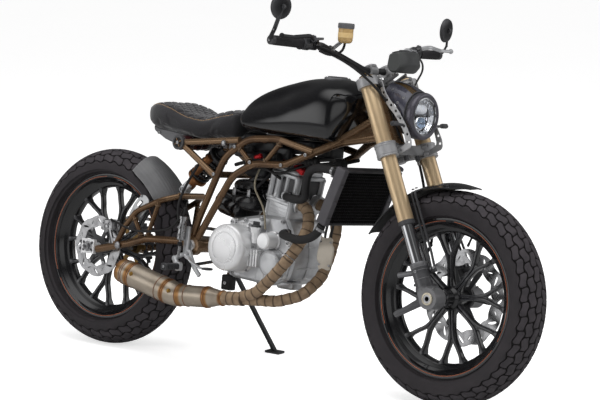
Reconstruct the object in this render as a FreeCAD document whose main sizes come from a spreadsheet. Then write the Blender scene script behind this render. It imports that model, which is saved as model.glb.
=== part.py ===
import FreeCAD, Part
import math
import os
import Sketcher
from FreeCAD import Placement, Rotation, Vector

# A street motorcycle with one cylinder, parked on its side stand.
# Upright frame: X forward, Y to the rider's left, Z up, origin on the ground below the rear axle.
# Steering frame: s runs up the steering axis, x forward and square to it, y to the left.
# Lengths are in millimetres and angles in degrees.

SIZES = {
    # stance
    "wheelbase": 1480,
    "lean_angle": 7.76,
    "rake_angle": 25.5,
    "steer_limit": 30,
    "steer_clearance": 6,
    "axle_lead": 46,
    "seat_gap": 0.3,
    # tyres
    "tyre_radius": 345,
    "tyre_height": 104,
    "front_tyre_half": 70,
    "front_crown_drop": 42,
    "rear_tyre_half": 80,
    "rear_crown_drop": 74,
    # rims
    "flange_height": 15,
    "flange_width": 6,
    "barrel_drop": 33,
    "barrel_web": 14,
    "front_rim_half": 49,
    "rear_rim_half": 51.5,
    "spoke_count": 8,
    "spoke_depth": 24,
    "spoke_split": 132,
    "spoke_half": 8.5,
    "branch_width": 14,
    "hub_radius": 31,
    "front_hub_right": 60,
    "hub_bore_gap": 0.5,
    # brakes and final drive
    "front_disc_radius": 158,
    "front_disc_offset": 69,
    "caliper_s": 66,
    "caliper_x": -88,
    "caliper_length": 66,
    "caliper_width": 46,
    "caliper_height": 84,
    "rear_disc_radius": 108,
    "rear_disc_offset": 86,
    "disc_thickness": 5,
    "disc_windows": 6,
    "disc_scallops": 12,
    "scallop_radius": 11,
    "carrier_ring": 6,
    "sprocket_offset": 94,
    "sprocket_radius": 103,
    "sprocket_teeth": 38,
    "sprocket_thickness": 5,
    "sprocket_gullet": 5,
    "sprocket_hole": 20,
    "chain_height": 15,
    "chain_side_gap": 1.6,
    "chain_plate": 2.4,
    "drive_x": 540,
    "drive_z": 408,
    "drive_radius": 36,
    # axles
    "front_axle_radius": 12.5,
    "front_axle_half": 137,
    "front_axle_bore": 8,
    "axle_ring_radius": 20,
    "rear_axle_radius": 12,
    "rear_axle_half": 140,
    "adjuster_length": 58,
    "adjuster_width": 14,
    "adjuster_height": 50,
    "pivot_x": 482,
    "pivot_z": 402,
    "pivot_radius": 11,
    "pivot_half": 148,
    "pivot_head_radius": 19,
    "pivot_head_height": 4,
    # fork and yokes
    "yoke_offset": 30,
    "fork_half": 107,
    "outer_radius": 26,
    "outer_bottom": 256,
    "outer_top": 757,
    "inner_radius": 21.5,
    "foot_radius": 27,
    "foot_top": 122,
    "foot_eye": 34,
    "lower_yoke_s": 505,
    "lower_yoke_height": 46,
    "top_yoke_s": 737,
    "top_yoke_height": 30,
    "yoke_wall": 9,
    "stem_radius": 14,
    "stem_bottom": 474,
    "head_radius": 28,
    "head_bore_gap": 1,
    "head_clearance": 5,
    # frame
    "frame_tube": 12,
    "frame_half": 130,
    "brace_tube": 9,
    "lug_radius": 34,
    "lug_thickness": 26,
    "rail_height": 778,
    "tail_x": 388,
    "tail_z": 744,
    "tail_radius": 24,
    "tail_half": 144,
    "tail_clamp": 17,
    "frame_bend": 120,
    # swingarm
    "arm_tube": 13,
    "arm_upper_tube": 10,
    "arm_half": 120,
    "arm_bend": 90,
    "arm_lug_radius": 25,
    "bobbin_radius": 12,
    "bobbin_bore": 3.4,
    "bobbin_length": 16,
    # shock
    "shock_low_x": 312,
    "shock_low_z": 578,
    "shock_top_x": 494,
    "shock_top_z": 744,
    "damper_radius": 17,
    "spring_radius": 31,
    "spring_wire": 5.5,
    "spring_turns": 6,
    # engine
    "case_half": 80,
    "case_round": 22,
    "clutch_radius": 80,
    "clutch_face": 168,
    "generator_radius": 78,
    "generator_face": 150,
    "cylinder_length": 118,
    "cylinder_width": 134,
    "cylinder_lean": 9.5,
    "port_radius": 25,
    "cylinder_round": 14,
    # exhaust
    "header_radius": 20,
    "collector_radius": 24,
    "can_radius": 42,
    "can_front_radius": 36,
    # cooling
    "radiator_half": 131,
    "radiator_tank": 25,
    "radiator_depth": 38,
    "radiator_low_x": 1040,
    "radiator_low_z": 535,
    "radiator_high_x": 1109,
    "radiator_high_z": 722,
    "radiator_frame": 10,
    "hose_radius": 14,
    # tank and seat
    "tank_tunnel_half": 106,
    "cap_x": 940,
    "cap_radius": 34,
    "cap_height": 14,
    # bars
    "bar_radius": 11,
    "bar_s": 790,
    "bar_x": 11,
    "riser_half": 42,
    "clamp_width": 34,
    "riser_radius": 15,
    "grip_radius": 16,
    "grip_length": 118,
    "perch_radius": 18,
    "perch_length": 62,
    "perch_gap": 8,
    "bar_bend": 40,
    "lever_radius": 6,
    "lever_ball": 9,
    "reservoir_radius": 25,
    "reservoir_height": 62,
    "mirror_radius": 41,
    "mirror_depth": 14,
    "mirror_stalk": 6,
    "mirror_clamp": 15,
    # lamps and dash
    "lamp_radius": 75,
    "lamp_x": 136.6,
    "lamp_s": 585,
    "lamp_depth": 96,
    "dash_x": 117,
    "dash_s": 781,
    "dash_width": 112,
    "dash_depth": 62,
    "dash_height": 72,
    # guards
    "fender_gap": 20,
    "fender_half": 66,
    "fender_start": 81,
    "fender_end": 151,
    "hugger_gap": 17,
    "hugger_half": 84,
    "hugger_start": 34,
    "hugger_end": 66,
    "guard_thickness": 3.5,
    "fender_drop": 16,
    "fender_strut": 4,
    "hugger_drop": 60,
    # side stand
    "stand_pivot_x": 440,
    "stand_pivot_y": 150,
    "stand_pivot_z": 300,
    "stand_foot_x": 570,
    "stand_foot_y": 252,
    "stand_radius": 9,
    "stand_knuckle": 13,
    "stand_pin": 5,
    "stand_pin_gap": 0.3,
    "stand_foot_length": 62,
    "stand_foot_width": 34,
    "stand_foot_thickness": 8,
    # feet
    "peg_x": 478,
    "peg_z": 328,
    "peg_radius": 12,
    "peg_start": 170,
    "peg_end": 245,
}

doc = FreeCAD.newDocument("motorcycle")
sheet = doc.addObject("Spreadsheet::Sheet", "dims")
for row, (alias, number) in enumerate(SIZES.items(), 1):
    sheet.set(f"A{row}", alias.replace("_", " "))
    sheet.set(f"B{row}", str(number))
    sheet.setAlias(f"B{row}", alias)
doc.recompute()

parts = []


def size(name):
    """The value of one cell of the sheet."""
    return float(sheet.get(name))


gap = size("seat_gap")
wheelbase = size("wheelbase")
tyre_radius = size("tyre_radius")
rake = math.radians(size("rake_angle"))
steering = Placement(
    Vector(
        wheelbase - size("axle_lead") * math.cos(rake),
        0,
        tyre_radius - size("axle_lead") * math.sin(rake),
    ),
    Rotation(Vector(0, 1, 0), -size("rake_angle")),
)
rear_hub = Placement(Vector(0, 0, tyre_radius), Rotation())
front_hub = Placement(Vector(wheelbase, 0, tyre_radius), Rotation())
upright = Placement()
UP = Vector(0, 0, 1)
LEFT = Vector(0, 1, 0)
FORWARD = Vector(1, 0, 0)
SIDES = (-1, 1)


def keep(obj, name, place=upright):
    """Name a finished sub-part and stand it in the upright frame."""
    obj.Label = name
    obj.Placement = place
    parts.append(obj)
    return obj


def feature(name, shape, place=upright):
    """A sub-part whose shape is worked out here from the sheet."""
    obj = doc.addObject("Part::Feature", name)
    obj.Shape = shape
    return keep(obj, name, place.multiply(shape.Placement))


def shape_of(name):
    """The shape of a sub-part that is already made."""
    doc.recompute()
    return next(part for part in parts if part.Label == name).Shape


def joined(shapes):
    """One shape from several that touch or cross."""
    shapes = list(shapes)
    return shapes[0].multiFuse(shapes[1:])


def bar(radius, start, end):
    """Straight round bar between two points."""
    run = end - start
    return Part.makeCylinder(radius, run.Length, start, run)


def taper(radius_start, radius_end, start, end):
    """Round bar whose radius changes from one end to the other."""
    run = end - start
    return Part.makeCone(radius_start, radius_end, run.Length, start, run)


def outward(solid):
    """The same solid with its faces pointing out."""
    return solid if solid.Volume > 0 else solid.reversed()


def turned(profile):
    """Solid turned about the Z axis from steps of radius and height, given from the bottom up."""
    rim = [Vector(radius, 0, height) for radius, height in profile]
    spots = [Vector(0, 0, rim[0].z)] + rim + [Vector(0, 0, rim[-1].z)]
    wire = Part.makePolygon(spots + spots[:1])
    return outward(Part.Face(wire).revolve(Vector(), UP, 360))


def pipe(points, radius, bend):
    """Round bar along straight runs joined by tangent arcs of the given bend radius.

    An arc never takes more than 0.45 of the shorter run beside it.
    """
    edges = []
    last = points[0]
    for before, corner, after in zip(points, points[1:], points[2:]):
        arrive = (corner - before).normalize()
        leave = (after - corner).normalize()
        half_turn = arrive.getAngle(leave) / 2
        shorter = min((corner - before).Length, (after - corner).Length)
        reach = min(bend * math.tan(half_turn), 0.45 * shorter)
        arc_radius = reach / math.tan(half_turn)
        inward = (leave - arrive).normalize()
        depth = math.hypot(arc_radius, reach) - arc_radius
        start = corner - arrive * reach
        end = corner + leave * reach
        edges.append(Part.LineSegment(last, start).toShape())
        edges.append(Part.Arc(start, corner + inward * depth, end).toShape())
        last = end
    edges.append(Part.LineSegment(last, points[-1]).toShape())
    section = Part.Circle(points[0], points[1] - points[0], radius).toShape()
    return Part.Wire(edges).makePipeShell([Part.Wire([section])], True, False)


def at_side(side, spots):
    """Points written for the left side, moved to the given side."""
    return [Vector(x, side * y, z) for x, y, z in spots]


def block(length, width, height, centre, place=upright):
    """Box about a centre."""
    box = Part.makeBox(length, width, height, centre - Vector(length / 2, width / 2, height / 2))
    box.Placement = place
    return box


def plate(outline, thickness, middle):
    """Flat plate in the XZ plane, its thickness shared about y = middle."""
    wire = Part.makePolygon([Vector(x, middle - thickness / 2, z) for x, z in outline + outline[:1]])
    return Part.Face(wire).extrude(LEFT * thickness)


def cylinder(name, radius, length, start, direction):
    """Cylinder object whose radius and length are expressions of the sheet."""
    obj = doc.addObject("Part::Cylinder", name)
    obj.setExpression("Radius", radius)
    obj.setExpression("Height", length)
    obj.Placement = Placement(start, Rotation(UP, direction))
    return obj


def group(kind, name, objects, place=upright):
    """A fusion or a compound of several objects."""
    obj = doc.addObject(kind, name)
    if kind == "Part::MultiFuse":
        obj.Shapes = objects
    else:
        obj.Links = objects
    doc.recompute()
    return keep(obj, name, place)


def origin_of(body, role):
    """A plane or axis of a body's own origin."""
    return next(f for f in body.Origin.OriginFeatures if f.Role == role)


def sketch(body, role, corners, curves=None):
    """Closed outline through corners, each a pair of expressions.

    The edge that starts at an index named in curves is an arc through the pair given there.
    """
    curves = curves or {}
    obj = body.newObject("Sketcher::SketchObject", "Outline")
    obj.AttachmentSupport = [(origin_of(body, role), "")]
    obj.MapMode = "FlatFace"

    def spot(pair):
        return Vector(float(obj.evalExpression(pair[0])), float(obj.evalExpression(pair[1])), 0)

    def pin(index, position, pair):
        for axis, expression, value in zip("XY", pair, spot(pair)):
            number = obj.addConstraint(
                Sketcher.Constraint("Distance" + axis, -1, 1, index, position, value)
            )
            obj.setExpression(f"Constraints[{number}]", expression)

    spots = [spot(pair) for pair in corners]
    starts = []
    for index, here in enumerate(spots):
        after = spots[(index + 1) % len(spots)]
        if index in curves:
            via = spot(curves[index])
            clockwise = (via - here).cross(after - via).z < 0
            ends = (after, via, here) if clockwise else (here, via, after)
            obj.addGeometry(Part.Arc(*ends))
            starts.append(2 if clockwise else 1)
        else:
            obj.addGeometry(Part.LineSegment(here, after))
            starts.append(1)
    for index, pair in enumerate(corners):
        previous = (index - 1) % len(corners)
        obj.addConstraint(
            Sketcher.Constraint("Coincident", previous, 3 - starts[previous], index, starts[index])
        )
        pin(index, starts[index], pair)
    for index, pair in curves.items():
        number = obj.addGeometry(Part.Point(spot(pair)), True)
        pin(number, 1, pair)
        obj.addConstraint(Sketcher.Constraint("PointOnObject", number, 1, index))
    return obj


def circles(body, role, rings):
    """Sketch of circles, each a radius, a centre x and a centre y, all expressions."""
    obj = body.newObject("Sketcher::SketchObject", "Circles")
    obj.AttachmentSupport = [(origin_of(body, role), "")]
    obj.MapMode = "FlatFace"
    for index, (radius, across, along) in enumerate(rings):
        values = [float(obj.evalExpression(text)) for text in (radius, across, along)]
        obj.addGeometry(Part.Circle(Vector(values[1], values[2], 0), Vector(0, 0, 1), values[0]))
        bound = obj.addConstraint(Sketcher.Constraint("Radius", index, values[0]))
        obj.setExpression(f"Constraints[{bound}]", radius)
        for axis, text, value in (("X", across, values[1]), ("Y", along, values[2])):
            bound = obj.addConstraint(
                Sketcher.Constraint("Distance" + axis, -1, 1, index, 3, value)
            )
            obj.setExpression(f"Constraints[{bound}]", text)
    return obj


def revolve(body, profile):
    """Turn a profile about the body's Y axis."""
    obj = body.newObject("PartDesign::Revolution", "Revolution")
    obj.Profile = profile
    obj.ReferenceAxis = (profile, ["V_Axis"])
    obj.Angle = 360
    return obj


def pad(body, profile, length):
    """Pad a profile to both sides of its plane."""
    obj = body.newObject("PartDesign::Pad", "Pad")
    obj.Profile = profile
    obj.setExpression("Length", length)
    obj.SideType = "Symmetric"
    return obj


def pocket(body, profile):
    """Cut a profile right through to both sides of its plane."""
    obj = body.newObject("PartDesign::Pocket", "Pocket")
    obj.Profile = profile
    obj.SideType = "Symmetric"
    obj.Type = "ThroughAll"
    return obj


def around(body, original, profile, count):
    """Repeat a feature about the normal of its sketch."""
    obj = body.newObject("PartDesign::PolarPattern", "Pattern")
    obj.Originals = [original]
    obj.Axis = (profile, ["N_Axis"])
    obj.Angle = 360
    obj.setExpression("Occurrences", count)
    body.Tip = obj
    return obj


def new_body(name):
    """Empty body for one sub-part."""
    return doc.addObject("PartDesign::Body", name)


BEAD = "(dims.tyre_radius - dims.tyre_height)"
FLANGE = f"({BEAD} + dims.flange_height)"
BARREL = f"({BEAD} - dims.barrel_drop)"


def make_tyre(name, half, drop, rim_half, place):
    """Round-crowned tyre: a crown arc over each shoulder and a flank down to each bead."""
    body = new_body(name)
    shoulder = f"dims.tyre_radius - {drop}"
    bead = f"{rim_half} - dims.flange_width - dims.seat_gap"
    seat = f"{BEAD} + dims.seat_gap"
    flank = f"{FLANGE} + 4"
    corners = [
        (seat, f"-({bead})"),
        (FLANGE, f"-({bead})"),
        (flank, f"-({half} * 0.8)"),
        (shoulder, f"-{half}"),
        (shoulder, half),
        (flank, f"{half} * 0.8"),
        (FLANGE, bead),
        (seat, bead),
    ]
    revolve(body, sketch(body, "XY_Plane", corners, {3: ("dims.tyre_radius", "0")}))
    return keep(body, name, place)


def make_rim(name, rim_half, hub_right, hub_left, axle_radius, place):
    """Cast wheel: hub, forked spokes, and a dished barrel with two flanges."""
    body = new_body(name)
    bore = f"{axle_radius} + dims.hub_bore_gap"
    hub = [
        (bore, f"-({hub_right})"),
        ("dims.hub_radius", f"-({hub_right})"),
        ("dims.hub_radius", hub_left),
        (bore, hub_left),
    ]
    revolve(body, sketch(body, "XY_Plane", hub))
    reach = f"{BARREL} + 5"
    spread = f"({reach}) * sin(90 / dims.spoke_count * 1 deg)"
    outer = f"{spread} + dims.branch_width / 2"
    inner = f"{spread} - dims.branch_width / 2"
    stem = "dims.spoke_half"
    spoke = [
        (f"-{stem} - 2", "dims.hub_radius - 4"),
        (f"-{stem}", "dims.spoke_split"),
        (f"-({outer})", reach),
        (f"-({inner})", reach),
        ("0", f"dims.spoke_split + 2 * {stem}"),
        (inner, reach),
        (outer, reach),
        (stem, "dims.spoke_split"),
        (f"{stem} + 2", "dims.hub_radius - 4"),
    ]
    shape = sketch(body, "XZ_Plane", spoke)
    around(body, pad(body, shape, "dims.spoke_depth"), shape, "dims.spoke_count")
    web = "dims.barrel_web"
    half = rim_half
    barrel = [
        (FLANGE, f"-{half}"),
        (FLANGE, f"-{half} + dims.flange_width"),
        (BEAD, f"-{half} + dims.flange_width"),
        (BEAD, f"{half} - dims.flange_width"),
        (FLANGE, f"{half} - dims.flange_width"),
        (FLANGE, half),
        (f"{FLANGE} - 8", half),
        (f"{FLANGE} - 24", f"{half} - 10"),
        (f"{BARREL} + 8", f"{web} + 8"),
        (BARREL, web),
        (BARREL, f"-{web}"),
        (f"{BARREL} + 8", f"-{web} - 8"),
        (f"{FLANGE} - 24", f"-{half} + 10"),
        (f"{FLANGE} - 8", f"-{half}"),
    ]
    revolve(body, sketch(body, "XY_Plane", barrel))
    return keep(body, name, place)


def make_disc(name, radius, bore, place):
    """Brake disc: a ring with a scalloped rim and windows between its carrier arms."""
    body = new_body(name)
    ring = circles(body, "XZ_Plane", [(radius, "0", "0"), (bore, "0", "0")])
    pad(body, ring, "dims.disc_thickness")
    low = f"({bore} + 16)"
    high = f"({radius} * 0.7)"
    arc = "(360 / dims.disc_windows - 16) / 2 * 1 deg"
    window = [
        (f"-{low} * sin({arc})", f"{low} * cos({arc})"),
        (f"-{high} * sin({arc})", f"{high} * cos({arc})"),
        (f"{high} * sin({arc})", f"{high} * cos({arc})"),
        (f"{low} * sin({arc})", f"{low} * cos({arc})"),
    ]
    opening = sketch(body, "XZ_Plane", window, {1: ("0", high)})
    around(body, pocket(body, opening), opening, "dims.disc_windows")
    notch = circles(body, "XZ_Plane", [("dims.scallop_radius", "0", f"{radius} + 5")])
    around(body, pocket(body, notch), notch, "dims.disc_scallops")
    return keep(body, name, place)


def make_wheels():
    """Both wheels with their tyres, brake discs and the rear sprocket."""
    make_tyre("front_tyre", "dims.front_tyre_half", "dims.front_crown_drop", "dims.front_rim_half",
              front_hub)
    make_tyre("rear_tyre", "dims.rear_tyre_half", "dims.rear_crown_drop", "dims.rear_rim_half",
              rear_hub)
    seat = "dims.disc_thickness / 2 - dims.seat_gap"
    make_rim("front_rim", "dims.front_rim_half", "dims.front_hub_right", f"dims.front_disc_offset - {seat}",
             "dims.front_axle_radius", front_hub)
    make_rim("rear_rim", "dims.rear_rim_half", f"dims.rear_disc_offset - {seat}",
             "dims.sprocket_offset - dims.sprocket_thickness / 2 - dims.seat_gap",
             "dims.rear_axle_radius", rear_hub)
    front_bore = "dims.front_axle_radius + dims.hub_bore_gap + dims.carrier_ring"
    front_disc = Placement(Vector(0, size("front_disc_offset"), 0), Rotation())
    make_disc("front_disc", "dims.front_disc_radius", front_bore, front_hub.multiply(front_disc))
    rear_bore = "dims.rear_axle_radius + dims.hub_bore_gap + dims.carrier_ring"
    rear_disc = Placement(Vector(0, -size("rear_disc_offset"), 0), Rotation())
    make_disc("rear_disc", "dims.rear_disc_radius", rear_bore, rear_hub.multiply(rear_disc))

    body = new_body("rear_sprocket")
    rings = [("dims.sprocket_radius", "0", "0"), (rear_bore, "0", "0")]
    pad(body, circles(body, "XZ_Plane", rings), "dims.sprocket_thickness")
    gullet = circles(body, "XZ_Plane", [("dims.sprocket_gullet", "0", "dims.sprocket_radius")])
    around(body, pocket(body, gullet), gullet, "dims.sprocket_teeth")
    hole = circles(body, "XZ_Plane", [("dims.sprocket_hole", "0", "dims.sprocket_radius * 0.62")])
    around(body, pocket(body, hole), hole, "dims.disc_windows")
    offset = Placement(Vector(0, size("sprocket_offset"), 0), Rotation())
    keep(body, "rear_sprocket", rear_hub.multiply(offset))


def adjuster(side, grow=0):
    """Chain adjuster block on one side of the rear axle, about the hub's height."""
    spot = Vector(-2, side * (size("arm_half") + size("arm_tube") - 3), tyre_radius)
    return block(size("adjuster_length") + grow, size("adjuster_width") + grow,
                 size("adjuster_height") + grow, spot)


def make_axles():
    """Hollow front axle between the fork feet, the rear axle with its blocks, and the pivot bolt."""
    half = size("front_axle_half")
    radius = size("front_axle_radius")
    axle = bar(radius, Vector(0, -half, 0), Vector(0, half, 0))
    ring_start = size("fork_half") + size("foot_radius") + gap
    rings = [
        bar(size("axle_ring_radius"), Vector(0, side * ring_start, 0), Vector(0, side * half, 0))
        for side in SIDES
    ]
    bore = bar(size("front_axle_bore"), Vector(0, -half, 0), Vector(0, half, 0))
    feature("front_axle", joined([axle] + rings).cut(bore), front_hub)

    half = size("rear_axle_half")
    radius = size("rear_axle_radius")
    axle = bar(radius, Vector(0, -half, tyre_radius), Vector(0, half, tyre_radius))
    rear = joined([axle] + [adjuster(side) for side in SIDES])
    pivot_radius = size("pivot_radius")
    pivot_half = size("pivot_half")
    centre = Vector(size("pivot_x"), 0, size("pivot_z"))
    bolt = bar(pivot_radius, centre - LEFT * pivot_half, centre + LEFT * pivot_half)
    head_start = size("frame_half") + size("lug_thickness") / 2 + gap
    head_end = pivot_half + size("pivot_head_height")
    heads = [
        bar(size("pivot_head_radius"), centre + LEFT * side * head_start,
            centre + LEFT * side * head_end)
        for side in SIDES
    ]
    feature("rear_axles", Part.Compound([rear, joined([bolt] + heads)]))


def dash_place():
    """The dash stands level, ahead of the bars."""
    level = Rotation(Vector(0, 1, 0), size("rake_angle"))
    return steering.multiply(Placement(Vector(size("dash_x"), 0, size("dash_s")), level))


def dash_foot(y, radius):
    """Where a post of the given radius meets the underside of the dash, in the steering frame."""
    under = Vector(-size("dash_depth") / 2 + 24, y, -size("dash_height") / 2 - radius - gap)
    return steering.inverse().multiply(dash_place()).multVec(under)


def make_yokes():
    """Two yokes that clamp the fork, the steering stem and the bar risers."""
    offset = size("yoke_offset")
    fork_half = size("fork_half")
    clamp = size("outer_radius") + size("yoke_wall")
    stem_boss = 34

    def yoke(level, height):
        """Triangular plate with a split clamp round each fork tube."""
        bottom = level - height / 2
        rings = [
            Part.makeCylinder(clamp, height, Vector(offset, side * fork_half, bottom))
            for side in SIDES
        ]
        boss = Part.makeCylinder(stem_boss, height, Vector(0, 0, bottom))
        slab = height * 0.75
        web = [
            (-stem_boss * 0.8, -20), (offset - 12, -fork_half), (offset + 20, -fork_half),
            (offset + 12, -45), (offset + 12, 45), (offset + 20, fork_half),
            (offset - 12, fork_half), (-stem_boss * 0.8, 20),
        ]
        middle = level - slab / 2
        wire = Part.makePolygon([Vector(x, y, middle) for x, y in web + web[:1]])
        body = joined(rings + [boss, Part.Face(wire).extrude(UP * slab)])
        holes = [
            Part.makeCylinder(size("outer_radius") + gap, height * 2,
                              Vector(offset, side * fork_half, bottom - height / 2))
            for side in SIDES
        ]
        return body.cut(Part.Compound(holes))

    lower_level = size("lower_yoke_s")
    lower = yoke(lower_level, size("lower_yoke_height"))
    top_level = size("top_yoke_s")
    top_height = size("top_yoke_height")
    stem_bottom = size("stem_bottom")
    stem_top = top_level + top_height / 2 + 8
    stem = Part.makeCylinder(size("stem_radius"), stem_top - stem_bottom, Vector(0, 0, stem_bottom))
    feature("lower_yoke", joined([lower, stem]), steering)

    top = yoke(top_level, top_height)
    bar_x = size("bar_x")
    bar_s = size("bar_s")
    riser_radius = size("riser_radius")
    clamp_radius = size("bar_radius") + 8
    risers = []
    for side in SIDES:
        foot = Vector(bar_x, side * size("riser_half"), top_level)
        risers.append(Part.makeCylinder(riser_radius, bar_s - top_level, foot))
        clamp_end = Vector(bar_x, side * size("riser_half") - size("clamp_width") / 2, bar_s)
        risers.append(Part.makeCylinder(clamp_radius, size("clamp_width"), clamp_end, LEFT))
    hole = Part.makeCylinder(size("stem_radius") + gap, top_height * 3,
                             Vector(0, 0, top_level - top_height * 1.5))
    way = Part.makeCylinder(size("bar_radius") + gap, 220, Vector(bar_x, -110, bar_s), LEFT)
    posts = []
    post_radius = 5
    post_half = 22
    for side in SIDES:
        post_end = dash_foot(side * post_half, post_radius)
        posts.append(bar(post_radius, Vector(36, side * post_half, top_level), post_end))
        posts.append(Part.makeSphere(post_radius, post_end))
    solid = joined([top] + risers + posts)
    feature("top_yoke", solid.cut(Part.Compound([hole, way])), steering)


def make_fork():
    """Gold outer tubes above, chrome inner tubes below, and the cast feet on the axle."""
    tubes = []
    for side, word in zip(SIDES, ("Right", "Left")):
        start = Vector(size("yoke_offset"), side * size("fork_half"), size("outer_bottom"))
        tubes.append(cylinder(word + "Outer", "dims.outer_radius",
                              "dims.outer_top - dims.outer_bottom", start, UP))
    group("Part::Compound", "fork_outers", tubes, steering)

    legs = []
    lead = size("axle_lead")
    offset = size("yoke_offset")
    foot_radius = size("foot_radius")
    foot_top = size("foot_top")
    for side in SIDES:
        y = side * size("fork_half")
        tube = bar(size("inner_radius"), Vector(offset, y, 40),
                   Vector(offset, y, size("outer_bottom") - gap))
        foot = bar(foot_radius, Vector(offset, y, 20), Vector(offset, y, foot_top))
        eye = bar(size("foot_eye"), Vector(lead, y - foot_radius, 0), Vector(lead, y + foot_radius, 0))
        web = block(44, 2 * foot_radius, 44, Vector(lead - 10, y, 24))
        lugs = [
            bar(9, Vector(offset - 18, y, 98), Vector(offset - 84, y, 112)),
            bar(10, Vector(offset + 4, y, 2), Vector(offset - 138, y, -2)),
        ]
        bore = bar(size("front_axle_radius") + gap, Vector(lead, y - 40, 0), Vector(lead, y + 40, 0))
        legs.append(joined([tube, foot, eye, web] + lugs).cut(bore))
    feature("fork_lowers", Part.Compound(legs), steering)


def make_bars():
    """Handlebar, grips, levers, reservoir and mirrors."""
    bar_x = size("bar_x")
    bar_s = size("bar_s")
    radius = size("bar_radius")
    half = [
        (bar_x, 78, bar_s), (-20, 150, 850), (-28, 215, 884), (-42, 432, 895),
    ]
    right = at_side(-1, half[::-1])
    left = at_side(1, half)
    bend = size("bar_bend")
    feature("handlebar", pipe(right + left, radius, bend), steering)

    reach = (left[3] - left[2]).normalize()
    controls = []
    for side in SIDES:
        end = Vector(left[3].x, side * left[3].y, left[3].z)
        along = Vector(reach.x, side * reach.y, reach.z)
        grip_start = end - along * size("grip_length")
        grip = bar(size("grip_radius"), grip_start, end + along * 6)
        perch_end = grip_start - along * size("perch_gap")
        perch_start = perch_end - along * size("perch_length")
        perch = bar(size("perch_radius"), perch_start, perch_end)
        pivot_foot = perch_end - along * 24
        pivot = pivot_foot + Vector(30, 0, 4)
        arm = bar(10, pivot_foot, pivot)
        tip = pivot + along * 172 + Vector(20, 0, -10)
        lever = pipe([pivot, pivot + along * 40 + Vector(22, 0, 0),
                      pivot + along * 110 + Vector(16, 0, -8), tip], size("lever_radius"), bend)
        ball = Part.makeSphere(size("lever_ball"), tip)
        hole = bar(radius + gap, perch_start - along * 40, end)
        controls.append(joined([perch, arm, lever, ball]).cut(hole))
        controls.append(grip.cut(bar(radius + gap, perch_start, end + along * gap)))
    feature("hand_controls", Part.Compound(controls), steering)

    foot = Vector(36, -176, 872)
    vertical = steering.Rotation.inverted().multVec(UP)
    cup = bar(size("reservoir_radius"), foot, foot + vertical * size("reservoir_height"))
    clamp_middle = (right[1] + right[2]) / 2
    clamp_run = (right[2] - right[1]).normalize()
    ring = bar(radius + 5, clamp_middle - clamp_run * 8, clamp_middle + clamp_run * 8)
    arm = bar(6, clamp_middle, foot + vertical * 12)
    hole = bar(radius + gap, clamp_middle - clamp_run * 20, clamp_middle + clamp_run * 20)
    feature("brake_reservoir", joined([cup, ring, arm]).cut(hole), steering)

    mirrors = []
    for side, centre in ((-1, Vector(26, -442, 981)), (1, Vector(26, 436, 958))):
        end = Vector(left[3].x, side * left[3].y, left[3].z)
        along = Vector(reach.x, side * reach.y, reach.z)
        root = end + along * 14
        facing = steering.Rotation.inverted().multVec(Vector(-0.98, -side * 0.17, 0.05))
        plate_front = centre - facing * size("mirror_depth") / 2
        disc = bar(size("mirror_radius"), plate_front, plate_front + facing * size("mirror_depth"))
        elbow = Vector(root.x + 34, side * 462, root.z + 22)
        stalk = pipe([root, root + Vector(10, side * 16, 4), elbow, centre - facing * 3],
                     size("mirror_stalk"), 20)
        clamp = bar(size("mirror_clamp"), end + along * (6 + gap), root + along * 9)
        mirrors.append(joined([disc, stalk, clamp]))
    feature("mirrors", Part.Compound(mirrors), steering)


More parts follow.
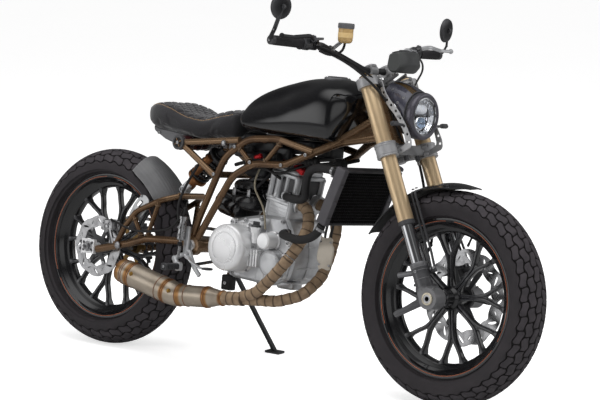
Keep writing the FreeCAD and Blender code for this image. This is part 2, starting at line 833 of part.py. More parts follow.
def make_front_end():
    """Headlight, its cowl and side arms, dash, fender, front caliper and brake hose."""
    level = Rotation(Vector(0, 1, 0), size("rake_angle"))
    lamp_place = steering.multiply(Placement(Vector(size("lamp_x"), 0, size("lamp_s")), level))
    body = new_body("headlight")
    bowl = [
        ("0", "0"), ("dims.lamp_radius - 14", "0"), ("dims.lamp_radius", "-6"),
        ("dims.lamp_radius", "-34"), ("dims.lamp_radius * 0.88", "-dims.lamp_depth + 32"),
        ("dims.lamp_radius * 0.68", "-dims.lamp_depth + 10"),
        ("dims.lamp_radius * 0.5", "-dims.lamp_depth"), ("0", "-dims.lamp_depth"),
    ]
    revolve(body, sketch(body, "XY_Plane", bowl))
    quarter = Placement(Vector(), Rotation(Vector(0, 0, 1), -90))
    keep(body, "headlight", lamp_place.multiply(quarter))

    rim = size("lamp_radius") + gap
    hood_wall = 3.2
    cowl_ring = [(-60, rim), (-6, rim), (-6, rim + hood_wall), (-60, rim + hood_wall)]
    wire = Part.makePolygon([Vector(x, 0, z) for x, z in cowl_ring + cowl_ring[:1]])
    hood = Part.Face(wire)
    hood.rotate(Vector(), FORWARD, -105)
    hood = outward(hood.revolve(Vector(), FORWARD, 210))
    neck_low = Part.Wire(Part.Arc(*[
        Vector(-50, y, z) for y, z in ((-rim - 3, -4), (0, rim + 3), (rim + 3, -4))]).toShape())
    cowl_tail = steering.inverse().multiply(lamp_place).inverse().multVec(Vector(62, 0, 724))
    neck_high = Part.Wire(Part.Arc(*[
        Vector(cowl_tail.x, y, cowl_tail.z + z) for y, z in ((-56, -44), (0, 6), (56, -44))
    ]).toShape())
    sheet_face = Part.makeLoft([neck_low, neck_high], False, True)
    cowl = sheet_face.extrude(Vector(-2, 0, 4))
    arms = []
    inner = size("lamp_radius") + 7
    for side in SIDES:
        spots = [(58.5, 752), (70, 752), (71, 680), (97, 618), (113, 558), (117, 500), (58.5, 484),
                 (58.5, 500), (97, 512), (97, 552), (80, 608), (58.5, 668)]
        wire = Part.makePolygon([Vector(x, side * inner, s) for x, s in spots + spots[:1]])
        strip = Part.Face(wire).extrude(LEFT * side * 4)
        spacer = bar(6, Vector(96, side * (rim + hood_wall + gap), 598), Vector(96, side * inner, 598))
        arms.append(strip.fuse(spacer))
    inverse = steering.inverse().multiply(lamp_place)
    hood.Placement = inverse
    cowl.Placement = inverse
    feature("headlight_mount", Part.Compound([hood.fuse(cowl)] + arms), steering)

    body = new_body("dash")
    shape = [
        ("-dims.dash_depth / 2", "-dims.dash_height / 2 + 20"),
        ("-dims.dash_depth / 2 + 14", "-dims.dash_height / 2"),
        ("dims.dash_depth / 2 - 20", "-dims.dash_height / 2"),
        ("dims.dash_depth / 2", "-dims.dash_height / 2 + 24"),
        ("dims.dash_depth / 2 - 12", "dims.dash_height / 2"),
        ("-dims.dash_depth / 2 + 6", "dims.dash_height / 2 - 10"),
    ]
    pad(body, sketch(body, "XZ_Plane", shape), "dims.dash_width")
    keep(body, "dash", dash_place())

    feature("front_fender", front_fender(), front_hub)
    feature("front_caliper", front_caliper(), steering)
    caliper_top = size("caliper_s") + size("caliper_height") / 2 + gap
    hose = pipe([Vector(8, 84, size("lower_yoke_s") - size("lower_yoke_height") / 2 - gap),
                 Vector(8, 84, 444), Vector(-14, 90, 330), Vector(-24, 94, 220),
                 Vector(-84, 92, 176), Vector(-84, 92, caliper_top)], 5, 60)
    feature("front_brake_hose", hose, steering)


def guard(inner, half, drop, thickness, start, end):
    """Curved guard over a tyre: a crowned strip turned about the wheel's axis."""
    outer = inner + thickness
    crown = Part.Arc(Vector(outer - drop, -half, 0), Vector(outer, 0, 0),
                     Vector(outer - drop, half, 0)).toShape()
    under = Part.Arc(Vector(inner - drop, half, 0), Vector(inner, 0, 0),
                     Vector(inner - drop, -half, 0)).toShape()
    ends = [
        Part.LineSegment(Vector(outer - drop, half, 0), Vector(inner - drop, half, 0)).toShape(),
        Part.LineSegment(Vector(inner - drop, -half, 0), Vector(outer - drop, -half, 0)).toShape(),
    ]
    face = Part.Face(Part.Wire([crown, ends[0], under, ends[1]]))
    face.rotate(Vector(), LEFT, -start)
    return outward(face.revolve(Vector(), LEFT, -(end - start)))


def front_fender():
    """Short fender over the front tyre with two struts down each fork foot."""
    inner = tyre_radius + size("fender_gap")
    half = size("fender_half")
    shell = guard(inner, half, size("fender_drop"), size("guard_thickness"), size("fender_start"),
                  size("fender_end"))
    strut = size("fender_strut")
    to_wheel = front_hub.inverse().multiply(steering)
    struts = []
    top_level = math.sqrt((inner - 14) ** 2 - 12 ** 2)
    for side in SIDES:
        for across in (63, 77):
            low = Vector(across, side * 92, 88)
            high = Vector(across - 3, side * (half + 15), top_level)
            struts.append(bar(strut, to_wheel.multVec(low), to_wheel.multVec(high)))
            edge = Vector(across - 3, side * (half - 5), top_level)
            struts.append(bar(strut, to_wheel.multVec(high), to_wheel.multVec(edge)))
        foot = block(24, 8, 14, Vector(67.4, side * 92, 88))
        foot.Placement = to_wheel
        struts.append(foot)
    return joined([shell] + struts)


def front_caliper():
    """Caliper that straddles the left disc behind the fork foot."""
    disc = size("front_disc_offset")
    lead = size("axle_lead")
    centre = Vector(size("caliper_x"), disc + 4, size("caliper_s"))
    body = block(size("caliper_length"), size("caliper_width"), size("caliper_height"), centre)
    thick = size("disc_thickness") + 5
    slot = Part.makeCylinder(size("front_disc_radius") + 6, thick,
                             Vector(lead, disc - thick / 2, 0), LEFT)
    seat = size("fork_half") - 9 - gap
    bolts = [
        bar(7, Vector(-66, disc + 20, level), Vector(-66, seat, level))
        for level in (size("caliper_s") + 36, size("caliper_s") - 26)
    ]
    return joined([body] + bolts).cut(slot)


def stand_axis():
    """Direction that the side stand turns about, in the upright frame."""
    return Vector(0.086, 0.912, 0.401).normalize()


def stand_pin():
    """Pin that the side stand turns on, from its bracket to a head outside the knuckle."""
    pivot = Vector(size("stand_pivot_x"), size("stand_pivot_y"), size("stand_pivot_z"))
    axis = stand_axis()
    shank = bar(size("stand_pin"), pivot - axis * 25, pivot + axis * 14)
    head = bar(size("stand_pin") + 4, pivot + axis * 10, pivot + axis * 14)
    return shank.fuse(head)


def upper_route(side):
    """Corners of an upper frame tube, from the swingarm pivot to below the tank's nose."""
    y = side * size("frame_half")
    rail_z = size("rail_height")
    return [
        Vector(size("pivot_x") - 10, y, size("pivot_z") + 14), Vector(500, y, 500),
        Vector(592, y, 716), Vector(690, y, rail_z + 4), Vector(812, y, rail_z + 15),
        Vector(962, side * 121, rail_z - 15),
    ]


def make_frame():
    """Frame sides, cross members with the head tube, and the tail frame."""
    radius = size("frame_tube")
    half = size("frame_half")
    pivot = Vector(size("pivot_x"), 0, size("pivot_z"))
    head_radius = size("head_radius")
    low_bearing = size("lower_yoke_s") + size("lower_yoke_height") / 2 + size("head_clearance")
    high_bearing = size("top_yoke_s") - size("top_yoke_height") / 2 - size("head_clearance")
    head = Part.makeCylinder(head_radius, high_bearing - low_bearing, Vector(0, 0, low_bearing))
    around_head = Part.makeCylinder(head_radius + gap, high_bearing, Vector())
    around_head.Placement = steering
    bend = size("frame_bend")

    for side, name in zip(SIDES, ("frame_right", "frame_left")):
        y = side * half
        low_end = steering.multVec(Vector(0, side * 14, 569))
        high_end = steering.multVec(Vector(0, side * 12, 650))
        lower = pipe([
            pivot + Vector(12, y, 14), Vector(532, y, 484), Vector(630, y, 652), Vector(716, y, 702),
            Vector(850, y, 709), Vector(946, side * 124, 752), Vector(1040, side * 78, 801), low_end,
        ], radius, bend)
        upper = pipe(upper_route(side), radius, bend)
        strut = bar(radius, Vector(962, side * 118, 763), Vector(1038, side * 80, 808))
        high = bar(radius, Vector(1032, side * 82, 808), high_end)
        braces = [
            bar(size("brace_tube"), Vector(648, y, 752), Vector(706, y, 702)),
            bar(size("brace_tube"), Vector(832, y, 786), Vector(762, y, 706)),
        ]
        corner = [Vector(1044, side * 78, 812), low_end + Vector(-22, 0, 0),
                  high_end + Vector(-16, 0, 0)]
        face = Part.Face(Part.makePolygon(corner + corner[:1]))
        gusset = face.extrude(face.normalAt(0, 0) * 3)
        lug = Part.makeCylinder(size("lug_radius"), size("lug_thickness"),
                                pivot + LEFT * (y - size("lug_thickness") / 2), LEFT)
        if side > 0:
            beam = pipe([Vector(584, y, 592), Vector(772, side * 120, 590),
                         Vector(772, side * (size("cylinder_width") / 2 + 11 + gap), 590)], 10, 40)
            ears = [(468, 392), (502, 380), (458, 282), (424, 288)]
            braces += [beam, plate(ears, 8, 126), stand_pin()]
        side_frame = joined([lower, upper, strut, high, lug, gusset] + braces)
        bore = bar(size("pivot_radius") + gap, pivot - LEFT * 200, pivot + LEFT * 200)
        feature(name, side_frame.cut(Part.Compound([bore, around_head])))

    stem_way = Part.makeCylinder(size("stem_radius") + size("head_bore_gap"), high_bearing, Vector())
    head = head.cut(stem_way)
    head.Placement = steering
    reach = half - radius - gap
    shock_top = Vector(size("shock_top_x"), 0, size("shock_top_z"))
    crossings = [(562, 651, 11), (742, 785, 11)]
    beams = [bar(thick, Vector(x, -reach, z), Vector(x, reach, z)) for x, z, thick in crossings]
    feature("frame_cross_members", Part.Compound([head] + beams))

    tail = Vector(size("tail_x"), 0, size("tail_z"))
    tail_frame = []
    for side in SIDES:
        y = side * half
        rail = bar(radius - 1, tail + LEFT * y, Vector(650, y, size("rail_height") - 3))
        strut = bar(radius - 1, tail + LEFT * y, Vector(553, y, 645))
        clamp = bar(size("tail_clamp"), tail + LEFT * (y - side * 24), tail + LEFT * (y - side * 2))
        tail_frame.append(joined([rail, strut, clamp]))
    beam = shock_top + UP * 12
    top = bar(9, beam - LEFT * half, beam + LEFT * half)
    eye = block(24, 32, 34, shock_top + UP * 2)
    slot = block(60, 18 + 2 * gap, 40, shock_top - UP * 7.5)
    tubes = joined(tail_frame + [top, eye]).cut(slot)
    keepout = bar(size("tail_radius") + gap, tail - LEFT * 200, tail + LEFT * 200)
    beside = [pipe(upper_route(side), radius + gap, bend) for side in SIDES]
    feature("subframe", tubes.cut(Part.Compound(beside + [keepout])))


def make_tail():
    """Lamp tube across the tail."""
    tail = Vector(size("tail_x"), 0, size("tail_z"))
    half = size("tail_half")
    feature("tail_lamps", bar(size("tail_radius"), tail - LEFT * half, tail + LEFT * half))


def make_swingarm():
    """Tube swingarm: two lower tubes, two arched upper tubes, braces and a cross tube."""
    radius = size("arm_tube")
    thin = size("arm_upper_tube")
    half = size("arm_half")
    bend = size("arm_bend")
    pivot = Vector(size("pivot_x"), 0, size("pivot_z"))
    solids = []
    for side in SIDES:
        y = side * half
        solids.append(pipe([
            pivot + Vector(-8, side * 96, 0), Vector(400, side * 108, 407), Vector(262, y, 400),
            Vector(180, y, 374), Vector(30, y, 338),
        ], radius, bend))
        solids.append(pipe([
            Vector(112, y, 356), Vector(152, y, 430), Vector(196, side * 116, 488),
            Vector(290, side * 100, 536), Vector(340, side * 60, 556),
        ], thin, bend))
        solids.append(bar(thin - 2, Vector(188, side * 116, 470), Vector(236, side * 118, 396)))
        solids.append(bar(thin - 2, Vector(286, side * 101, 530), Vector(256, side * 119, 398)))
        bobbin_end = Vector(140, side * (half + size("bobbin_length")), 364)
        solids.append(bar(size("bobbin_radius"), Vector(140, y, 364), bobbin_end))
    solids.append(bar(thin + 1, Vector(340, -62, 556), Vector(340, 62, 556)))
    solids.append(bar(size("arm_lug_radius"), pivot - LEFT * 112, pivot + LEFT * 112))
    solids.append(bar(radius, Vector(392, -104, 406), Vector(392, 104, 406)))
    arm = joined(solids)
    cuts = [bar(size("pivot_radius") + gap, pivot - LEFT * 200, pivot + LEFT * 200)]
    for side in SIDES:
        start = Vector(140, side * (half + 2), 364)
        cuts.append(bar(size("bobbin_bore"), start, start + LEFT * side * size("bobbin_length")))
        cuts.append(adjuster(side, 2 * gap))
        cuts.append(bar(size("rear_axle_radius") + gap,
                        Vector(0, side * 80, tyre_radius), Vector(0, side * 160, tyre_radius)))
    feature("swingarm", arm.cut(Part.Compound(cuts)))

    shell = guard(tyre_radius + size("hugger_gap"), size("hugger_half"), size("hugger_drop"),
                  size("guard_thickness"), size("hugger_start"), size("hugger_end"))
    shell.translate(Vector(0, 0, tyre_radius))
    legs = [
        bar(5, Vector(236, side * 82, 529.5), Vector(242, side * 108, 510)) for side in SIDES
    ]
    feature("rear_hugger", joined([shell] + legs).cut(arm))


def make_shock():
    """Damper with its clevis and collars, and the spring round it."""
    low = Vector(size("shock_low_x"), 0, size("shock_low_z"))
    top = Vector(size("shock_top_x"), 0, size("shock_top_z"))
    run = (top - low).normalize()
    length = (top - low).Length
    radius = size("damper_radius")
    spring_radius = size("spring_radius")
    wire = size("spring_wire")
    seat_low = 74
    seat_high = length - 58
    collar = spring_radius + wire
    profile = [
        (11, 4), (11, 34), (8, 34), (8, seat_low - 8), (collar, seat_low - 8), (collar, seat_low),
        (radius, seat_low), (radius, seat_high), (collar, seat_high), (collar, seat_high + 8),
        (9, seat_high + 8), (9, length - 4),
    ]
    body = turned(profile)
    body.Placement = Placement(low, Rotation(UP, run))
    damper = joined([
        body,
        Part.makeCylinder(14, 26, low - LEFT * 13, LEFT),
        Part.makeCylinder(12, 18, top - LEFT * 9, LEFT),
    ])
    turns = size("spring_turns")
    height = seat_high - seat_low - 2 * wire - 2 * gap
    helix = Part.makeHelix(height / turns, height, spring_radius)
    section = Part.Wire([Part.Circle(Vector(spring_radius, 0, 0), Vector(0, 1, 0), wire).toShape()])
    coil = Part.Wire(helix).makePipeShell([section], True, True)
    coil.Placement = Placement(low + run * (seat_low + wire + gap), Rotation(UP, run))
    feature("shock", Part.Compound([damper, coil]))


def make_engine():
    """Crankcase, side covers, cylinder with its head, and the airbox behind it."""
    body = new_body("engine_case")
    spots = [(560, 430), (568, 350), (610, 312), (800, 300), (868, 326), (888, 392), (878, 470),
             (846, 534), (740, 534), (662, 520), (600, 500)]
    outline = sketch(body, "XZ_Plane", [(str(x), str(z)) for x, z in spots])
    pad(body, outline, "2 * dims.case_half")
    keep(body, "engine_case")

    half = size("case_half") + gap
    covers = []
    for x, z, radius, face in ((649, 414, size("clutch_radius"), size("clutch_face")),
                               (794, 452, 28, 140), (806, 378, 45, 116)):
        solid = Part.makeCylinder(radius, face - half, Vector(x, -half, z), -LEFT)
        covers.append(solid)
    covers.append(Part.makeCylinder(size("generator_radius"), size("generator_face") - half,
                                    Vector(748, half, 404), LEFT))
    rounded = []
    for solid in covers:
        rim = [edge for edge in solid.Edges if abs(edge.CenterOfMass.y) > half + 5
               and edge.Closed and abs(edge.BoundBox.YLength) < 1]
        rounded.append(solid.makeFillet(8, rim))
    drive = Vector(size("drive_x"), 0, size("drive_z"))
    chain_middle = size("sprocket_offset")
    teeth_radius = size("drive_radius") - size("chain_height") / 2 - gap
    drive_half = size("sprocket_thickness") / 2 + size("chain_side_gap")
    housing = bar(24, drive + Vector(6, 20, 0), drive + Vector(6, chain_middle - 14, 0))
    shaft = bar(11, drive + LEFT * 30, drive + LEFT * (chain_middle + drive_half + 8))
    drive_sprocket = bar(teeth_radius, drive + LEFT * (chain_middle - drive_half),
                         drive + LEFT * (chain_middle + drive_half))
    output = joined([housing, shaft, drive_sprocket]).cut(shape_of("engine_case"))
    rounded.append(output)
    feature("engine_covers", Part.Compound(rounded))

    length = size("cylinder_length")
    width = size("cylinder_width")
    forward_lean = Rotation(Vector(0, 1, 0), size("cylinder_lean"))
    head_low = 44
    head_height = 106
    cover_height = 24

    def rounded_block(long, wide, high, centre):
        """Block whose upright edges are rounded."""
        solid = block(long, wide, high, centre)
        edges = [edge for edge in solid.Edges if edge.BoundBox.ZLength > high - 1]
        return solid.makeFillet(size("cylinder_round"), edges)

    barrel = rounded_block(length, width, 60, Vector(0, 0, 22))
    head = rounded_block(length + 16, width + 22, head_height,
                         Vector(2, 0, head_low + head_height / 2))
    cam_cover = block(length - 8, width + 6, cover_height,
                      Vector(2, 0, head_low + head_height + cover_height / 3))
    ports = [bar(size("port_radius"), Vector(40, y, 66), Vector(78, y, 58)) for y in (-44, 42)]
    cylinder_solid = joined([barrel, head, cam_cover] + ports)
    case_top = 534
    cylinder_solid.Placement = Placement(Vector(784, 0, case_top), forward_lean)
    below = Part.makeBox(400, 400, 100, Vector(600, -200, case_top + gap - 100))
    cylinder_solid = cylinder_solid.cut(below)
    feature("cylinder", cylinder_solid)

    box = block(118, 150, 106, Vector(632, 0, 590))
    box = box.makeFillet(26, [edge for edge in box.Edges if edge.BoundBox.YLength > 100])
    intake = bar(24, Vector(680, 0, 600), Vector(760, 0, 616))
    feature("airbox", joined([box, intake]).cut(cylinder_solid))


def make_exhaust():
    """Two header pipes that meet under the engine, and the silencer behind them."""
    radius = size("header_radius")
    collector = size("collector_radius")
    meet = Vector(706, -146, 248)
    knee = Vector(450, -156, 229)
    start = Vector(654, -147, 243)
    run = (knee - start).normalize()
    right = pipe([
        Vector(846, -44, 588), Vector(912, -56, 568), Vector(932, -78, 505), Vector(918, -105, 449),
        Vector(896, -125, 401), Vector(846, -140, 334), Vector(788, -145, 277), meet,
    ], radius, 60)
    left = pipe([
        Vector(846, 42, 588), Vector(936, 42, 572), Vector(960, 40, 510), Vector(948, 30, 420),
        Vector(941, 4, 345), Vector(918, -60, 283), Vector(850, -104, 256), meet,
    ], radius, 60)
    joint = bar(collector, start - run * 82, start)
    headers = joined([right, left, joint])
    feature("header_pipes", headers.cut(shape_of("cylinder")))

    back = Vector(186, -161, 285)
    rear = (back - knee).normalize()
    shoulder = start + run * 62
    can = size("can_radius")
    front_can = size("can_front_radius")
    solids = [
        taper(collector, front_can, start + run * gap, shoulder),
        bar(front_can, shoulder, knee - run * 26),
        taper(front_can, can, knee - run * 26, knee),
        Part.makeSphere(can + 0.8, knee),
        bar(can, knee, back),
        taper(can, can - 14, back, back + rear * 16),
    ]
    feature("silencer", joined(solids))


def make_cooling():
    """Radiator with side tanks and its two hoses."""
    low = Vector(size("radiator_low_x"), 0, size("radiator_low_z"))
    high = Vector(size("radiator_high_x"), 0, size("radiator_high_z"))
    height = (high - low).Length
    half = size("radiator_half")
    tank = size("radiator_tank")
    depth = size("radiator_depth")
    core = block(depth - 8, 2 * half, height, Vector(0, 0, height / 2))
    tanks = [block(depth, tank, height + 6, Vector(0, side * (half + tank / 2 - 1), height / 2))
             for side in SIDES]
    frame_bars = [
        block(depth, 2 * half, size("radiator_frame"), Vector(0, 0, level)) for level in (3, height - 3)
    ]
    radiator = joined([core] + tanks + frame_bars)
    radiator.Placement = Placement(low, Rotation(UP, high - low))
    brackets = [
        bar(5, radiator.Placement.multVec(Vector(-10, side * (half - 12), height - 14)),
            Vector(1004, side * 95, 776))
        for side in SIDES
    ]
    radiator = joined([radiator] + brackets)
    radiator = radiator.cut([shape_of("frame_right"), shape_of("frame_left")])
    feature("radiator", radiator)

    run = (high - low).normalize()
    aft = Vector(-run.z, 0, run.x)
    hose = size("hose_radius")
    tank_y = -(half + tank / 2 - 1)
    outlet = low - run * (3 + gap) + LEFT * tank_y
    inlet = low + run * (height - 24) + aft * (depth / 2 + gap) + LEFT * tank_y
    side_face = -(size("case_half") + gap)
    head_face = -(size("cylinder_width") / 2 + 11 + gap)
    lower = pipe([outlet, outlet - run * 38, Vector(958, -146, 470), Vector(890, -138, 478),
                  Vector(852, -118, 484), Vector(852, side_face, 484)], hose, 34)
    upper = pipe([inlet, inlet + aft * 28, Vector(962, -134, 712), Vector(946, -130, 652),
                  Vector(944, -118, 598), Vector(840, -116, 606), Vector(840, head_face, 606)],
                 hose, 34)
    taken = [shape_of(name) for name in ("engine_case", "cylinder", "engine_covers")]
    feature("coolant_hoses", Part.Compound([lower, upper]).cut(taken))


def section(x, low, high, half, shoulder):
    """One closed cross-section: flat floor, bulging flank and a crown."""
    middle = low + (high - low) * shoulder
    floor = Part.LineSegment(Vector(x, -half * 0.9, low), Vector(x, half * 0.9, low)).toShape()
    knee = Part.Arc(Vector(x, half * 0.9, low), Vector(x, half, (low + middle) / 2),
                    Vector(x, half * 0.97, middle)).toShape()
    crown = Part.Arc(Vector(x, half * 0.97, middle), Vector(x, 0, high),
                     Vector(x, -half * 0.97, middle)).toShape()
    other = Part.Arc(Vector(x, -half * 0.97, middle), Vector(x, -half, (low + middle) / 2),
                     Vector(x, -half * 0.9, low)).toShape()
    return Part.Wire([floor, knee, crown, other])


def make_tank_and_seat():
    """Fuel tank with its cap, the seat behind it and the tray under the seat's tail."""
    stations = [
        (600, 830, 893, 88, 0.5), (636, 812, 922, 108, 0.5), (690, 806, 950, 124, 0.5),
        (780, 804, 980, 142, 0.52), (880, 803, 1003, 155, 0.55), (960, 801, 1009, 158, 0.58),
        (1024, 800, 1000, 150, 0.6), (1058, 858, 984, 120, 0.6), (1084, 905, 968, 84, 0.5),
    ]
    tank = Part.makeLoft([section(*station) for station in stations], True, False)
    tunnel = size("tank_tunnel_half")
    hollow = Part.makeBox(280, 2 * tunnel, 120, Vector(860, -tunnel, 760))
    roof = Part.makeCylinder(tunnel * 1.6, 280, Vector(860, 0, 880 - tunnel * 1.6), FORWARD)
    tank = tank.cut(hollow.common(roof))
    cap_x = size("cap_x")
    plumb = Part.makeLine(Vector(cap_x, 0, 700), Vector(cap_x, 0, 1200))
    top = max(vertex.Z for vertex in tank.common(plumb).Vertexes)
    seat_level = Vector(cap_x, 0, top - size("cap_height") / 2)
    well = Part.makeCylinder(size("cap_radius") + gap, 60, seat_level)
    clamps = []
    for side in SIDES:
        reach = size("outer_radius") + size("yoke_wall") + size("steer_clearance")
        spot = Rotation(UP, side * size("steer_limit")).multVec(
            Vector(size("yoke_offset"), side * size("fork_half"), 0))
        clamp = Part.makeCylinder(reach, 100, spot + UP * (size("top_yoke_s") - 50))
        clamp.Placement = steering
        clamps.append(clamp)
    taken = [shape_of("frame_right"), shape_of("frame_left"), well] + clamps
    feature("fuel_tank", tank.cut(taken))
    cap = cylinder("Cap", "dims.cap_radius", "dims.cap_height", Vector(), UP)
    keep(cap, "filler_cap", Placement(seat_level + UP * gap, Rotation()))

    stations = [
        (176, 806, 848, 62, 0.5), (196, 796, 868, 96, 0.55), (236, 783, 876, 116, 0.6),
        (300, 777, 862, 124, 0.6), (388, 769, 838, 126, 0.6), (444, 764, 834, 124, 0.6),
        (520, 772, 858, 118, 0.6), (594, 781, 880, 106, 0.6),
    ]
    seat = Part.makeLoft([section(*station) for station in stations], True, False)
    feature("seat", seat)
    outline = [(206, 792), (236, 784), (300, 779), (356, 773), (350, 742), (330, 730),
               (262, 748), (208, 774)]
    tray = plate(outline, 150, 0)
    seat_below = seat.copy()
    seat_below.translate(UP * -gap)
    feature("tail_tray", tray.cut(seat_below))


def make_brakes_and_pedals():
    """Rear caliper and master cylinder, footrests, pedals and the stand bracket."""
    disc = -size("rear_disc_offset")
    caliper = block(60, 34, 44, Vector(52, disc + 1, 424))
    rotor = Part.makeCylinder(size("rear_disc_radius") + 6, size("disc_thickness") + 4,
                              Vector(0, disc - size("disc_thickness") / 2 - 2, tyre_radius), LEFT)
    hanger = bar(8, Vector(60, disc - 12, 412), Vector(104, -122, 362))
    caliper = joined([caliper, hanger]).cut([rotor, shape_of("swingarm")])
    master = joined([
        bar(14, Vector(466, -178.3, 424), Vector(472, -178.3, 500)),
        bar(6, Vector(461, -178.3, 356), Vector(466, -178.3, 426)),
    ])
    feature("rear_brake", Part.Compound([caliper, master]))

    peg_x = size("peg_x")
    peg_z = size("peg_z")
    solids = []
    for side in SIDES:
        y = side * 160
        hanger = pipe([Vector(430, y, 352), Vector(462, y, 368), Vector(500, y, 372),
                       Vector(522, y, 330), Vector(548, y, 306)], 8, 30)
        boss = bar(16, Vector(488, side * (size("pivot_half") + 4 + gap), 372),
                   Vector(488, side * 164, 372))
        stem = block(22, 10, 90, Vector(478, side * 159, 420))
        link = bar(10, Vector(430, y, 352), Vector(peg_x - 20, side * 172, peg_z))
        peg = bar(size("peg_radius"), Vector(peg_x - 20, side * size("peg_start"), peg_z),
                  Vector(peg_x - 20, side * size("peg_end"), peg_z))
        solids.append(joined([hanger, boss, link, peg] + ([stem] if side < 0 else [])))
    feature("footrests", Part.Compound(solids))


def make_chain():
    """Chain loop: two plates each side of the teeth, tied by pins on the straight runs."""
    rear = Vector(0, 0, tyre_radius)
    front = Vector(size("drive_x"), 0, size("drive_z"))
    apart = front - rear
    big = size("sprocket_radius")
    small = size("drive_radius")
    height = size("chain_height")

    def loop(grow):
        """Outline round both sprockets, moved out by grow, in the XZ plane."""
        tilt = math.atan2(apart.z, apart.x)
        wrap = math.asin((big - small) / apart.Length)
        top = tilt + math.pi / 2 - wrap
        bottom = tilt - math.pi / 2 + wrap

        def rim(centre, radius, angle):
            return centre + Vector(math.cos(angle), 0, math.sin(angle)) * radius

        edges = [
            Part.LineSegment(rim(rear, big + grow, top), rim(front, small + grow, top)).toShape(),
            Part.Arc(rim(front, small + grow, top), rim(front, small + grow, tilt),
                     rim(front, small + grow, bottom)).toShape(),
            Part.LineSegment(rim(front, small + grow, bottom),
                             rim(rear, big + grow, bottom)).toShape(),
            Part.Arc(rim(rear, big + grow, bottom), rim(rear, big + grow, tilt + math.pi),
                     rim(rear, big + grow, top)).toShape(),
        ]
        return Part.Wire(edges), (top, bottom)

    outside, (top, bottom) = loop(height / 2)
    inside, _ = loop(-height / 2)
    plate_y = size("sprocket_thickness") / 2 + size("chain_side_gap")
    middle = size("sprocket_offset")
    thick = size("chain_plate")
    plates = []
    for side in SIDES:
        start = middle + plate_y if side > 0 else middle - plate_y - thick
        strips = [Part.Face(wire).extrude(LEFT * thick) for wire in (outside, inside)]
        strip = strips[0].cut(strips[1])
        strip.translate(LEFT * start)
        plates.append(strip)
    pins = []
    for angle in (top, bottom):
        begin = rear + Vector(math.cos(angle), 0, math.sin(angle)) * big
        finish = front + Vector(math.cos(angle), 0, math.sin(angle)) * small
        for share in (0.35, 0.5, 0.65, 0.8):
            spot = begin + (finish - begin) * share
            pins.append(bar(4, spot + LEFT * (middle - plate_y - 1), spot + LEFT * (middle + plate_y + 1)))
    feature("chain", joined(plates + pins))


def make_stand():
    """Side stand: a bent leg with a flat foot that lies on the ground when the machine leans."""
    pivot = Vector(size("stand_pivot_x"), size("stand_pivot_y"), size("stand_pivot_z"))
    foot_ground = parked.multVec(Vector(size("stand_foot_x"), size("stand_foot_y"), 0))
    foot_ground.z = 0
    thickness = size("stand_foot_thickness")
    sole = block(size("stand_foot_length"), size("stand_foot_width"), thickness,
                 foot_ground + Vector(0, 0, thickness / 2))
    sole.Placement = parked.inverse()
    ankle = parked.inverse().multVec(foot_ground + Vector(0, 0, thickness))
    axis = stand_axis()
    knuckle = bar(size("stand_knuckle"), pivot - axis * 9, pivot + axis * 9)
    leg = bar(size("stand_radius"), pivot, ankle)
    hole = bar(size("stand_pin") + size("stand_pin_gap"), pivot - axis * 30, pivot + axis * 30)
    feature("side_stand", joined([knuckle, leg, sole]).cut(hole))
    return pivot, ankle


lean = Rotation(Vector(1, 0, 0), -size("lean_angle"))
crown = (size("rear_tyre_half") ** 2 + size("rear_crown_drop") ** 2) / (2 * size("rear_crown_drop"))
lift = crown * (1 - math.cos(math.radians(size("lean_angle"))))
parked = Placement(Vector(0, 0, lift), lean)

make_wheels()
make_axles()
make_yokes()
make_fork()
make_bars()
make_front_end()
make_frame()
make_tail()
make_swingarm()
make_shock()
make_engine()
make_exhaust()
make_cooling()
make_tank_and_seat()
make_brakes_and_pedals()
make_chain()
stand_pivot, stand_ankle = make_stand()
doc.recompute()

for part in parts:
    part.Placement = parked.multiply(part.Placement)
doc.recompute()

box = FreeCAD.BoundBox()
for part in parts:
    box.add(part.Shape.optimalBoundingBox(False, False))
shift = Placement(Vector(-box.Center.x, -box.Center.y, 0), Rotation())
for part in parts:
    part.Placement = shift.multiply(part.Placement)
doc.recompute()

for obj in doc.Objects:
    if "Invalid" in obj.State or "Error" in obj.State:
        raise RuntimeError(f"{obj.Name} failed: {obj.State}")
for part in parts:
    solid_volumes = [solid.Volume for solid in part.Shape.Solids]
    if part.Shape.isNull() or not part.Shape.isValid() or min(solid_volumes) <= 0:
        raise RuntimeError(f"{part.Label} has no valid shape")

os.makedirs("parts", exist_ok=True)
for part in parts:
    part.Shape.exportStep(f"parts/{part.Label}.step")

final = shift.multiply(parked)
for title, place, spot, axis in (
    ("steering axis", final.multiply(steering), Vector(), UP),
    ("front axle", final.multiply(front_hub), Vector(), LEFT),
    ("rear axle", final.multiply(rear_hub), Vector(), LEFT),
    ("side stand", final, stand_pivot, stand_axis()),
    ("bobbins", final, Vector(140, 0, 364), LEFT),
):
    point = place.multVec(spot)
    turned = place.Rotation.multVec(axis)
    print(title, [round(v, 3) for v in point], [round(v, 6) for v in turned])
print("box", [round(v, 2) for v in (box.XLength, box.YLength, box.ZMin, box.ZMax)])
print("shift", [round(v, 3) for v in shift.Base], "lift", round(lift, 4), "nodes", len(parts))
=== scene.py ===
"""A street motorcycle with block-tread tyres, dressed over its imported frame.

Sizes are in millimetres, in one of two places: the upright machine (x forward, y to the rider's left,
z up, origin on the ground below the rear axle) and the steering (s up the steering axis, x forward
and square to it). Each piece is worked out there and then put in the row frame in metres.
"""

import logging
import math
from dataclasses import dataclass
from enum import Enum
from typing import Iterable, Sequence

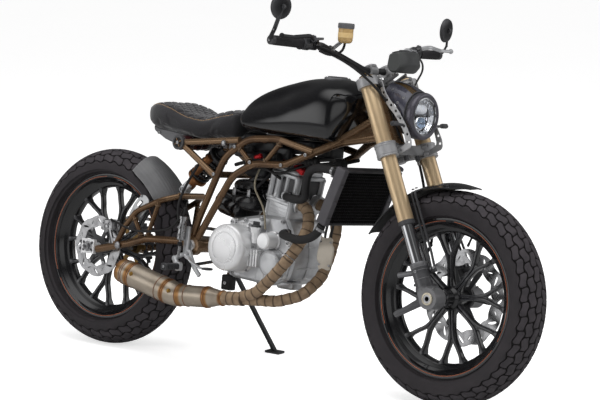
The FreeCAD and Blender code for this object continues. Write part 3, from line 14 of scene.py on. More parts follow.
import bmesh
import bpy
import numpy as np
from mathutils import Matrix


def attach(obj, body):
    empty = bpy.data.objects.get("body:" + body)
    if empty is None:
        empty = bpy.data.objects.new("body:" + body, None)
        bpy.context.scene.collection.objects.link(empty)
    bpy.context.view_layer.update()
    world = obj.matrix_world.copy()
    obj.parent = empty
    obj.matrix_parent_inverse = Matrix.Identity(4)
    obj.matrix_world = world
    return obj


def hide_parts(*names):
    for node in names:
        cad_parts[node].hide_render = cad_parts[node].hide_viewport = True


Array = np.ndarray
Point = Sequence[float]
Colour = tuple[float, float, float]

log = logging.getLogger("motorcycle")
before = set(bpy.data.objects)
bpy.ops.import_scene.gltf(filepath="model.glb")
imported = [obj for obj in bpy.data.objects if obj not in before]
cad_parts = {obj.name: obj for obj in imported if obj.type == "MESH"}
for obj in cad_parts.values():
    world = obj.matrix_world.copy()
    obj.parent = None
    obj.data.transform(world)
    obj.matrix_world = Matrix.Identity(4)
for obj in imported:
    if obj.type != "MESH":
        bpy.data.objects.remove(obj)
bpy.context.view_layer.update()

MM = 0.001
SIDES = (-1, 1)
TAU = 2 * math.pi


def turning(axis: Point, degrees: float) -> Array:
    """Turn about an axis through the origin, by the sum of the axis' own part, a cosine and a sine part.

    Args:
        axis: direction of the axis.
        degrees: angle, by the right-hand rule.
    Returns:
        A 4 by 4 matrix.
    """
    x, y, z = np.asarray(axis, float) / np.linalg.norm(axis)
    c, s = math.cos(math.radians(degrees)), math.sin(math.radians(degrees))
    own = np.outer((x, y, z), (x, y, z)) * (1 - c)
    out = np.eye(4)
    out[:3, :3] = own + np.eye(3) * c + np.array(((0, -z, y), (z, 0, -x), (-y, x, 0))) * s
    return out


def moving(x: float, y: float, z: float) -> Array:
    """Shift by x, y and z, as a 4 by 4 matrix."""
    out = np.eye(4)
    out[:3, 3] = (x, y, z)
    return out


def put(points: Array, place: Array) -> Array:
    """Points turned and shifted by a 4 by 4 matrix."""
    return np.asarray(points, float) @ place[:3, :3].T + place[:3, 3]


def unit(vector: Array) -> Array:
    """The vector or rows of vectors at length one."""
    vector = np.asarray(vector, float)
    return vector / np.maximum(np.linalg.norm(vector, axis=-1, keepdims=True), 1e-12)


def aimed(start: Point, direction: Point, hint: Point = (0.0, 1.0, 0.0)) -> Array:
    """Place whose z axis runs along a direction and whose x axis leans towards the hint.

    Args:
        start: origin of the place.
        direction: where z points.
        hint: where x points, as far as it can.
    Returns:
        A 4 by 4 matrix.
    """
    z = unit(direction)
    hint = np.asarray(hint, float)
    x = hint - z * (hint @ z)
    if np.linalg.norm(x) < 1e-3:
        x = np.cross(z, (1.0, 0.0, 0.0)) if abs(z[0]) < 0.9 else np.cross(z, (0.0, 0.0, 1.0))
    x = unit(x)
    out = np.eye(4)
    out[:3, 0], out[:3, 1], out[:3, 2], out[:3, 3] = x, np.cross(z, x), z, start
    return out


def facing(x: float, y: float, z: float, side: int = -1) -> Array:
    """Place whose z axis points out to one side of the machine, with x forward."""
    return aimed((x, y, z), (0, side, 0), (1, 0, 0))


@dataclass(frozen=True)
class Stance:
    """How the upright machine and its steering stand in the row frame.

    Attributes:
        wheelbase: distance between the axles.
        tyre_radius: radius of both tyres.
        rake: the steering axis' lean from upright, in degrees.
        lead: the front axle's distance ahead of the steering axis.
        lean: the machine's lean to its left on the stand, in degrees.
        lift: height that the lean takes from the tyres' contact.
        shift: the upright machine's origin in the row frame.
    """

    wheelbase: float = 1480.0
    tyre_radius: float = 345.0
    rake: float = 25.5
    lead: float = 46.0
    lean: float = 7.76
    lift: float = 0.7348
    shift: Point = (-740.0, -160.602, 0.0)

    def bike(self) -> Array:
        """The upright machine leaned over and moved to the row's origin."""
        return moving(*self.shift) @ moving(0, 0, self.lift) @ turning((1, 0, 0), -self.lean)

    def fork(self) -> Array:
        """The steering's own place."""
        rake = math.radians(self.rake)
        foot = moving(self.wheelbase - self.lead * math.cos(rake), 0,
                      self.tyre_radius - self.lead * math.sin(rake))
        return self.bike() @ foot @ turning((0, 1, 0), -self.rake)

    def hub(self, front: bool) -> Array:
        """A wheel's centre."""
        return self.bike() @ moving(self.wheelbase if front else 0.0, 0, self.tyre_radius)


STANCE = Stance()
BIKE = STANCE.bike()
FORK = STANCE.fork()


def smooth(value: Array, low: float, high: float) -> Array:
    """Three t squared less two t cubed, where t runs from 0 at low to 1 at high."""
    t = np.clip((value - low) / (high - low), 0.0, 1.0)
    return t * t * (3 - 2 * t)


def ring(count: int, start: float = 0.0) -> Array:
    """Angles shared evenly round a full turn."""
    return start + np.arange(count) * TAU / count


def polar(radius: float | Array, angle: float | Array) -> Array:
    """Pairs at a radius and an angle: the radius times its cosine and its sine."""
    return np.stack([radius * np.cos(angle), radius * np.sin(angle)], -1)


def lifted(pairs: Array, height: float | Array) -> Array:
    """Pairs with a height as their third number."""
    return np.column_stack([pairs, np.broadcast_to(height, len(pairs))])


def revolve(profile: Sequence[Point], steps: int = 48) -> Array:
    """Rows of a turned surface: radius times cosine and sine, with the height along z.

    Args:
        profile: pairs of radius and height.
        steps: points round each row.
    Returns:
        An array of rows, steps and 3.
    """
    radius, height = np.asarray(profile, float).T
    angle = ring(steps)
    return np.stack([radius[:, None] * np.cos(angle), radius[:, None] * np.sin(angle),
                     np.repeat(height[:, None], steps, 1)], -1)


def crowned(profile: Sequence[Point], round_by: float, steps: int = 4) -> list[tuple[float, float]]:
    """A profile with its inner corners rounded: each becomes a quadratic curve between two nearby points.

    Args:
        profile: pairs of radius and height.
        round_by: how far from the corner each curve starts.
        steps: points on each curve.
    Returns:
        The new pairs.
    """
    spots = [np.asarray(spot, float) for spot in profile]
    out = [tuple(spots[0])]
    for before, corner, after in zip(spots, spots[1:], spots[2:]):
        back, ahead = before - corner, after - corner
        reach = min(round_by, 0.45 * np.linalg.norm(back), 0.45 * np.linalg.norm(ahead))
        start, end = corner + unit(back) * reach, corner + unit(ahead) * reach
        for t in np.linspace(0, 1, steps):
            out.append(tuple((1 - t) ** 2 * start + 2 * t * (1 - t) * corner + t * t * end))
    out.append(tuple(spots[-1]))
    return out


def loop(corners: Sequence[Point], radius: float) -> Array:
    """Closed outline with each corner rounded."""
    return np.array(crowned([corners[-1], *corners, corners[0]], radius, 5)[1:-1])


def bent(points: Iterable[Point], radius: float, turn_steps: int = 8) -> Array:
    """Centre line of a bent tube: straight runs and circular arcs that touch them.

    An arc takes at most 0.45 of the shorter run beside it, as on the bender.

    Args:
        points: corners of the line.
        radius: radius of each arc.
        turn_steps: points along each arc.
    Returns:
        An array of points.
    """
    spots = [np.asarray(spot, float) for spot in points]
    line = [spots[0]]
    for before, corner, after in zip(spots, spots[1:], spots[2:]):
        arrive, leave = unit(corner - before), unit(after - corner)
        half = math.acos(float(np.clip(arrive @ leave, -1, 1))) / 2
        if half < 1e-3:
            line.append(corner)
            continue
        shorter = min(np.linalg.norm(corner - before), np.linalg.norm(after - corner))
        reach = min(radius * math.tan(half), 0.45 * shorter)
        arc = reach / math.tan(half)
        centre = corner + unit(leave - arrive) * math.hypot(arc, reach)
        start = corner - arrive * reach - centre
        side = unit(arrive) * arc
        sweep = np.linspace(0, 2 * half, turn_steps)[:, None]
        line.extend(centre + start * np.cos(sweep) + side * np.sin(sweep))
    line.append(spots[-1])
    return np.array(line)


def flowing(points: Iterable[Point], steps: int = 10) -> Array:
    """Smooth line through points: on each span a cubic whose slopes are half the step between neighbours.

    Args:
        points: the points passed through.
        steps: points on each span.
    Returns:
        An array of points.
    """
    spots = np.asarray(list(points), float)
    padded = np.concatenate([[2 * spots[0] - spots[1]], spots, [2 * spots[-1] - spots[-2]]])
    t = np.linspace(0, 1, steps, endpoint=False)[:, None]
    line = []
    for a, b, c, d in zip(padded, padded[1:], padded[2:], padded[3:]):
        line.append(0.5 * (2 * b + (c - a) * t + (2 * a - 5 * b + 4 * c - d) * t ** 2
                           + (3 * b - a - 3 * c + d) * t ** 3))
    return np.concatenate(line + [spots[-1:]])


def settled(curve: bpy.types.Curve) -> bpy.types.Mesh:
    """The mesh that a curve makes; the curve itself is removed."""
    holder = bpy.data.objects.new("curve", curve)
    bpy.context.scene.collection.objects.link(holder)
    mesh = bpy.data.meshes.new_from_object(holder)
    bpy.data.objects.remove(holder)
    bpy.data.curves.remove(curve)
    return mesh


def places(mesh: bpy.types.Mesh) -> Array:
    """A mesh's points, as rows."""
    flat = np.empty(3 * len(mesh.vertices))
    mesh.vertices.foreach_get("co", flat)
    return flat.reshape(-1, 3)


def routed(points: Iterable[Point], steps: int = 10) -> Array:
    """Line of a hose or cable: the run of a NURBS curve of order 3 that its control points pull.

    Args:
        points: control points.
        steps: points on each span.
    Returns:
        An array of points.
    """
    curve = bpy.data.curves.new("route", "CURVE")
    curve.dimensions = "3D"
    curve.resolution_u = steps
    spline = curve.splines.new("NURBS")
    spots = np.array([(*spot, 1.0) for spot in points], float)
    spline.points.add(len(spots) - 1)
    spline.points.foreach_set("co", spots.ravel())
    spline.order_u = 3
    spline.use_endpoint_u = True
    mesh = settled(curve)
    line = places(mesh)
    bpy.data.meshes.remove(mesh)
    return line


def run_along(line: Array) -> Array:
    """Length from the start of a line to each of its points."""
    return np.concatenate([[0], np.cumsum(np.linalg.norm(np.diff(line, axis=0), axis=1))])


def sampled(line: Array, where: Array) -> Array:
    """Points of a line at given lengths from its start."""
    run = run_along(line)
    return np.stack([np.interp(where, run, line[:, k]) for k in range(line.shape[1])], -1)


def evenly(line: Array, spacing: float) -> Array:
    """The same line with points at an even spacing."""
    total = run_along(line)[-1]
    return sampled(line, np.linspace(0, total, max(int(total / spacing), 2) + 1))


def carried(line: Array, section: Array, hint: Point = (0.0, 0.0, 1.0)) -> Array:
    """A section carried along a line, each copy turned with the line and never about it.

    Each frame is the last one with its part along the new direction taken off.

    Args:
        line: points of the centre line.
        section: pairs across and up, one set for all points or one for each.
        hint: where the section's second axis points at the start, as far as it can.
    Returns:
        An array of rows, section points and 3.
    """
    line = np.asarray(line, float)
    ahead = unit(np.gradient(line, axis=0))
    up = np.zeros_like(line)
    last = np.asarray(hint, float)
    if abs(unit(last) @ ahead[0]) > 0.98:
        last = np.array((1.0, 0.0, 0.0)) if abs(ahead[0][0]) < 0.9 else np.array((0.0, 1.0, 0.0))
    for index, direction in enumerate(ahead):
        last = unit(last - direction * (last @ direction))
        up[index] = last
    across = np.cross(ahead, up)
    section = np.broadcast_to(section, (len(line),) + np.shape(section)[-2:])
    return (line[:, None] + across[:, None] * section[..., :1] + up[:, None] * section[..., 1:])


def disc(radius: float | Array, sides: int = 20) -> Array:
    """Circle of pairs; with several radii, one circle for each."""
    return np.asarray(radius, float)[..., None, None] * polar(1.0, ring(sides))


def soft_box(width: float, height: float, power: float = 5.0, sides: int = 32) -> Array:
    """Rounded oblong: cosine and sine raised to two over the power, times each half size."""
    angle = ring(sides, TAU / sides / 2)
    c, s = np.cos(angle), np.sin(angle)
    return np.stack([width / 2 * np.sign(c) * np.abs(c) ** (2 / power),
                     height / 2 * np.sign(s) * np.abs(s) ** (2 / power)], -1)


def volume(points: Array, faces: list[list[int]]) -> float:
    """Six times the volume inside closed faces: the sum of triple products of fans.

    Args:
        points: the corners.
        faces: the corners' numbers round each face.

    Returns:
        The volume, above nought where the faces point outward.
    """
    total = 0.0
    by_length: dict[int, list[list[int]]] = {}
    for face in faces:
        by_length.setdefault(len(face), []).append(face)
    for count, group in by_length.items():
        corners = points[np.array(group)]
        for index in range(1, count - 1):
            total += np.einsum("ij,ij->", corners[:, 0],
                               np.cross(corners[:, index], corners[:, index + 1]))
    return total


class Shape:
    """Closed surfaces gathered into one mesh, in millimetres of the place they are worked out in."""

    def __init__(self) -> None:
        """An empty shape."""
        self.points: list[Array] = []
        self.faces: list[list[int]] = []
        self.marks: list[int] = []
        self.tones: list[Array] = []
        self.count = 0

    def add(self, points: Array, faces: list[list[int]], mark: int = 0,
            tone: Array | None = None) -> "Shape":
        """Add one closed surface, turned so that its faces point out.

        Args:
            points: its points.
            faces: its faces, by index.
            mark: which of the piece's finishes it takes.
            tone: one number for each point, read by some finishes.
        Returns:
            The shape itself.
        """
        points = np.asarray(points, float).reshape(-1, 3)
        if volume(points - points.mean(0), faces) < 0:
            faces = [face[::-1] for face in faces]
        self.faces.extend([[self.count + k for k in face] for face in faces])
        self.marks.extend([mark] * len(faces))
        self.points.append(points)
        self.tones.append(np.zeros(len(points)) if tone is None else np.ravel(tone))
        self.count += len(points)
        return self

    def grid(self, rows: Array, mark: int = 0, closed: bool = False,
             tone: Array | None = None) -> "Shape":
        """Add rows of points as quads; each row closes on itself and the ends are capped.

        Args:
            rows: an array of rows, points and 3.
            mark: which of the piece's finishes it takes.
            closed: whether the last row joins the first instead of both being capped.
            tone: one number for each point.
        Returns:
            The shape itself.
        """
        count, around = rows.shape[:2]
        index = np.arange(count * around).reshape(count, around)
        index = np.concatenate([index, index[:, :1]], 1)
        if closed:
            index = np.concatenate([index, index[:1]], 0)
        quads = np.stack([index[:-1, :-1], index[:-1, 1:], index[1:, 1:], index[1:, :-1]], -1)
        faces = quads.reshape(-1, 4).tolist()
        if not closed:
            faces.append(index[0, :-1][::-1].tolist())
            faces.append(index[-1, :-1].tolist())
        return self.add(rows.reshape(-1, 3), faces, mark, tone)

    def turned(self, profile: Sequence[Point], place: Array, steps: int = 32, mark: int = 0,
               closed: bool = False) -> "Shape":
        """Add a surface turned about the z axis of a place, capped at both ends or closed as a ring."""
        return self.grid(put(revolve(profile, steps), place), mark, closed)

    def tube(self, line: Array, radius: float | Array, sides: int = 16, mark: int = 0,
             closed: bool = False) -> "Shape":
        """Add a round tube along a line."""
        radius = np.broadcast_to(radius, len(line))
        return self.grid(carried(line, disc(radius, sides)), mark, closed)

    def hoop(self, major: float, minor: float, place: Array, steps: int = 48, sides: int = 8,
             mark: int = 0) -> "Shape":
        """Add a torus about the z axis of a place."""
        return self.turned(polar(minor, ring(sides)) + (major, 0), place, steps, mark, True)

    def block(self, size: Point, place: Array, edge: float = 4.0, power: float = 7.0, mark: int = 0,
              narrow: float = 1.0) -> "Shape":
        """Add a rounded block that stands on the xy plane of a place.

        Args:
            size: its width, depth and height.
            place: where it stands.
            edge: rounding at the bottom and top.
            power: squareness of its plan.
            mark: which of the piece's finishes it takes.
            narrow: its top's size as a share of its foot's.
        Returns:
            The shape itself.
        """
        width, depth, height = size
        quarter = np.linspace(0, math.pi / 2, 4)
        draw, lift = edge * (1 - np.sin(quarter)), edge * (1 - np.cos(quarter))
        inset = np.concatenate([draw, draw[::-1]])[:, None]
        level = np.concatenate([lift, height - lift[::-1]])[:, None]
        share = 1 + (narrow - 1) * level / height
        sides = 28
        plan = soft_box(2, 2, power, sides)
        rows = np.stack([plan[:, 0] * (width / 2 * share - inset), plan[:, 1] * (depth / 2 * share - inset),
                         np.repeat(level, sides, 1)], -1)
        return self.grid(put(rows, place), mark)

    def studs(self, place: Array, radius: float, count: int, head: float = 4.0, start: float = 0.0,
              mark: int = 0) -> "Shape":
        """Add screws shared evenly round the z axis of a place."""
        for turn in ring(count, start):
            self.screw(put((*polar(radius, turn), 0), place), place[:3, 2], head, head * 0.8, mark)
        return self

    def shell(self, sheet: Array, thick: float, mark: int = 0) -> "Shape":
        """Add a thin wall: a sheet of rows and its copy moved back along the normals, with rims.

        Args:
            sheet: an open array of rows, points and 3.
            thick: wall thickness; its sign picks the side of the second face.
            mark: which of the piece's finishes it takes.
        Returns:
            The shape itself.
        """
        normal = unit(np.cross(np.gradient(sheet, axis=0), np.gradient(sheet, axis=1)))
        return self.grid(np.concatenate([sheet, (sheet - normal * thick)[:, ::-1]], 1), mark)

    def plate(self, outline: Array, thick: float, place: Array, holes: Sequence[Array] = (),
              edge: float = 0.6, mark: int = 0) -> "Shape":
        """Add a flat plate with holes and chamfered edges, filled as a flat curve.

        Args:
            outline: pairs round the rim.
            thick: thickness, shared about the place's xy plane.
            place: where the plate lies.
            holes: pairs round each hole.
            edge: chamfer.
            mark: which of the piece's finishes it takes.
        Returns:
            The shape itself.
        """
        curve = bpy.data.curves.new("outline", "CURVE")
        curve.dimensions = "2D"
        curve.fill_mode = "BOTH"
        curve.extrude = thick / 2 - edge
        curve.bevel_depth = edge
        curve.bevel_resolution = 0
        curve.offset = -edge
        for rim in (outline, *holes):
            spline = curve.splines.new("POLY")
            spline.points.add(len(rim) - 1)
            spline.points.foreach_set("co", lifted(lifted(rim, 0), 1).ravel())
            spline.use_cyclic_u = True
        mesh = settled(curve)
        work = bmesh.new()
        work.from_mesh(mesh)
        bmesh.ops.remove_doubles(work, verts=work.verts, dist=1e-4)
        bmesh.ops.recalc_face_normals(work, faces=work.faces)
        spots = np.array([vertex.co[:] for vertex in work.verts])
        faces = [[vertex.index for vertex in face.verts] for face in work.faces]
        work.free()
        bpy.data.meshes.remove(mesh)
        return self.add(put(spots, place), faces, mark)

    def screw(self, spot: Point, direction: Point, radius: float = 5.0, height: float = 4.0,
              mark: int = 0) -> "Shape":
        """Add a socket screw's head: a chamfered cap with a six-sided recess."""
        head = revolve([(radius, 0), (radius, height * 0.8), (radius * 0.86, height)], 12)
        socket = revolve([(radius * 0.5, height), (radius * 0.45, height * 0.4)], 12)
        return self.grid(put(np.concatenate([head, socket]), aimed(spot, direction)), mark)

    def build(self, name: str, place: Array, finishes: Sequence["Finish"], body: str,
              stands_for: Sequence[str] = (), sharp: float = 35.0, slot: str = "") -> bpy.types.Object:
        """Make the object, in metres of the row frame, and let it ride on a body.

        Args:
            name: the piece's name.
            place: where the shape's own frame stands, in millimetres.
            finishes: its finishes, by mark.
            body: the body that it moves with.
            stands_for: CAD nodes that it is shown instead of.
            sharp: faces that meet at more than this many degrees keep a sharp edge.
            slot: not used.
        Returns:
            The object.
        """
        points = put(np.concatenate(self.points), place) * MM
        mesh = bpy.data.meshes.new(name)
        mesh.from_pydata(points.tolist(), [], self.faces)
        mesh.polygons.foreach_set("material_index", np.array(self.marks, np.int32))
        for finish in finishes:
            mesh.materials.append(finish.material())
        tones = np.concatenate(self.tones)
        if tones.any():
            layer = mesh.attributes.new("tone", "FLOAT", "POINT")
            layer.data.foreach_set("value", tones.astype(np.float32))
        mesh.update()
        mesh.shade_smooth()
        mesh.set_sharp_from_angle(angle=math.radians(sharp))
        piece = bpy.data.objects.new(name, mesh)
        bpy.context.scene.collection.objects.link(piece)
        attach(piece, body)
        if stands_for:
            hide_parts(*stands_for)
        log.info("%s: %d faces", name, len(self.faces))
        return piece


def srgb(red: int, green: int, blue: int) -> Colour:
    """A screen colour, 0 to 255, as the linear light that shaders use."""
    def linear(value: float) -> float:
        """One channel, by the standard curve: a straight foot, then the power 2.4."""
        return value / 12.92 if value <= 0.04045 else ((value + 0.055) / 1.055) ** 2.4
    return linear(red / 255), linear(green / 255), linear(blue / 255)


class Tree:
    """A node tree and the ways to add to it."""

    def __init__(self, tree: bpy.types.NodeTree) -> None:
        """Write into this tree."""
        self.tree = tree

    def make(self, kind: str, **settings) -> bpy.types.Node:
        """Add a node and set it."""
        node = self.tree.nodes.new(kind)
        for key, value in settings.items():
            setattr(node, key, value)
        return node

    def feed(self, socket: bpy.types.NodeSocket, value) -> None:
        """Give a socket another socket's value, a number or a colour."""
        if isinstance(value, bpy.types.NodeSocket):
            self.tree.links.new(value, socket)
        elif isinstance(value, tuple) and socket.type == "RGBA":
            socket.default_value = (*value, 1.0)
        else:
            socket.default_value = value

    def maths(self, operation: str, first, second=0.0, third=0.0) -> bpy.types.NodeSocket:
        """One operation on numbers, not clamped."""
        node = self.make("ShaderNodeMath", operation=operation)
        for socket, value in zip(node.inputs, (first, second, third)):
            self.feed(socket, value)
        return node.outputs[0]

    def spread(self, value, low: float, high: float, to_low: float = 0.0,
               to_high: float = 1.0) -> bpy.types.NodeSocket:
        """A number mapped from one range to another and kept inside it."""
        node = self.make("ShaderNodeMapRange", interpolation_type="SMOOTHSTEP")
        for socket, number in zip(node.inputs, (value, low, high, to_low, to_high)):
            self.feed(socket, number)
        return node.outputs[0]


class Nodes(Tree):
    """The node tree of one material, written from its patterns to its surface."""

    def __init__(self, name: str) -> None:
        """A new material with one principled surface."""
        self.material = bpy.data.materials.new(name)
        self.material.use_nodes = True
        super().__init__(self.material.node_tree)
        self.surface = self.tree.nodes["Principled BSDF"]
        self.where = self.make("ShaderNodeTexCoord").outputs["Object"]

    def mix(self, share, first, second) -> bpy.types.NodeSocket:
        """A colour between two, by a share."""
        node = self.make("ShaderNodeMix", data_type="RGBA")
        for socket, value in zip((node.inputs[0], node.inputs[6], node.inputs[7]), (share, first, second)):
            self.feed(socket, value)
        return node.outputs[2]

    def noise(self, size: float, detail: float = 2.0,
              stretch: Point = (1.0, 1.0, 1.0)) -> bpy.types.NodeSocket:
        """Cloudy noise whose clouds are about a size in millimetres, drawn out along the axes.

        Args:
            size: size of a cloud in millimetres.
            detail: how many finer layers lie in it.
            stretch: how many times longer the clouds are along each axis.

        Returns:
            The noise, from nought to one.
        """
        scaled = self.make("ShaderNodeMapping")
        self.feed(scaled.inputs["Vector"], self.where)
        scaled.inputs["Scale"].default_value = tuple(1.0 / factor for factor in stretch)
        node = self.make("ShaderNodeTexNoise")
        self.feed(node.inputs["Vector"], scaled.outputs["Vector"])
        node.inputs["Scale"].default_value = 1.0 / (size * MM)
        node.inputs["Detail"].default_value = detail
        return node.outputs["Fac"]

    def tone(self) -> bpy.types.NodeSocket:
        """The number kept on the mesh's points."""
        return self.make("ShaderNodeAttribute", attribute_name="tone").outputs["Fac"]

    def edges(self) -> bpy.types.NodeSocket:
        """One on outer edges and nought on flats, from how pointed the mesh is."""
        return self.spread(self.make("ShaderNodeNewGeometry").outputs["Pointiness"], 0.505, 0.56)

    def raised(self, height, depth: float, under=None) -> bpy.types.NodeSocket:
        """A bump normal of a height from nought to one, a depth in millimetres at one."""
        node = self.make("ShaderNodeBump")
        self.feed(node.inputs["Height"], height)
        node.inputs["Distance"].default_value = depth * MM
        if under is not None:
            self.feed(node.inputs["Normal"], under)
        return node.outputs["Normal"]

    def finish(self, **sockets) -> bpy.types.Material:
        """Set the surface's sockets by name, with underlines for spaces."""
        for name, value in sockets.items():
            self.feed(self.surface.inputs[name.replace("_", " ")], value)
        return self.material


class Grain(Enum):
    """What a surface feels like up close: size, detail and stretch of its noise, and depth in millimetres.

    PEEL is the ripple of lacquer, SATIN the tooth of powder coat, CAST the pebbled skin of a casting,
    BRUSHED fine scratches along the part, and RUBBER a matte skin with dust in it.
    """

    PEEL = (9.0, 1.0, 1.0, 0.012)
    SATIN = (0.8, 2.0, 1.0, 0.04)
    CAST = (1.6, 3.0, 1.0, 0.16)
    BRUSHED = (0.7, 2.0, 14.0, 0.02)
    RUBBER = (1.1, 3.0, 1.0, 0.10)


@dataclass(frozen=True)
class Finish:
    """One material.

    Attributes:
        name: the material's name.
        colour: its main colour.
        rough: roughness, 0 to 1.
        metal: 1 for bare metal.
        grain: the small relief.
        coat: strength of a clear coat.
        second: colour of its darker or dirtier patches.
        patch: size of the patches, in millimetres.
        share: how much of the second colour shows at most.
        worn: colour on outer edges, or none.
        depth: how deep the grain is against its usual depth.
    """

    name: str
    colour: Colour
    rough: float = 0.4
    metal: float = 0.0
    grain: Grain = Grain.SATIN
    coat: float = 0.0
    second: Colour | None = None
    patch: float = 45.0
    share: float = 0.5
    worn: Colour | None = None
    depth: float = 1.0

    def material(self) -> bpy.types.Material:
        """The material, made once."""
        return bpy.data.materials.get(self.name) or self.paint(Nodes(self.name))

    def tooth(self, nodes: Nodes) -> bpy.types.NodeSocket:
        """The grain as a bump."""
        size, detail, stretch, depth = self.grain.value
        return nodes.raised(nodes.noise(size, detail, (stretch, 1.0, 1.0)), depth * self.depth)

    def clouded(self, nodes: Nodes, low: float = 0.35,
                high: float = 0.7) -> tuple[bpy.types.NodeSocket, bpy.types.NodeSocket]:
        """Clouds of the patches' size, and the main colour with the second one laid over it in them."""
        clouds = nodes.spread(nodes.noise(self.patch, 4.0), low, high)
        dull = self.second or tuple(channel * 0.72 for channel in self.colour)
        return clouds, nodes.mix(nodes.maths("MULTIPLY", clouds, self.share), self.colour, dull)

    def paint(self, nodes: Nodes) -> bpy.types.Material:
        """Patches of the second colour, worn edges, roughness that wanders, and the grain."""
        clouds, colour = self.clouded(nodes, 0.38, 0.68)
        rough = nodes.spread(clouds, 0.0, 1.0, self.rough * 0.88, min(self.rough * 1.18, 1.0))
        if self.worn:
            colour = nodes.mix(nodes.maths("MULTIPLY", nodes.edges(), 0.7), colour, self.worn)
        return nodes.finish(Base_Color=colour, Roughness=rough, Metallic=self.metal,
                            Coat_Weight=self.coat, Coat_Roughness=0.04, Normal=self.tooth(nodes))


@dataclass(frozen=True)
class TyreRubber(Finish):
    """Rubber whose tone attribute is nought in the grooves and one on the blocks and wall; the grooves take
    a darker colour as painted shade.

    Attributes:
        groove: colour in the grooves, a painted shade darker than the rubber.
    """

    groove: Colour = srgb(24, 22, 22)

    def paint(self, nodes: Nodes) -> bpy.types.Material:
        """Painted shade in the grooves, dusty faces and a fine skin."""
        dust = nodes.spread(nodes.noise(30.0, 5.0), 0.35, 0.7)
        top = nodes.mix(nodes.maths("MULTIPLY", dust, 0.45), self.colour, self.second or self.colour)
        # Where the tone falls towards nought the colour goes to the groove colour: painted shade in the
        # grooves.
        colour = nodes.mix(nodes.tone(), self.groove, top)
        return nodes.finish(Base_Color=colour, Roughness=nodes.spread(dust, 0, 1, self.rough, 0.95),
                            Specular_IOR_Level=0.35, Normal=self.tooth(nodes))


@dataclass(frozen=True)
class Wrap(Finish):
    """Woven tape wound round a pipe; the tone attribute counts the turns along it.

    Attributes:
        seam: colour where two turns meet.
    """

    seam: Colour = srgb(52, 42, 34)

    def paint(self, nodes: Nodes) -> bpy.types.Material:
        """A dark seam once in each turn, with soot in clouds, over a weave of fine noise."""
        turn = nodes.maths("FRACT", nodes.tone())
        near = nodes.maths("ABSOLUTE", nodes.maths("SUBTRACT", turn, 0.5))
        edge = nodes.spread(near, 0.36, 0.5)
        weave = nodes.noise(1.5, 2.0)
        _, colour = self.clouded(nodes)
        colour = nodes.mix(nodes.maths("MULTIPLY", edge, 0.85), colour, self.seam)
        lap = nodes.raised(nodes.maths("SUBTRACT", 1.0, edge), 1.2)
        return nodes.finish(Base_Color=colour, Roughness=self.rough, Normal=nodes.raised(weave, 0.35, lap))


@dataclass(frozen=True)
class HeatTint(Finish):
    """Raw titanium; where the tone attribute nears one it is straw, then copper and violet.

    Attributes:
        straw: first tint.
        copper: second tint.
    """

    straw: Colour = srgb(176, 132, 84)
    copper: Colour = srgb(132, 84, 62)

    def paint(self, nodes: Nodes) -> bpy.types.Material:
        """Two tints that follow the attribute, over a brushed skin."""
        heat = nodes.tone()
        _, colour = self.clouded(nodes)
        colour = nodes.mix(nodes.spread(heat, 0.1, 0.55), colour, self.straw)
        colour = nodes.mix(nodes.spread(heat, 0.55, 1.0), colour, self.copper)
        return nodes.finish(Base_Color=colour, Roughness=self.rough, Metallic=self.metal,
                            Normal=self.tooth(nodes))


@dataclass(frozen=True)
class Glass(Finish):
    """Clear or tinted glass, thin enough to see through.

    Attributes:
        clear: how much light passes, from nought to one.
    """

    clear: float = 1.0

    def paint(self, nodes: Nodes) -> bpy.types.Material:
        """A tint with faint smears in its polish."""
        smear = nodes.spread(nodes.noise(20.0, 3.0), 0.3, 0.7, self.rough, self.rough + 0.03)
        return nodes.finish(Base_Color=self.colour, Roughness=smear, Transmission_Weight=self.clear,
                            IOR=1.45)


@dataclass(frozen=True)
class Cloth(Finish):
    """Coarse seat fabric: threads over and under in two directions, with a soft sheen.

    Attributes:
        thread: width of a thread in millimetres.
    """

    thread: float = 1.9

    def paint(self, nodes: Nodes) -> bpy.types.Material:
        """Two noises drawn out across each other make the threads; lighter yarn lies in them.

        Args:
            nodes: the material's tree.

        Returns:
            The finished material.
        """
        along = nodes.noise(self.thread, 1.0, (3.0, 1.0, 1.0))
        over = nodes.noise(self.thread, 1.0, (1.0, 3.0, 1.0))
        crossing = nodes.maths("MULTIPLY", along, over)
        fleck = nodes.spread(nodes.noise(2.4, 2.0), 0.5, 0.72)
        worn = nodes.spread(nodes.noise(self.patch, 3.0), 0.35, 0.7)
        colour = nodes.mix(nodes.maths("MULTIPLY", fleck, self.share), self.colour, self.second)
        colour = nodes.mix(nodes.maths("MULTIPLY", worn, 0.3), colour,
                           tuple(channel * 0.6 for channel in self.colour))
        return nodes.finish(Base_Color=colour, Roughness=self.rough, Sheen_Weight=0.35,
                            Sheen_Roughness=0.5, Specular_IOR_Level=0.3,
                            Normal=nodes.raised(crossing, 0.5, nodes.raised(fleck, 0.1)))


RUBBER = TyreRubber("tyre_rubber", srgb(50, 47, 50), 0.75, grain=Grain.RUBBER, second=srgb(70, 66, 69))
SOFT_RUBBER = Finish("moulded_rubber", srgb(24, 23, 24), 0.62, grain=Grain.RUBBER, second=srgb(36, 35, 35))
GLOSS_BLACK = Finish("gloss_black", srgb(9, 9, 11), 0.16, grain=Grain.PEEL, coat=1.0, patch=160,
                     second=srgb(14, 14, 17))
RIM_BLACK = Finish("rim_black", srgb(14, 14, 16), 0.2, grain=Grain.PEEL, coat=0.8, patch=90,
                   second=srgb(22, 22, 24), worn=srgb(54, 54, 57))
SATIN_BLACK = Finish("satin_black", srgb(22, 22, 24), 0.38, second=srgb(34, 34, 36), patch=60,
                     worn=srgb(66, 66, 68))
MATTE_BLACK = Finish("matte_black", srgb(26, 26, 27), 0.6, second=srgb(40, 39, 38), patch=40)
PINSTRIPE = Finish("copper_stripe", srgb(168, 96, 66), 0.35, second=srgb(140, 78, 54), patch=30)
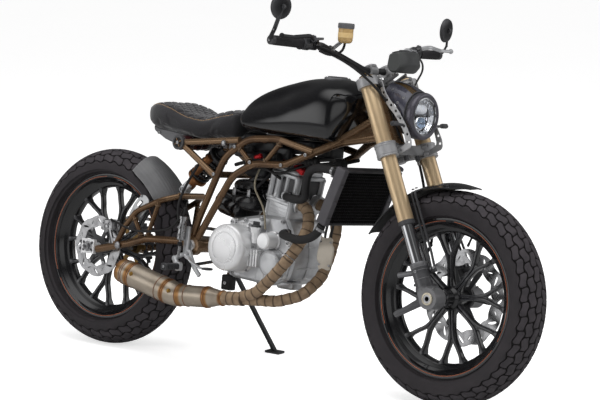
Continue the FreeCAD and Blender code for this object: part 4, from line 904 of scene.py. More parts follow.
BRONZE = Finish("bronze_paint", srgb(112, 86, 62), 0.27, 0.78, second=srgb(84, 62, 45), patch=70,
                coat=0.25, share=0.6, worn=srgb(150, 122, 94))
GOLD_TUBE = Finish("gold_anodised", srgb(240, 212, 172), 0.36, 0.8, second=srgb(230, 200, 158),
                   patch=160, depth=0.3)
GOLD_DARK = Finish("dark_gold", srgb(160, 128, 80), 0.34, 0.85, second=srgb(120, 92, 56), patch=30)
CAST_SILVER = Finish("cast_alloy", srgb(206, 207, 209), 0.34, 0.72, Grain.CAST,
                     second=srgb(168, 169, 172), patch=55, share=0.6, depth=0.45)
SMOOTH_SILVER = Finish("painted_alloy", srgb(226, 226, 227), 0.28, 0.45, second=srgb(196, 197, 199),
                       patch=90, share=0.4, depth=0.4)
STEEL = Finish("brushed_steel", srgb(196, 196, 198), 0.26, 1.0, Grain.BRUSHED, second=srgb(150, 150, 152),
               patch=24)
BOLT = Finish("plated_bolt", srgb(186, 186, 188), 0.3, 1.0, second=srgb(120, 120, 122), patch=12)
CHROME = Finish("chrome", srgb(226, 227, 230), 0.06, 1.0, Grain.PEEL, second=srgb(206, 207, 210),
                depth=0.3)
DARK_CAST = Finish("dark_casting", srgb(84, 84, 86), 0.46, 0.5, Grain.CAST, second=srgb(60, 60, 62),
                   patch=35, depth=0.6, worn=srgb(130, 130, 132))
GREY_PLASTIC = Finish("grey_plastic", srgb(96, 96, 98), 0.5, second=srgb(78, 78, 80), patch=60)
BRASS = Finish("brass", srgb(190, 152, 84), 0.3, 1.0, second=srgb(140, 104, 58), patch=12)
RED_ALLOY = Finish("red_anodised", srgb(186, 30, 36), 0.28, 0.6, second=srgb(140, 20, 28), patch=20)
WRAP = Wrap("pipe_wrap", srgb(132, 112, 90), 0.92, second=srgb(92, 74, 58), patch=26, share=0.6)
TITANIUM = HeatTint("raw_titanium", srgb(196, 184, 168), 0.33, 0.85, Grain.BRUSHED,
                    second=srgb(166, 150, 132), patch=50)
COPPER_LINE = Finish("copper_line", srgb(158, 112, 84), 0.35, 0.8, second=srgb(120, 80, 60), patch=14)
SEAT_CLOTH = Cloth("seat_cloth", srgb(27, 26, 29), 0.86, second=srgb(50, 48, 52), patch=90)
THREAD = Finish("tan_thread", srgb(176, 140, 92), 0.75, second=srgb(140, 108, 68), patch=3)
LENS = Glass("lamp_glass", srgb(250, 251, 253), 0.01)
BLUE_LENS = Glass("projector_glass", srgb(176, 200, 226), 0.03, clear=0.75)
FLUID = Glass("amber_fluid", srgb(196, 164, 112), 0.16, clear=0.35)
SMOKED = Glass("smoked_glass", srgb(60, 62, 64), 0.05, clear=0.5)
MIRROR_GLASS = Finish("mirror_glass", srgb(214, 218, 222), 0.02, 1.0, Grain.PEEL,
                      second=srgb(200, 204, 208), depth=0.1)


@dataclass(frozen=True)
class Studio:
    """The plain room, its light and the camera.

    Attributes:
        eye: where the camera stands, in metres.
        aim: what it looks at, in metres.
        lens: focal length in millimetres.
        sensor: the sensor's width in millimetres.
        floor_half: half the floor's side, in metres.
        floor_glow: how much of the floor's brightness comes from the floor itself in the picture.
        strength: strength of the even light.
        dark: how bright the tent is in reflections, away from its lights.
        glows: heading, cosines where it starts and is full, and strength of the lights in reflections.
        lamps: name, place, width, height and watts of each soft box.
        lit: what the soft boxes are turned to.
    """

    eye: Point = (5.44768, -6.60115, 1.95735)
    aim: Point = (0.15032, -0.16058, 0.60505)
    lens: float = 153.4
    sensor: float = 36.0
    floor_half: float = 20.0
    floor_glow: float = 0.6
    strength: float = 0.46
    dark: float = 0.07
    glows: tuple[tuple[Point, float, float, float], ...] = (
        ((0.0, -0.15, 1.0), 0.72, 0.98, 1.0), ((0.75, -0.62, 0.3), 0.92, 0.995, 0.55),
        ((-0.6, -0.78, 0.12), 0.86, 0.985, 0.95), ((0.6, 0.75, 0.35), 0.9, 0.99, 0.8),
    )
    lamps: tuple[tuple[str, Point, float, float, float], ...] = (
        ("overhead", (0.2, -0.6, 4.2), 4.5, 3.0, 150.0), ("beside", (-1.5, -5.0, 2.4), 3.0, 2.0, 90.0),
        ("ahead", (4.5, 0.8, 2.2), 2.0, 2.2, 60.0),
    )
    lit: Point = (0.0, -0.1, 0.5)

    def camera(self) -> None:
        """Set the camera, upright, looking at its aim."""
        lens = bpy.data.cameras.new("camera")
        lens.lens = self.lens
        lens.sensor_width = self.sensor
        lens.clip_end = 3 * self.floor_half
        holder = bpy.data.objects.new("camera", lens)
        back = np.subtract(self.eye, self.aim)
        holder.matrix_world = aimed(self.eye, back, np.cross((0.0, 0.0, 1.0), back)).T.tolist()
        bpy.context.scene.collection.objects.link(holder)
        bpy.context.scene.camera = holder

    def floor_material(self) -> bpy.types.Material:
        """Pale floor that takes the object's shadow, brighter to the eye and dim in reflections.

        Returns:
            The finished material.
        """
        nodes = Nodes("floor_paper")
        path = nodes.make("ShaderNodeLightPath").outputs
        shade = nodes.spread(nodes.noise(900.0, 2.0), 0.3, 0.7, 0.0, 0.3)
        pale = nodes.mix(shade, (0.8, 0.8, 0.8), (0.77, 0.77, 0.77))
        white = nodes.mix(path["Is Glossy Ray"], pale, (0.3, 0.3, 0.3))
        glow = nodes.maths("MULTIPLY", path["Is Camera Ray"], self.floor_glow)
        return nodes.finish(Base_Color=white, Roughness=0.9,
                            Specular_IOR_Level=0.1, Normal=nodes.raised(nodes.noise(3.0, 3.0), 0.02),
                            Emission_Color=(1.0, 1.0, 1.0), Emission_Strength=glow)

    def floor(self) -> None:
        """Lay the floor at height nought."""
        half = self.floor_half
        corners = [(-half, -half, 0), (half, -half, 0), (half, half, 0), (-half, half, 0)]
        mesh = bpy.data.meshes.new("floor")
        mesh.from_pydata(corners, [], [(0, 1, 2, 3)])
        mesh.materials.append(self.floor_material())
        sheet = bpy.data.objects.new("floor", mesh)
        bpy.context.scene.collection.objects.link(sheet)

    def tent(self, nodes: Tree) -> bpy.types.NodeSocket:
        """What reflections see: a dark tent, plus lights whose edges fade with the angle off a heading.

        Args:
            nodes: the world's node tree.
        Returns:
            The brightness, by the cosine of the angle away from each light.
        """
        heading = nodes.make("ShaderNodeTexCoord").outputs["Generated"]
        total = self.dark
        for toward, start, full, power in self.glows:
            along = nodes.make("ShaderNodeVectorMath", operation="DOT_PRODUCT")
            nodes.feed(along.inputs[0], heading)
            nodes.feed(along.inputs[1], unit(toward).tolist())
            total = nodes.maths("ADD", nodes.spread(along.outputs["Value"], start, full, 0.0, power), total)
        return total

    def sky(self) -> None:
        """Even light from all round, white to the eye; reflections see the tent."""
        world = bpy.data.worlds.new("tent")
        world.use_nodes = True
        nodes = Tree(world.node_tree)
        path = nodes.make("ShaderNodeLightPath").outputs
        light = nodes.tree.nodes["Background"]
        light.inputs["Color"].default_value = (1.0, 1.0, 1.0, 1.0)
        nodes.feed(light.inputs["Strength"],
                   nodes.spread(path["Is Glossy Ray"], 0.0, 1.0, self.strength, self.tent(nodes)))
        white = nodes.make("ShaderNodeBackground")
        white.inputs["Color"].default_value = (1.0, 1.0, 1.0, 1.0)
        seen = nodes.maths("MAXIMUM", path["Is Camera Ray"], path["Is Transmission Ray"])
        blend = nodes.make("ShaderNodeMixShader")
        for socket, value in zip(blend.inputs, (seen, light.outputs[0], white.outputs[0])):
            nodes.feed(socket, value)
        nodes.feed(nodes.tree.nodes["World Output"].inputs["Surface"], blend.outputs[0])
        bpy.context.scene.world = world

    def lights(self) -> None:
        """Hang the soft boxes overhead, beside the camera and ahead; reflections don't show them."""
        for name, spot, width, height, watts in self.lamps:
            lamp = bpy.data.lights.new(name, "AREA")
            lamp.shape = "RECTANGLE"
            lamp.size, lamp.size_y, lamp.energy = width, height, watts
            holder = bpy.data.objects.new(name, lamp)
            holder.matrix_world = aimed(spot, np.subtract(spot, self.lit), (1.0, 0.0, 0.0)).T.tolist()
            holder.visible_glossy = False
            bpy.context.scene.collection.objects.link(holder)

    def build(self) -> None:
        """Everything round the object, shown without a tone curve."""
        bpy.context.scene.view_settings.view_transform = "Standard"
        self.camera()
        self.floor()
        self.sky()
        self.lights()


@dataclass
class OnWheel:
    """Something that turns with a wheel, worked out about the wheel's own axle, which runs along y.

    Attributes:
        front: whether it is the front wheel's.
    """

    front: bool

    def mount(self, shape: Shape, part: str, finishes: Sequence[Finish], sharp: float, slot: str,
              node: str) -> None:
        """Build a piece with the wheel's word before its name, riding on that wheel.

        Args:
            shape: its surfaces.
            part: the rest of its name.
            finishes: its finishes, by mark.
            sharp: angle in degrees past which an edge stays sharp.
            slot: passed on to Shape.build.
            node: the rest of the name of the CAD node that it is shown instead of.
        """
        word = "front" if self.front else "rear"
        shape.build(f"{word}_{part}", STANCE.hub(self.front), finishes, f"{word}_wheel", [f"{word}_{node}"],
                    sharp, slot)


@dataclass
class Tyre(OnWheel):
    """A block-tread tyre.

    Attributes:
        front: which wheel it is on.
        half: half its width.
        drop: how far the shoulder lies below the crown.
        rim_half: half the rim's width.
        pitch: length of a tread block round the tyre.
        columns: tread blocks across the crown.
        column: width of a block.
        radius: radius at the crown.
        bead: radius at the bead.
        tread: depth of the grooves.
        groove: width of the grooves.
        slant: how far a row leans round the tyre for each step across it.
        swing: how far a groove swings to each side, as a share of a block's width.
        samples: points along the groove for each block.
        beyond: the least room between the tread and the shoulder that gets a rounded shoulder.
        wall_tone: how light the side wall is, against 1 for the blocks' tops.
    """

    half: float
    drop: float
    rim_half: float
    pitch: float
    columns: int
    column: float
    radius: float = 345.0
    bead: float = 241.3
    tread: float = 4.2
    groove: float = 3.6
    slant: float = 0.28
    swing: float = 0.13
    samples: int = 10
    beyond: float = 12.0
    wall_tone: float = 0.6

    def crown(self) -> float:
        """Radius of the crown across the tyre."""
        return (self.half ** 2 + self.drop ** 2) / (2 * self.drop)

    def count(self) -> int:
        """Whole number of blocks round the tyre."""
        return round(TAU * self.radius / self.pitch)

    def on_crown(self, along: Array, across: Array, sunk: Array | float) -> Array:
        """Point of the crown: an arc across, turned about the axle.

        Args:
            along: length round the tyre, at the crown.
            across: length across the crown from its middle.
            sunk: depth below the tread's top.
        Returns:
            Points with the axle along y.
        """
        arc = self.crown()
        angle = across / arc
        reach = self.radius - arc + (arc - sunk) * np.cos(angle)
        turn = along / self.radius
        return np.stack([reach * np.sin(turn), (arc - sunk) * np.sin(angle), reach * np.cos(turn)], -1)

    def wave(self, line: int, along: Array) -> Array:
        """Where groove number line runs: straight round the tyre, plus a sine once in each block."""
        swing = self.swing * self.column * np.sin(TAU * along / self.pitch)
        return (line - self.columns / 2) * self.column + swing

    def blocks(self, shape: Shape) -> None:
        """Raise the blocks: rounded oblongs between two wavy grooves, each column half a block on.

        Args:
            shape: where the surfaces go.
        """
        count = self.count()
        pitch = TAU * self.radius / count
        oblong = soft_box(2.0, 2.0, 4.4, 24)
        # Each ring's tone runs from one on the block's top to nought at its foot, so the block's sides
        # darken into the groove colour as painted shade.
        rings = ((1.04, self.tread + 0.5, 0.0), (1.0, 0.9, 0.55), (0.94, 0.0, 1.0), (0.5, 0.0, 1.0))
        tone = np.repeat([ring_tone for _, _, ring_tone in rings], len(oblong))
        for column in range(self.columns):
            for number in range(count):
                middle = (number + 0.5 * (1 - column % 2)) * pitch
                rows = []
                for share, sunk, _ in rings:
                    spots = oblong * share
                    along = middle + spots[:, 0] * (pitch - self.groove) / 2
                    low, high = (self.wave(line, along * self.pitch / pitch)
                                 for line in (column, column + 1))
                    width = (high - low - self.groove) / 2
                    across = (low + high) / 2 + spots[:, 1] * width
                    rows.append(self.on_crown(along + self.slant * np.abs(across), across, sunk))
                shape.grid(np.array(rows), tone=tone)

    def carcass(self, shape: Shape) -> None:
        """Wall, lips that follow the outer grooves, and the floor of the grooves, as one closed skin.

        Args:
            shape: where the surfaces go.
        """
        count = self.count() * self.samples
        along = np.arange(count) * TAU * self.radius / count
        edge = self.groove / 2
        bead_half = self.rim_half - 6.3
        arc = self.crown()
        reach = self.columns / 2 * self.column + self.swing * self.column + edge
        last = math.asin(min(self.half / arc, 1.0)) * arc

        def wall(radius: float, y: float) -> Array:
            """A plain ring of the wall."""
            turn = (along + self.slant * reach) / self.radius
            return np.stack([radius * np.sin(turn), np.full(count, y), radius * np.cos(turn)], -1)

        rows, tones = [], []
        for side in (1, -1):
            flank = [wall(self.bead, side * bead_half), wall(256, side * bead_half),
                     wall(257.5, side * (bead_half + 2.5)), wall(262, side * (bead_half + 3.5)),
                     wall(264, side * self.half * 0.86), wall(275, side * self.half * 0.93)]
            if last > reach + self.beyond:
                beyond = [self.on_crown(along + self.slant * reach, np.full(count, side * far), 0.0)
                          for far in np.linspace(last, reach + 4, 5)]
            else:
                beyond = [wall(self.radius - self.drop - 6, side * self.half * 0.995)]
            line = self.columns if side > 0 else 0
            lip = self.wave(line, along * self.pitch * self.count() / (TAU * self.radius)) + side * edge
            bend = along + self.slant * np.abs(lip)
            lips = [self.on_crown(bend, lip + side * 1.2, 0.0), self.on_crown(bend, lip, 0.8),
                    self.on_crown(bend, lip - side * 0.6, self.tread)]
            part = flank + beyond + lips
            # The lips' tone falls to nought towards the groove floor: painted shade in the grooves.
            shades = [self.wall_tone] * (len(part) - 2) + [0.5, 0.0]
            rows.append(part if side > 0 else part[::-1])
            tones.append(shades if side > 0 else shades[::-1])
        # The groove floor takes tone nought, the dark groove colour: painted shade.
        floor = [self.on_crown(along, np.full(count, across), self.tread)
                 for across in np.linspace(reach * 0.9, -reach * 0.9, 9)]
        skin = np.array(rows[0] + floor + rows[1])
        tone = np.repeat(tones[0] + [0.0] * len(floor) + tones[1], count)
        shape.grid(skin, closed=True, tone=tone)

    def build(self) -> None:
        """The whole tyre on its wheel."""
        shape = Shape()
        self.carcass(shape)
        self.blocks(shape)
        self.mount(shape, "tyre_tread", [RUBBER], 40.0, "tyre", "tyre")


@dataclass
class Rim(OnWheel):
    """A cast wheel with eight forked spokes.

    Attributes:
        half: half the rim's width.
        hub_right: how far the hub reaches to the right.
        hub_left: how far it reaches to the left.
        bore: radius of the hub's hole.
        spokes: how many spokes.
        turn: angle of the first spoke from straight up, in degrees.
        hub: radius of the hub.
        fork: radius where each spoke parts in two.
        barrel: radius where the spokes meet the barrel.
    """

    half: float
    hub_right: float
    hub_left: float
    bore: float
    spokes: int = 8
    turn: float = 0.0
    hub: float = 31.0
    fork: float = 128.0
    barrel: float = 214.0

    def ring(self, shape: Shape) -> None:
        """Barrel with two flanges and a deep dish, as a loop turned about the axle."""
        half = self.half
        outer = [(241, 0), (241, half - 12), (244, half - 6), (256, half - 6), (257, half - 3), (256, half),
                 (249, half + 0.4), (243, half - 3), (237, half - 13), (226, 26), (216, 20), (209, 13),
                 (208, 0)]
        loop = outer + [(radius, -y) for radius, y in outer[-2:0:-1]]
        spots = crowned(loop + loop[:1], 2.2, 3)[:-1]
        shape.turned(spots, turning((1, 0, 0), -90), 144, closed=True)

    def spoke(self, shape: Shape, angle: float) -> None:
        """Two ridges side by side that part into a fork, with a sunk web between them.

        Args:
            shape: where it is added.
            angle: its angle, in degrees.
        """
        place = turning((0, 1, 0), angle)
        spread = math.radians(90 / self.spokes)
        for side in SIDES:
            tip = np.array((side * self.barrel * math.sin(spread), 0, self.barrel * math.cos(spread)))
            line = flowing([(side * 7.5, 0, self.hub - 5), (side * 5.2, 0, 66), (side * 5.0, 0, 104),
                            (side * 8.5, 0, self.fork + 6), (side * 24.0, 0, 168), tip], 7)
            run = np.linspace(0, 1, len(line))
            width = (10.5 - 1.5 * smooth(run, 0, 0.3) + 3.5 * smooth(run, 0.35, 0.6)
                     + 9 * smooth(run, 0.9, 1))
            depth = 25 - 3 * smooth(run, 0.0, 0.6) + 12 * smooth(run, 0.86, 1.0)
            section = soft_box(1, 1, 4.5, 16)[None] * np.stack([width, depth], -1)[:, None]
            shape.grid(put(carried(line, section, (0, 1, 0)), place))
        web = np.array([(-6, self.hub - 6), (-5, 66), (-5, self.fork - 8), (-12, self.fork + 17),
                        (-4.5, self.fork + 12), (0, self.fork + 9.5), (4.5, self.fork + 12),
                        (12, self.fork + 17), (5, self.fork - 8), (5, 66), (6, self.hub - 6)])
        shape.plate(web, 13, place @ turning((1, 0, 0), 90))

    def middle(self, shape: Shape) -> None:
        """Hub with stepped ends."""
        left, right = self.hub_left, -self.hub_right
        profile = [(self.bore, right), (self.hub - 5, right), (self.hub - 3, right + 3),
                   (self.hub - 3, -26), (self.hub + 8, -16), (self.hub + 10, 0), (self.hub + 8, 16),
                   (self.hub - 3, 26), (self.hub - 3, left - 3), (self.hub - 5, left), (self.bore, left)]
        shape.turned(crowned(profile, 2.0, 3), turning((1, 0, 0), -90), 56, closed=True)

    def stripes(self, shape: Shape) -> None:
        """Copper pinstripe round each flange, broken at three places."""
        for side in SIDES:
            for start in range(0, 360, 120):
                angle = np.radians(np.linspace(start + 4, start + 116, 48))
                line = np.stack([246.5 * np.sin(angle), np.full(48, side * (self.half - 0.2)),
                                 246.5 * np.cos(angle)], -1)
                shape.tube(line, 0.95, 6, mark=1)

    def small_parts(self, shape: Shape) -> None:
        """Hub bolts on both sides and the valve."""
        for side, reach in ((1, self.hub_left), (-1, self.hub_right)):
            for angle in ring(5 + self.front, 0.3):
                spot = (24 * math.sin(angle), side * (reach - 0.2), 24 * math.cos(angle))
                shape.screw(spot, (0, side, 0), 4.2, 3.4, mark=2)
        place = turning((0, 1, 0), self.turn + 22.5)
        shape.turned([(3.4, 0), (3.4, 22), (4.2, 22), (4.2, 32), (3.2, 34)],
                     place @ aimed((0, 6, 209), (0, -0.25, -1)), 12, mark=3)

    def build(self) -> None:
        """The whole wheel."""
        shape = Shape()
        self.ring(shape)
        for number in range(self.spokes):
            self.spoke(shape, self.turn + number * 360 / self.spokes)
        self.middle(shape)
        self.stripes(shape)
        self.small_parts(shape)
        self.mount(shape, "wheel_casting", [RIM_BLACK, PINSTRIPE, BOLT, SOFT_RUBBER], 32.0, "rim", "rim")


@dataclass
class BrakeDisc(OnWheel):
    """A wavy brake disc on a dark carrier.

    Attributes:
        radius: outer radius.
        offset: where it stands along the axle.
        inner: inner radius of the braking ring.
        lobes: waves round the rim.
        arms: arms of the carrier.
        bore: radius of the carrier's hole.
        thick: thickness of the braking ring.
    """

    radius: float
    offset: float
    inner: float
    lobes: int
    arms: int
    bore: float
    thick: float = 4.4

    def wavy(self, radius: float, depth: float, phase: float = 0.0, count: int = 168) -> Array:
        """A ring whose radius dips in a flat-topped wave, once for each lobe."""
        angle = ring(count)
        dip = 0.5 - 0.5 * np.cos(self.lobes * angle + phase)
        return polar(radius - depth * dip ** 2, angle)

    def petal(self, angle: float, low: float, high: float, half: float, lean: float) -> Array:
        """A leaning oval window.

        Args:
            angle: where its middle lies.
            low: its inner radius.
            high: its outer radius.
            half: half its width.
            lean: how far its top lies round from its foot.
        Returns:
            Pairs round the window.
        """
        turn = ring(18)
        radius = (low + high) / 2 + (high - low) / 2 * np.cos(turn)
        swing = angle + (half * np.sin(turn) * (0.75 + 0.25 * np.cos(turn)) + lean * np.cos(turn)) / radius
        return polar(radius, swing)

    def build(self) -> None:
        """Ring with petal windows, carrier with arms, and the buttons that join them."""
        shape = Shape()
        width = self.radius - self.inner
        holes = [self.wavy(self.inner, -width * 0.14, math.pi)]
        for angle in ring(self.lobes):
            holes.append(self.petal(angle, self.inner + width * 0.3, self.radius - width * 0.22,
                                    width * 0.13, width * 0.2))
            holes.append(self.petal(angle + math.pi / self.lobes, self.inner + width * 0.34,
                                    self.radius - width * 0.42, width * 0.07, -width * 0.12))
        flat = moving(0, self.offset, 0) @ turning((1, 0, 0), 90)
        shape.plate(self.wavy(self.radius, width * 0.12), self.thick, flat, holes, 0.5)
        hub = self.bore + 15
        spots = []
        for angle in ring(self.arms):
            for shift, reach in ((-0.5, hub), (-0.16, hub + 3), (-0.11, self.inner - 3),
                                 (-0.06, self.inner + 5), (0.06, self.inner + 5), (0.11, self.inner - 3),
                                 (0.16, hub + 3)):
                spots.append(polar(reach, angle + shift * TAU / self.arms))
        carrier = moving(0, self.offset - math.copysign(1.5, self.offset), 0) @ turning((1, 0, 0), 90)
        shape.plate(np.array(spots), self.thick + 2.5, carrier, [disc(self.bore, 32)], 0.8, mark=1)
        for angle in ring(self.arms):
            spot = np.array((self.inner * math.cos(angle), self.offset, self.inner * math.sin(angle)))
            for side in SIDES:
                out = np.array((0, side, 0))
                shape.turned([(6.8, 0), (6.8, 1.4), (4.0, 1.8), (3.8, 0.6)],
                             aimed(spot + out * self.thick * 0.62, out), 18, mark=2)
        self.mount(shape, "brake_rotor", [STEEL, SATIN_BLACK, BOLT], 30.0, "disc", "disc")


@dataclass
class FinalDrive:
    """Rear sprocket on its gold carrier, and the chain round both sprockets.

    Attributes:
        offset: where the chain runs, left of the middle.
        radius: the chain's radius on the rear sprocket.
        teeth: teeth of the rear sprocket.
        front_spot: the front sprocket's middle from the rear one's.
        front_radius: the chain's radius on the front sprocket.
        links: links of the chain.
        pin: radius of a link's end.
    """

    offset: float = 94.0
    radius: float = 103.0
    teeth: int = 38
    front_spot: Point = (540.0, 0.0, 63.0)
    front_radius: float = 36.0
    links: int = 104
    pin: float = 6.2

    def sprocket(self) -> None:
        """Toothed ring: its radius follows a wave raised to a power, with nine round windows."""
        shape = Shape()
        angle = ring(self.teeth * 6)
        tooth = np.abs(np.cos(self.teeth * angle / 2)) ** 1.5
        outline = polar(self.radius - 5.5 + 7.0 * tooth, angle)
        flat = moving(0, self.offset, 0) @ turning((1, 0, 0), 90)
        windows = [disc(14, 20) + polar(80, around) for around in ring(9)]
        shape.plate(outline, 4.6, flat, [disc(58, 60)] + windows, 0.7)
        spots = []
        for number in range(6):
            for shift, out in ((-0.5, 40), (-0.2, 44), (-0.13, 66), (0.13, 66), (0.2, 44)):
                spots.append(polar(out, (number + shift) * TAU / 6))
        plate = moving(0, self.offset - 4.5, 0) @ turning((1, 0, 0), 90)
        shape.plate(np.array(spots), 5.0, plate, [disc(19, 32)], 0.8, mark=1)
        for angle in ring(6):
            spot = (61 * math.cos(angle), self.offset + 2.3, 61 * math.sin(angle))
            shape.screw(spot, (0, 1, 0), 5.5, 4, mark=2)
        shape.build("rear_sprocket_ring", STANCE.hub(False), [SATIN_BLACK, GOLD_DARK, BOLT], "rear_wheel",
                    ["rear_sprocket"], 30.0, "sprocket")

    def route(self) -> tuple[Array, Array]:
        """Pin places along the chain and the direction at each.

        The loop is two straight runs that touch both sprockets and an arc round each.

        Returns:
            The places, and a unit direction for each.
        """
        apart = np.array(self.front_spot)
        length = math.hypot(apart[0], apart[2])
        tilt = math.atan2(apart[2], apart[0])
        wrap = math.asin((self.radius - self.front_radius) / length)
        top, bottom = tilt + math.pi / 2 - wrap, tilt - math.pi / 2 + wrap
        small = np.linspace(top, bottom, 40)
        large = np.linspace(bottom, top - TAU, 80)
        line = np.concatenate([polar(self.front_radius, small) + apart[[0, 2]], polar(self.radius, large)])
        line = np.concatenate([line, line[:1]])
        spots = sampled(line, np.linspace(0, run_along(line)[-1], self.links, endpoint=False))
        return spots, np.roll(spots, -1, axis=0) - spots

    def chain(self) -> None:
        """Waisted plates on both sides, wider ones on every second link, and rollers on the pins."""
        shape = Shape()
        spots, steps = self.route()
        angle = ring(12)
        waist = 1.1 * (self.pin - 1.3 * np.sin(angle) ** 4)
        for number, (spot, step) in enumerate(zip(spots, steps)):
            pitch = np.linalg.norm(step)
            figure = np.stack([np.cos(angle) * (pitch / 2 + self.pin), np.sin(angle) * waist], -1)
            ahead = np.array((step[0], 0, step[1])) / pitch
            middle = np.array((spot[0], self.offset, spot[1])) + ahead * pitch / 2
            out = 5.6 if number % 2 else 3.9
            for side in SIDES:
                place = aimed(middle + np.array((0, side * out, 0)), (0, side, 0), ahead)
                faces = np.stack([lifted(figure, level) for level in (-0.7, 0.7)])
                shape.grid(put(faces, place), number % 2)
            place = aimed((spot[0], self.offset, spot[1]), (0, 1, 0))
            shape.turned([(2.4, -6.9), (2.4, -4), (4.6, -3.2), (4.6, 3.2), (2.4, 4), (2.4, 6.9)], place, 8,
                         mark=2)
        shape.build("drive_chain", STANCE.hub(False), [GOLD_DARK, DARK_CAST, BOLT], "chassis", ["chain"],
                    30.0, "chain")

    def build(self) -> None:
        """Sprocket and chain."""
        self.sprocket()
        self.chain()


def build_wheels() -> None:
    """Both wheels, their tyres and brakes, and the final drive."""
    Tyre(True, 70.0, 42.0, 49.0, 49.0, 6, 26.5).build()
    Tyre(False, 80.0, 74.0, 51.5, 52.0, 6, 30.0).build()
    Rim(True, 49.0, 60.0, 66.2, 13.0, turn=-8.0).build()
    Rim(False, 51.5, 83.2, 91.2, 12.5, turn=12.0).build()
    BrakeDisc(True, 158.0, 69.0, 104.0, 12, 6, 21.0).build()
    BrakeDisc(False, 108.0, -86.0, 66.0, 8, 6, 20.0).build()
    FinalDrive().build()


BRAID = Finish("braided_line", srgb(150, 142, 124), 0.4, 0.5, second=srgb(98, 90, 78), patch=4)
BOX_BLACK = Finish("air_box_black", srgb(17, 17, 19), 0.26, coat=0.6, grain=Grain.PEEL,
                   second=srgb(30, 30, 32))
RADIATOR_BLACK = Finish("radiator_black", srgb(27, 26, 28), 0.5, 0.2, second=srgb(40, 39, 42), patch=50,
                        worn=srgb(84, 82, 86))
FIN_BLACK = Finish("fin_black", srgb(12, 11, 13), 0.5, 0.3, second=srgb(26, 24, 27), patch=20)


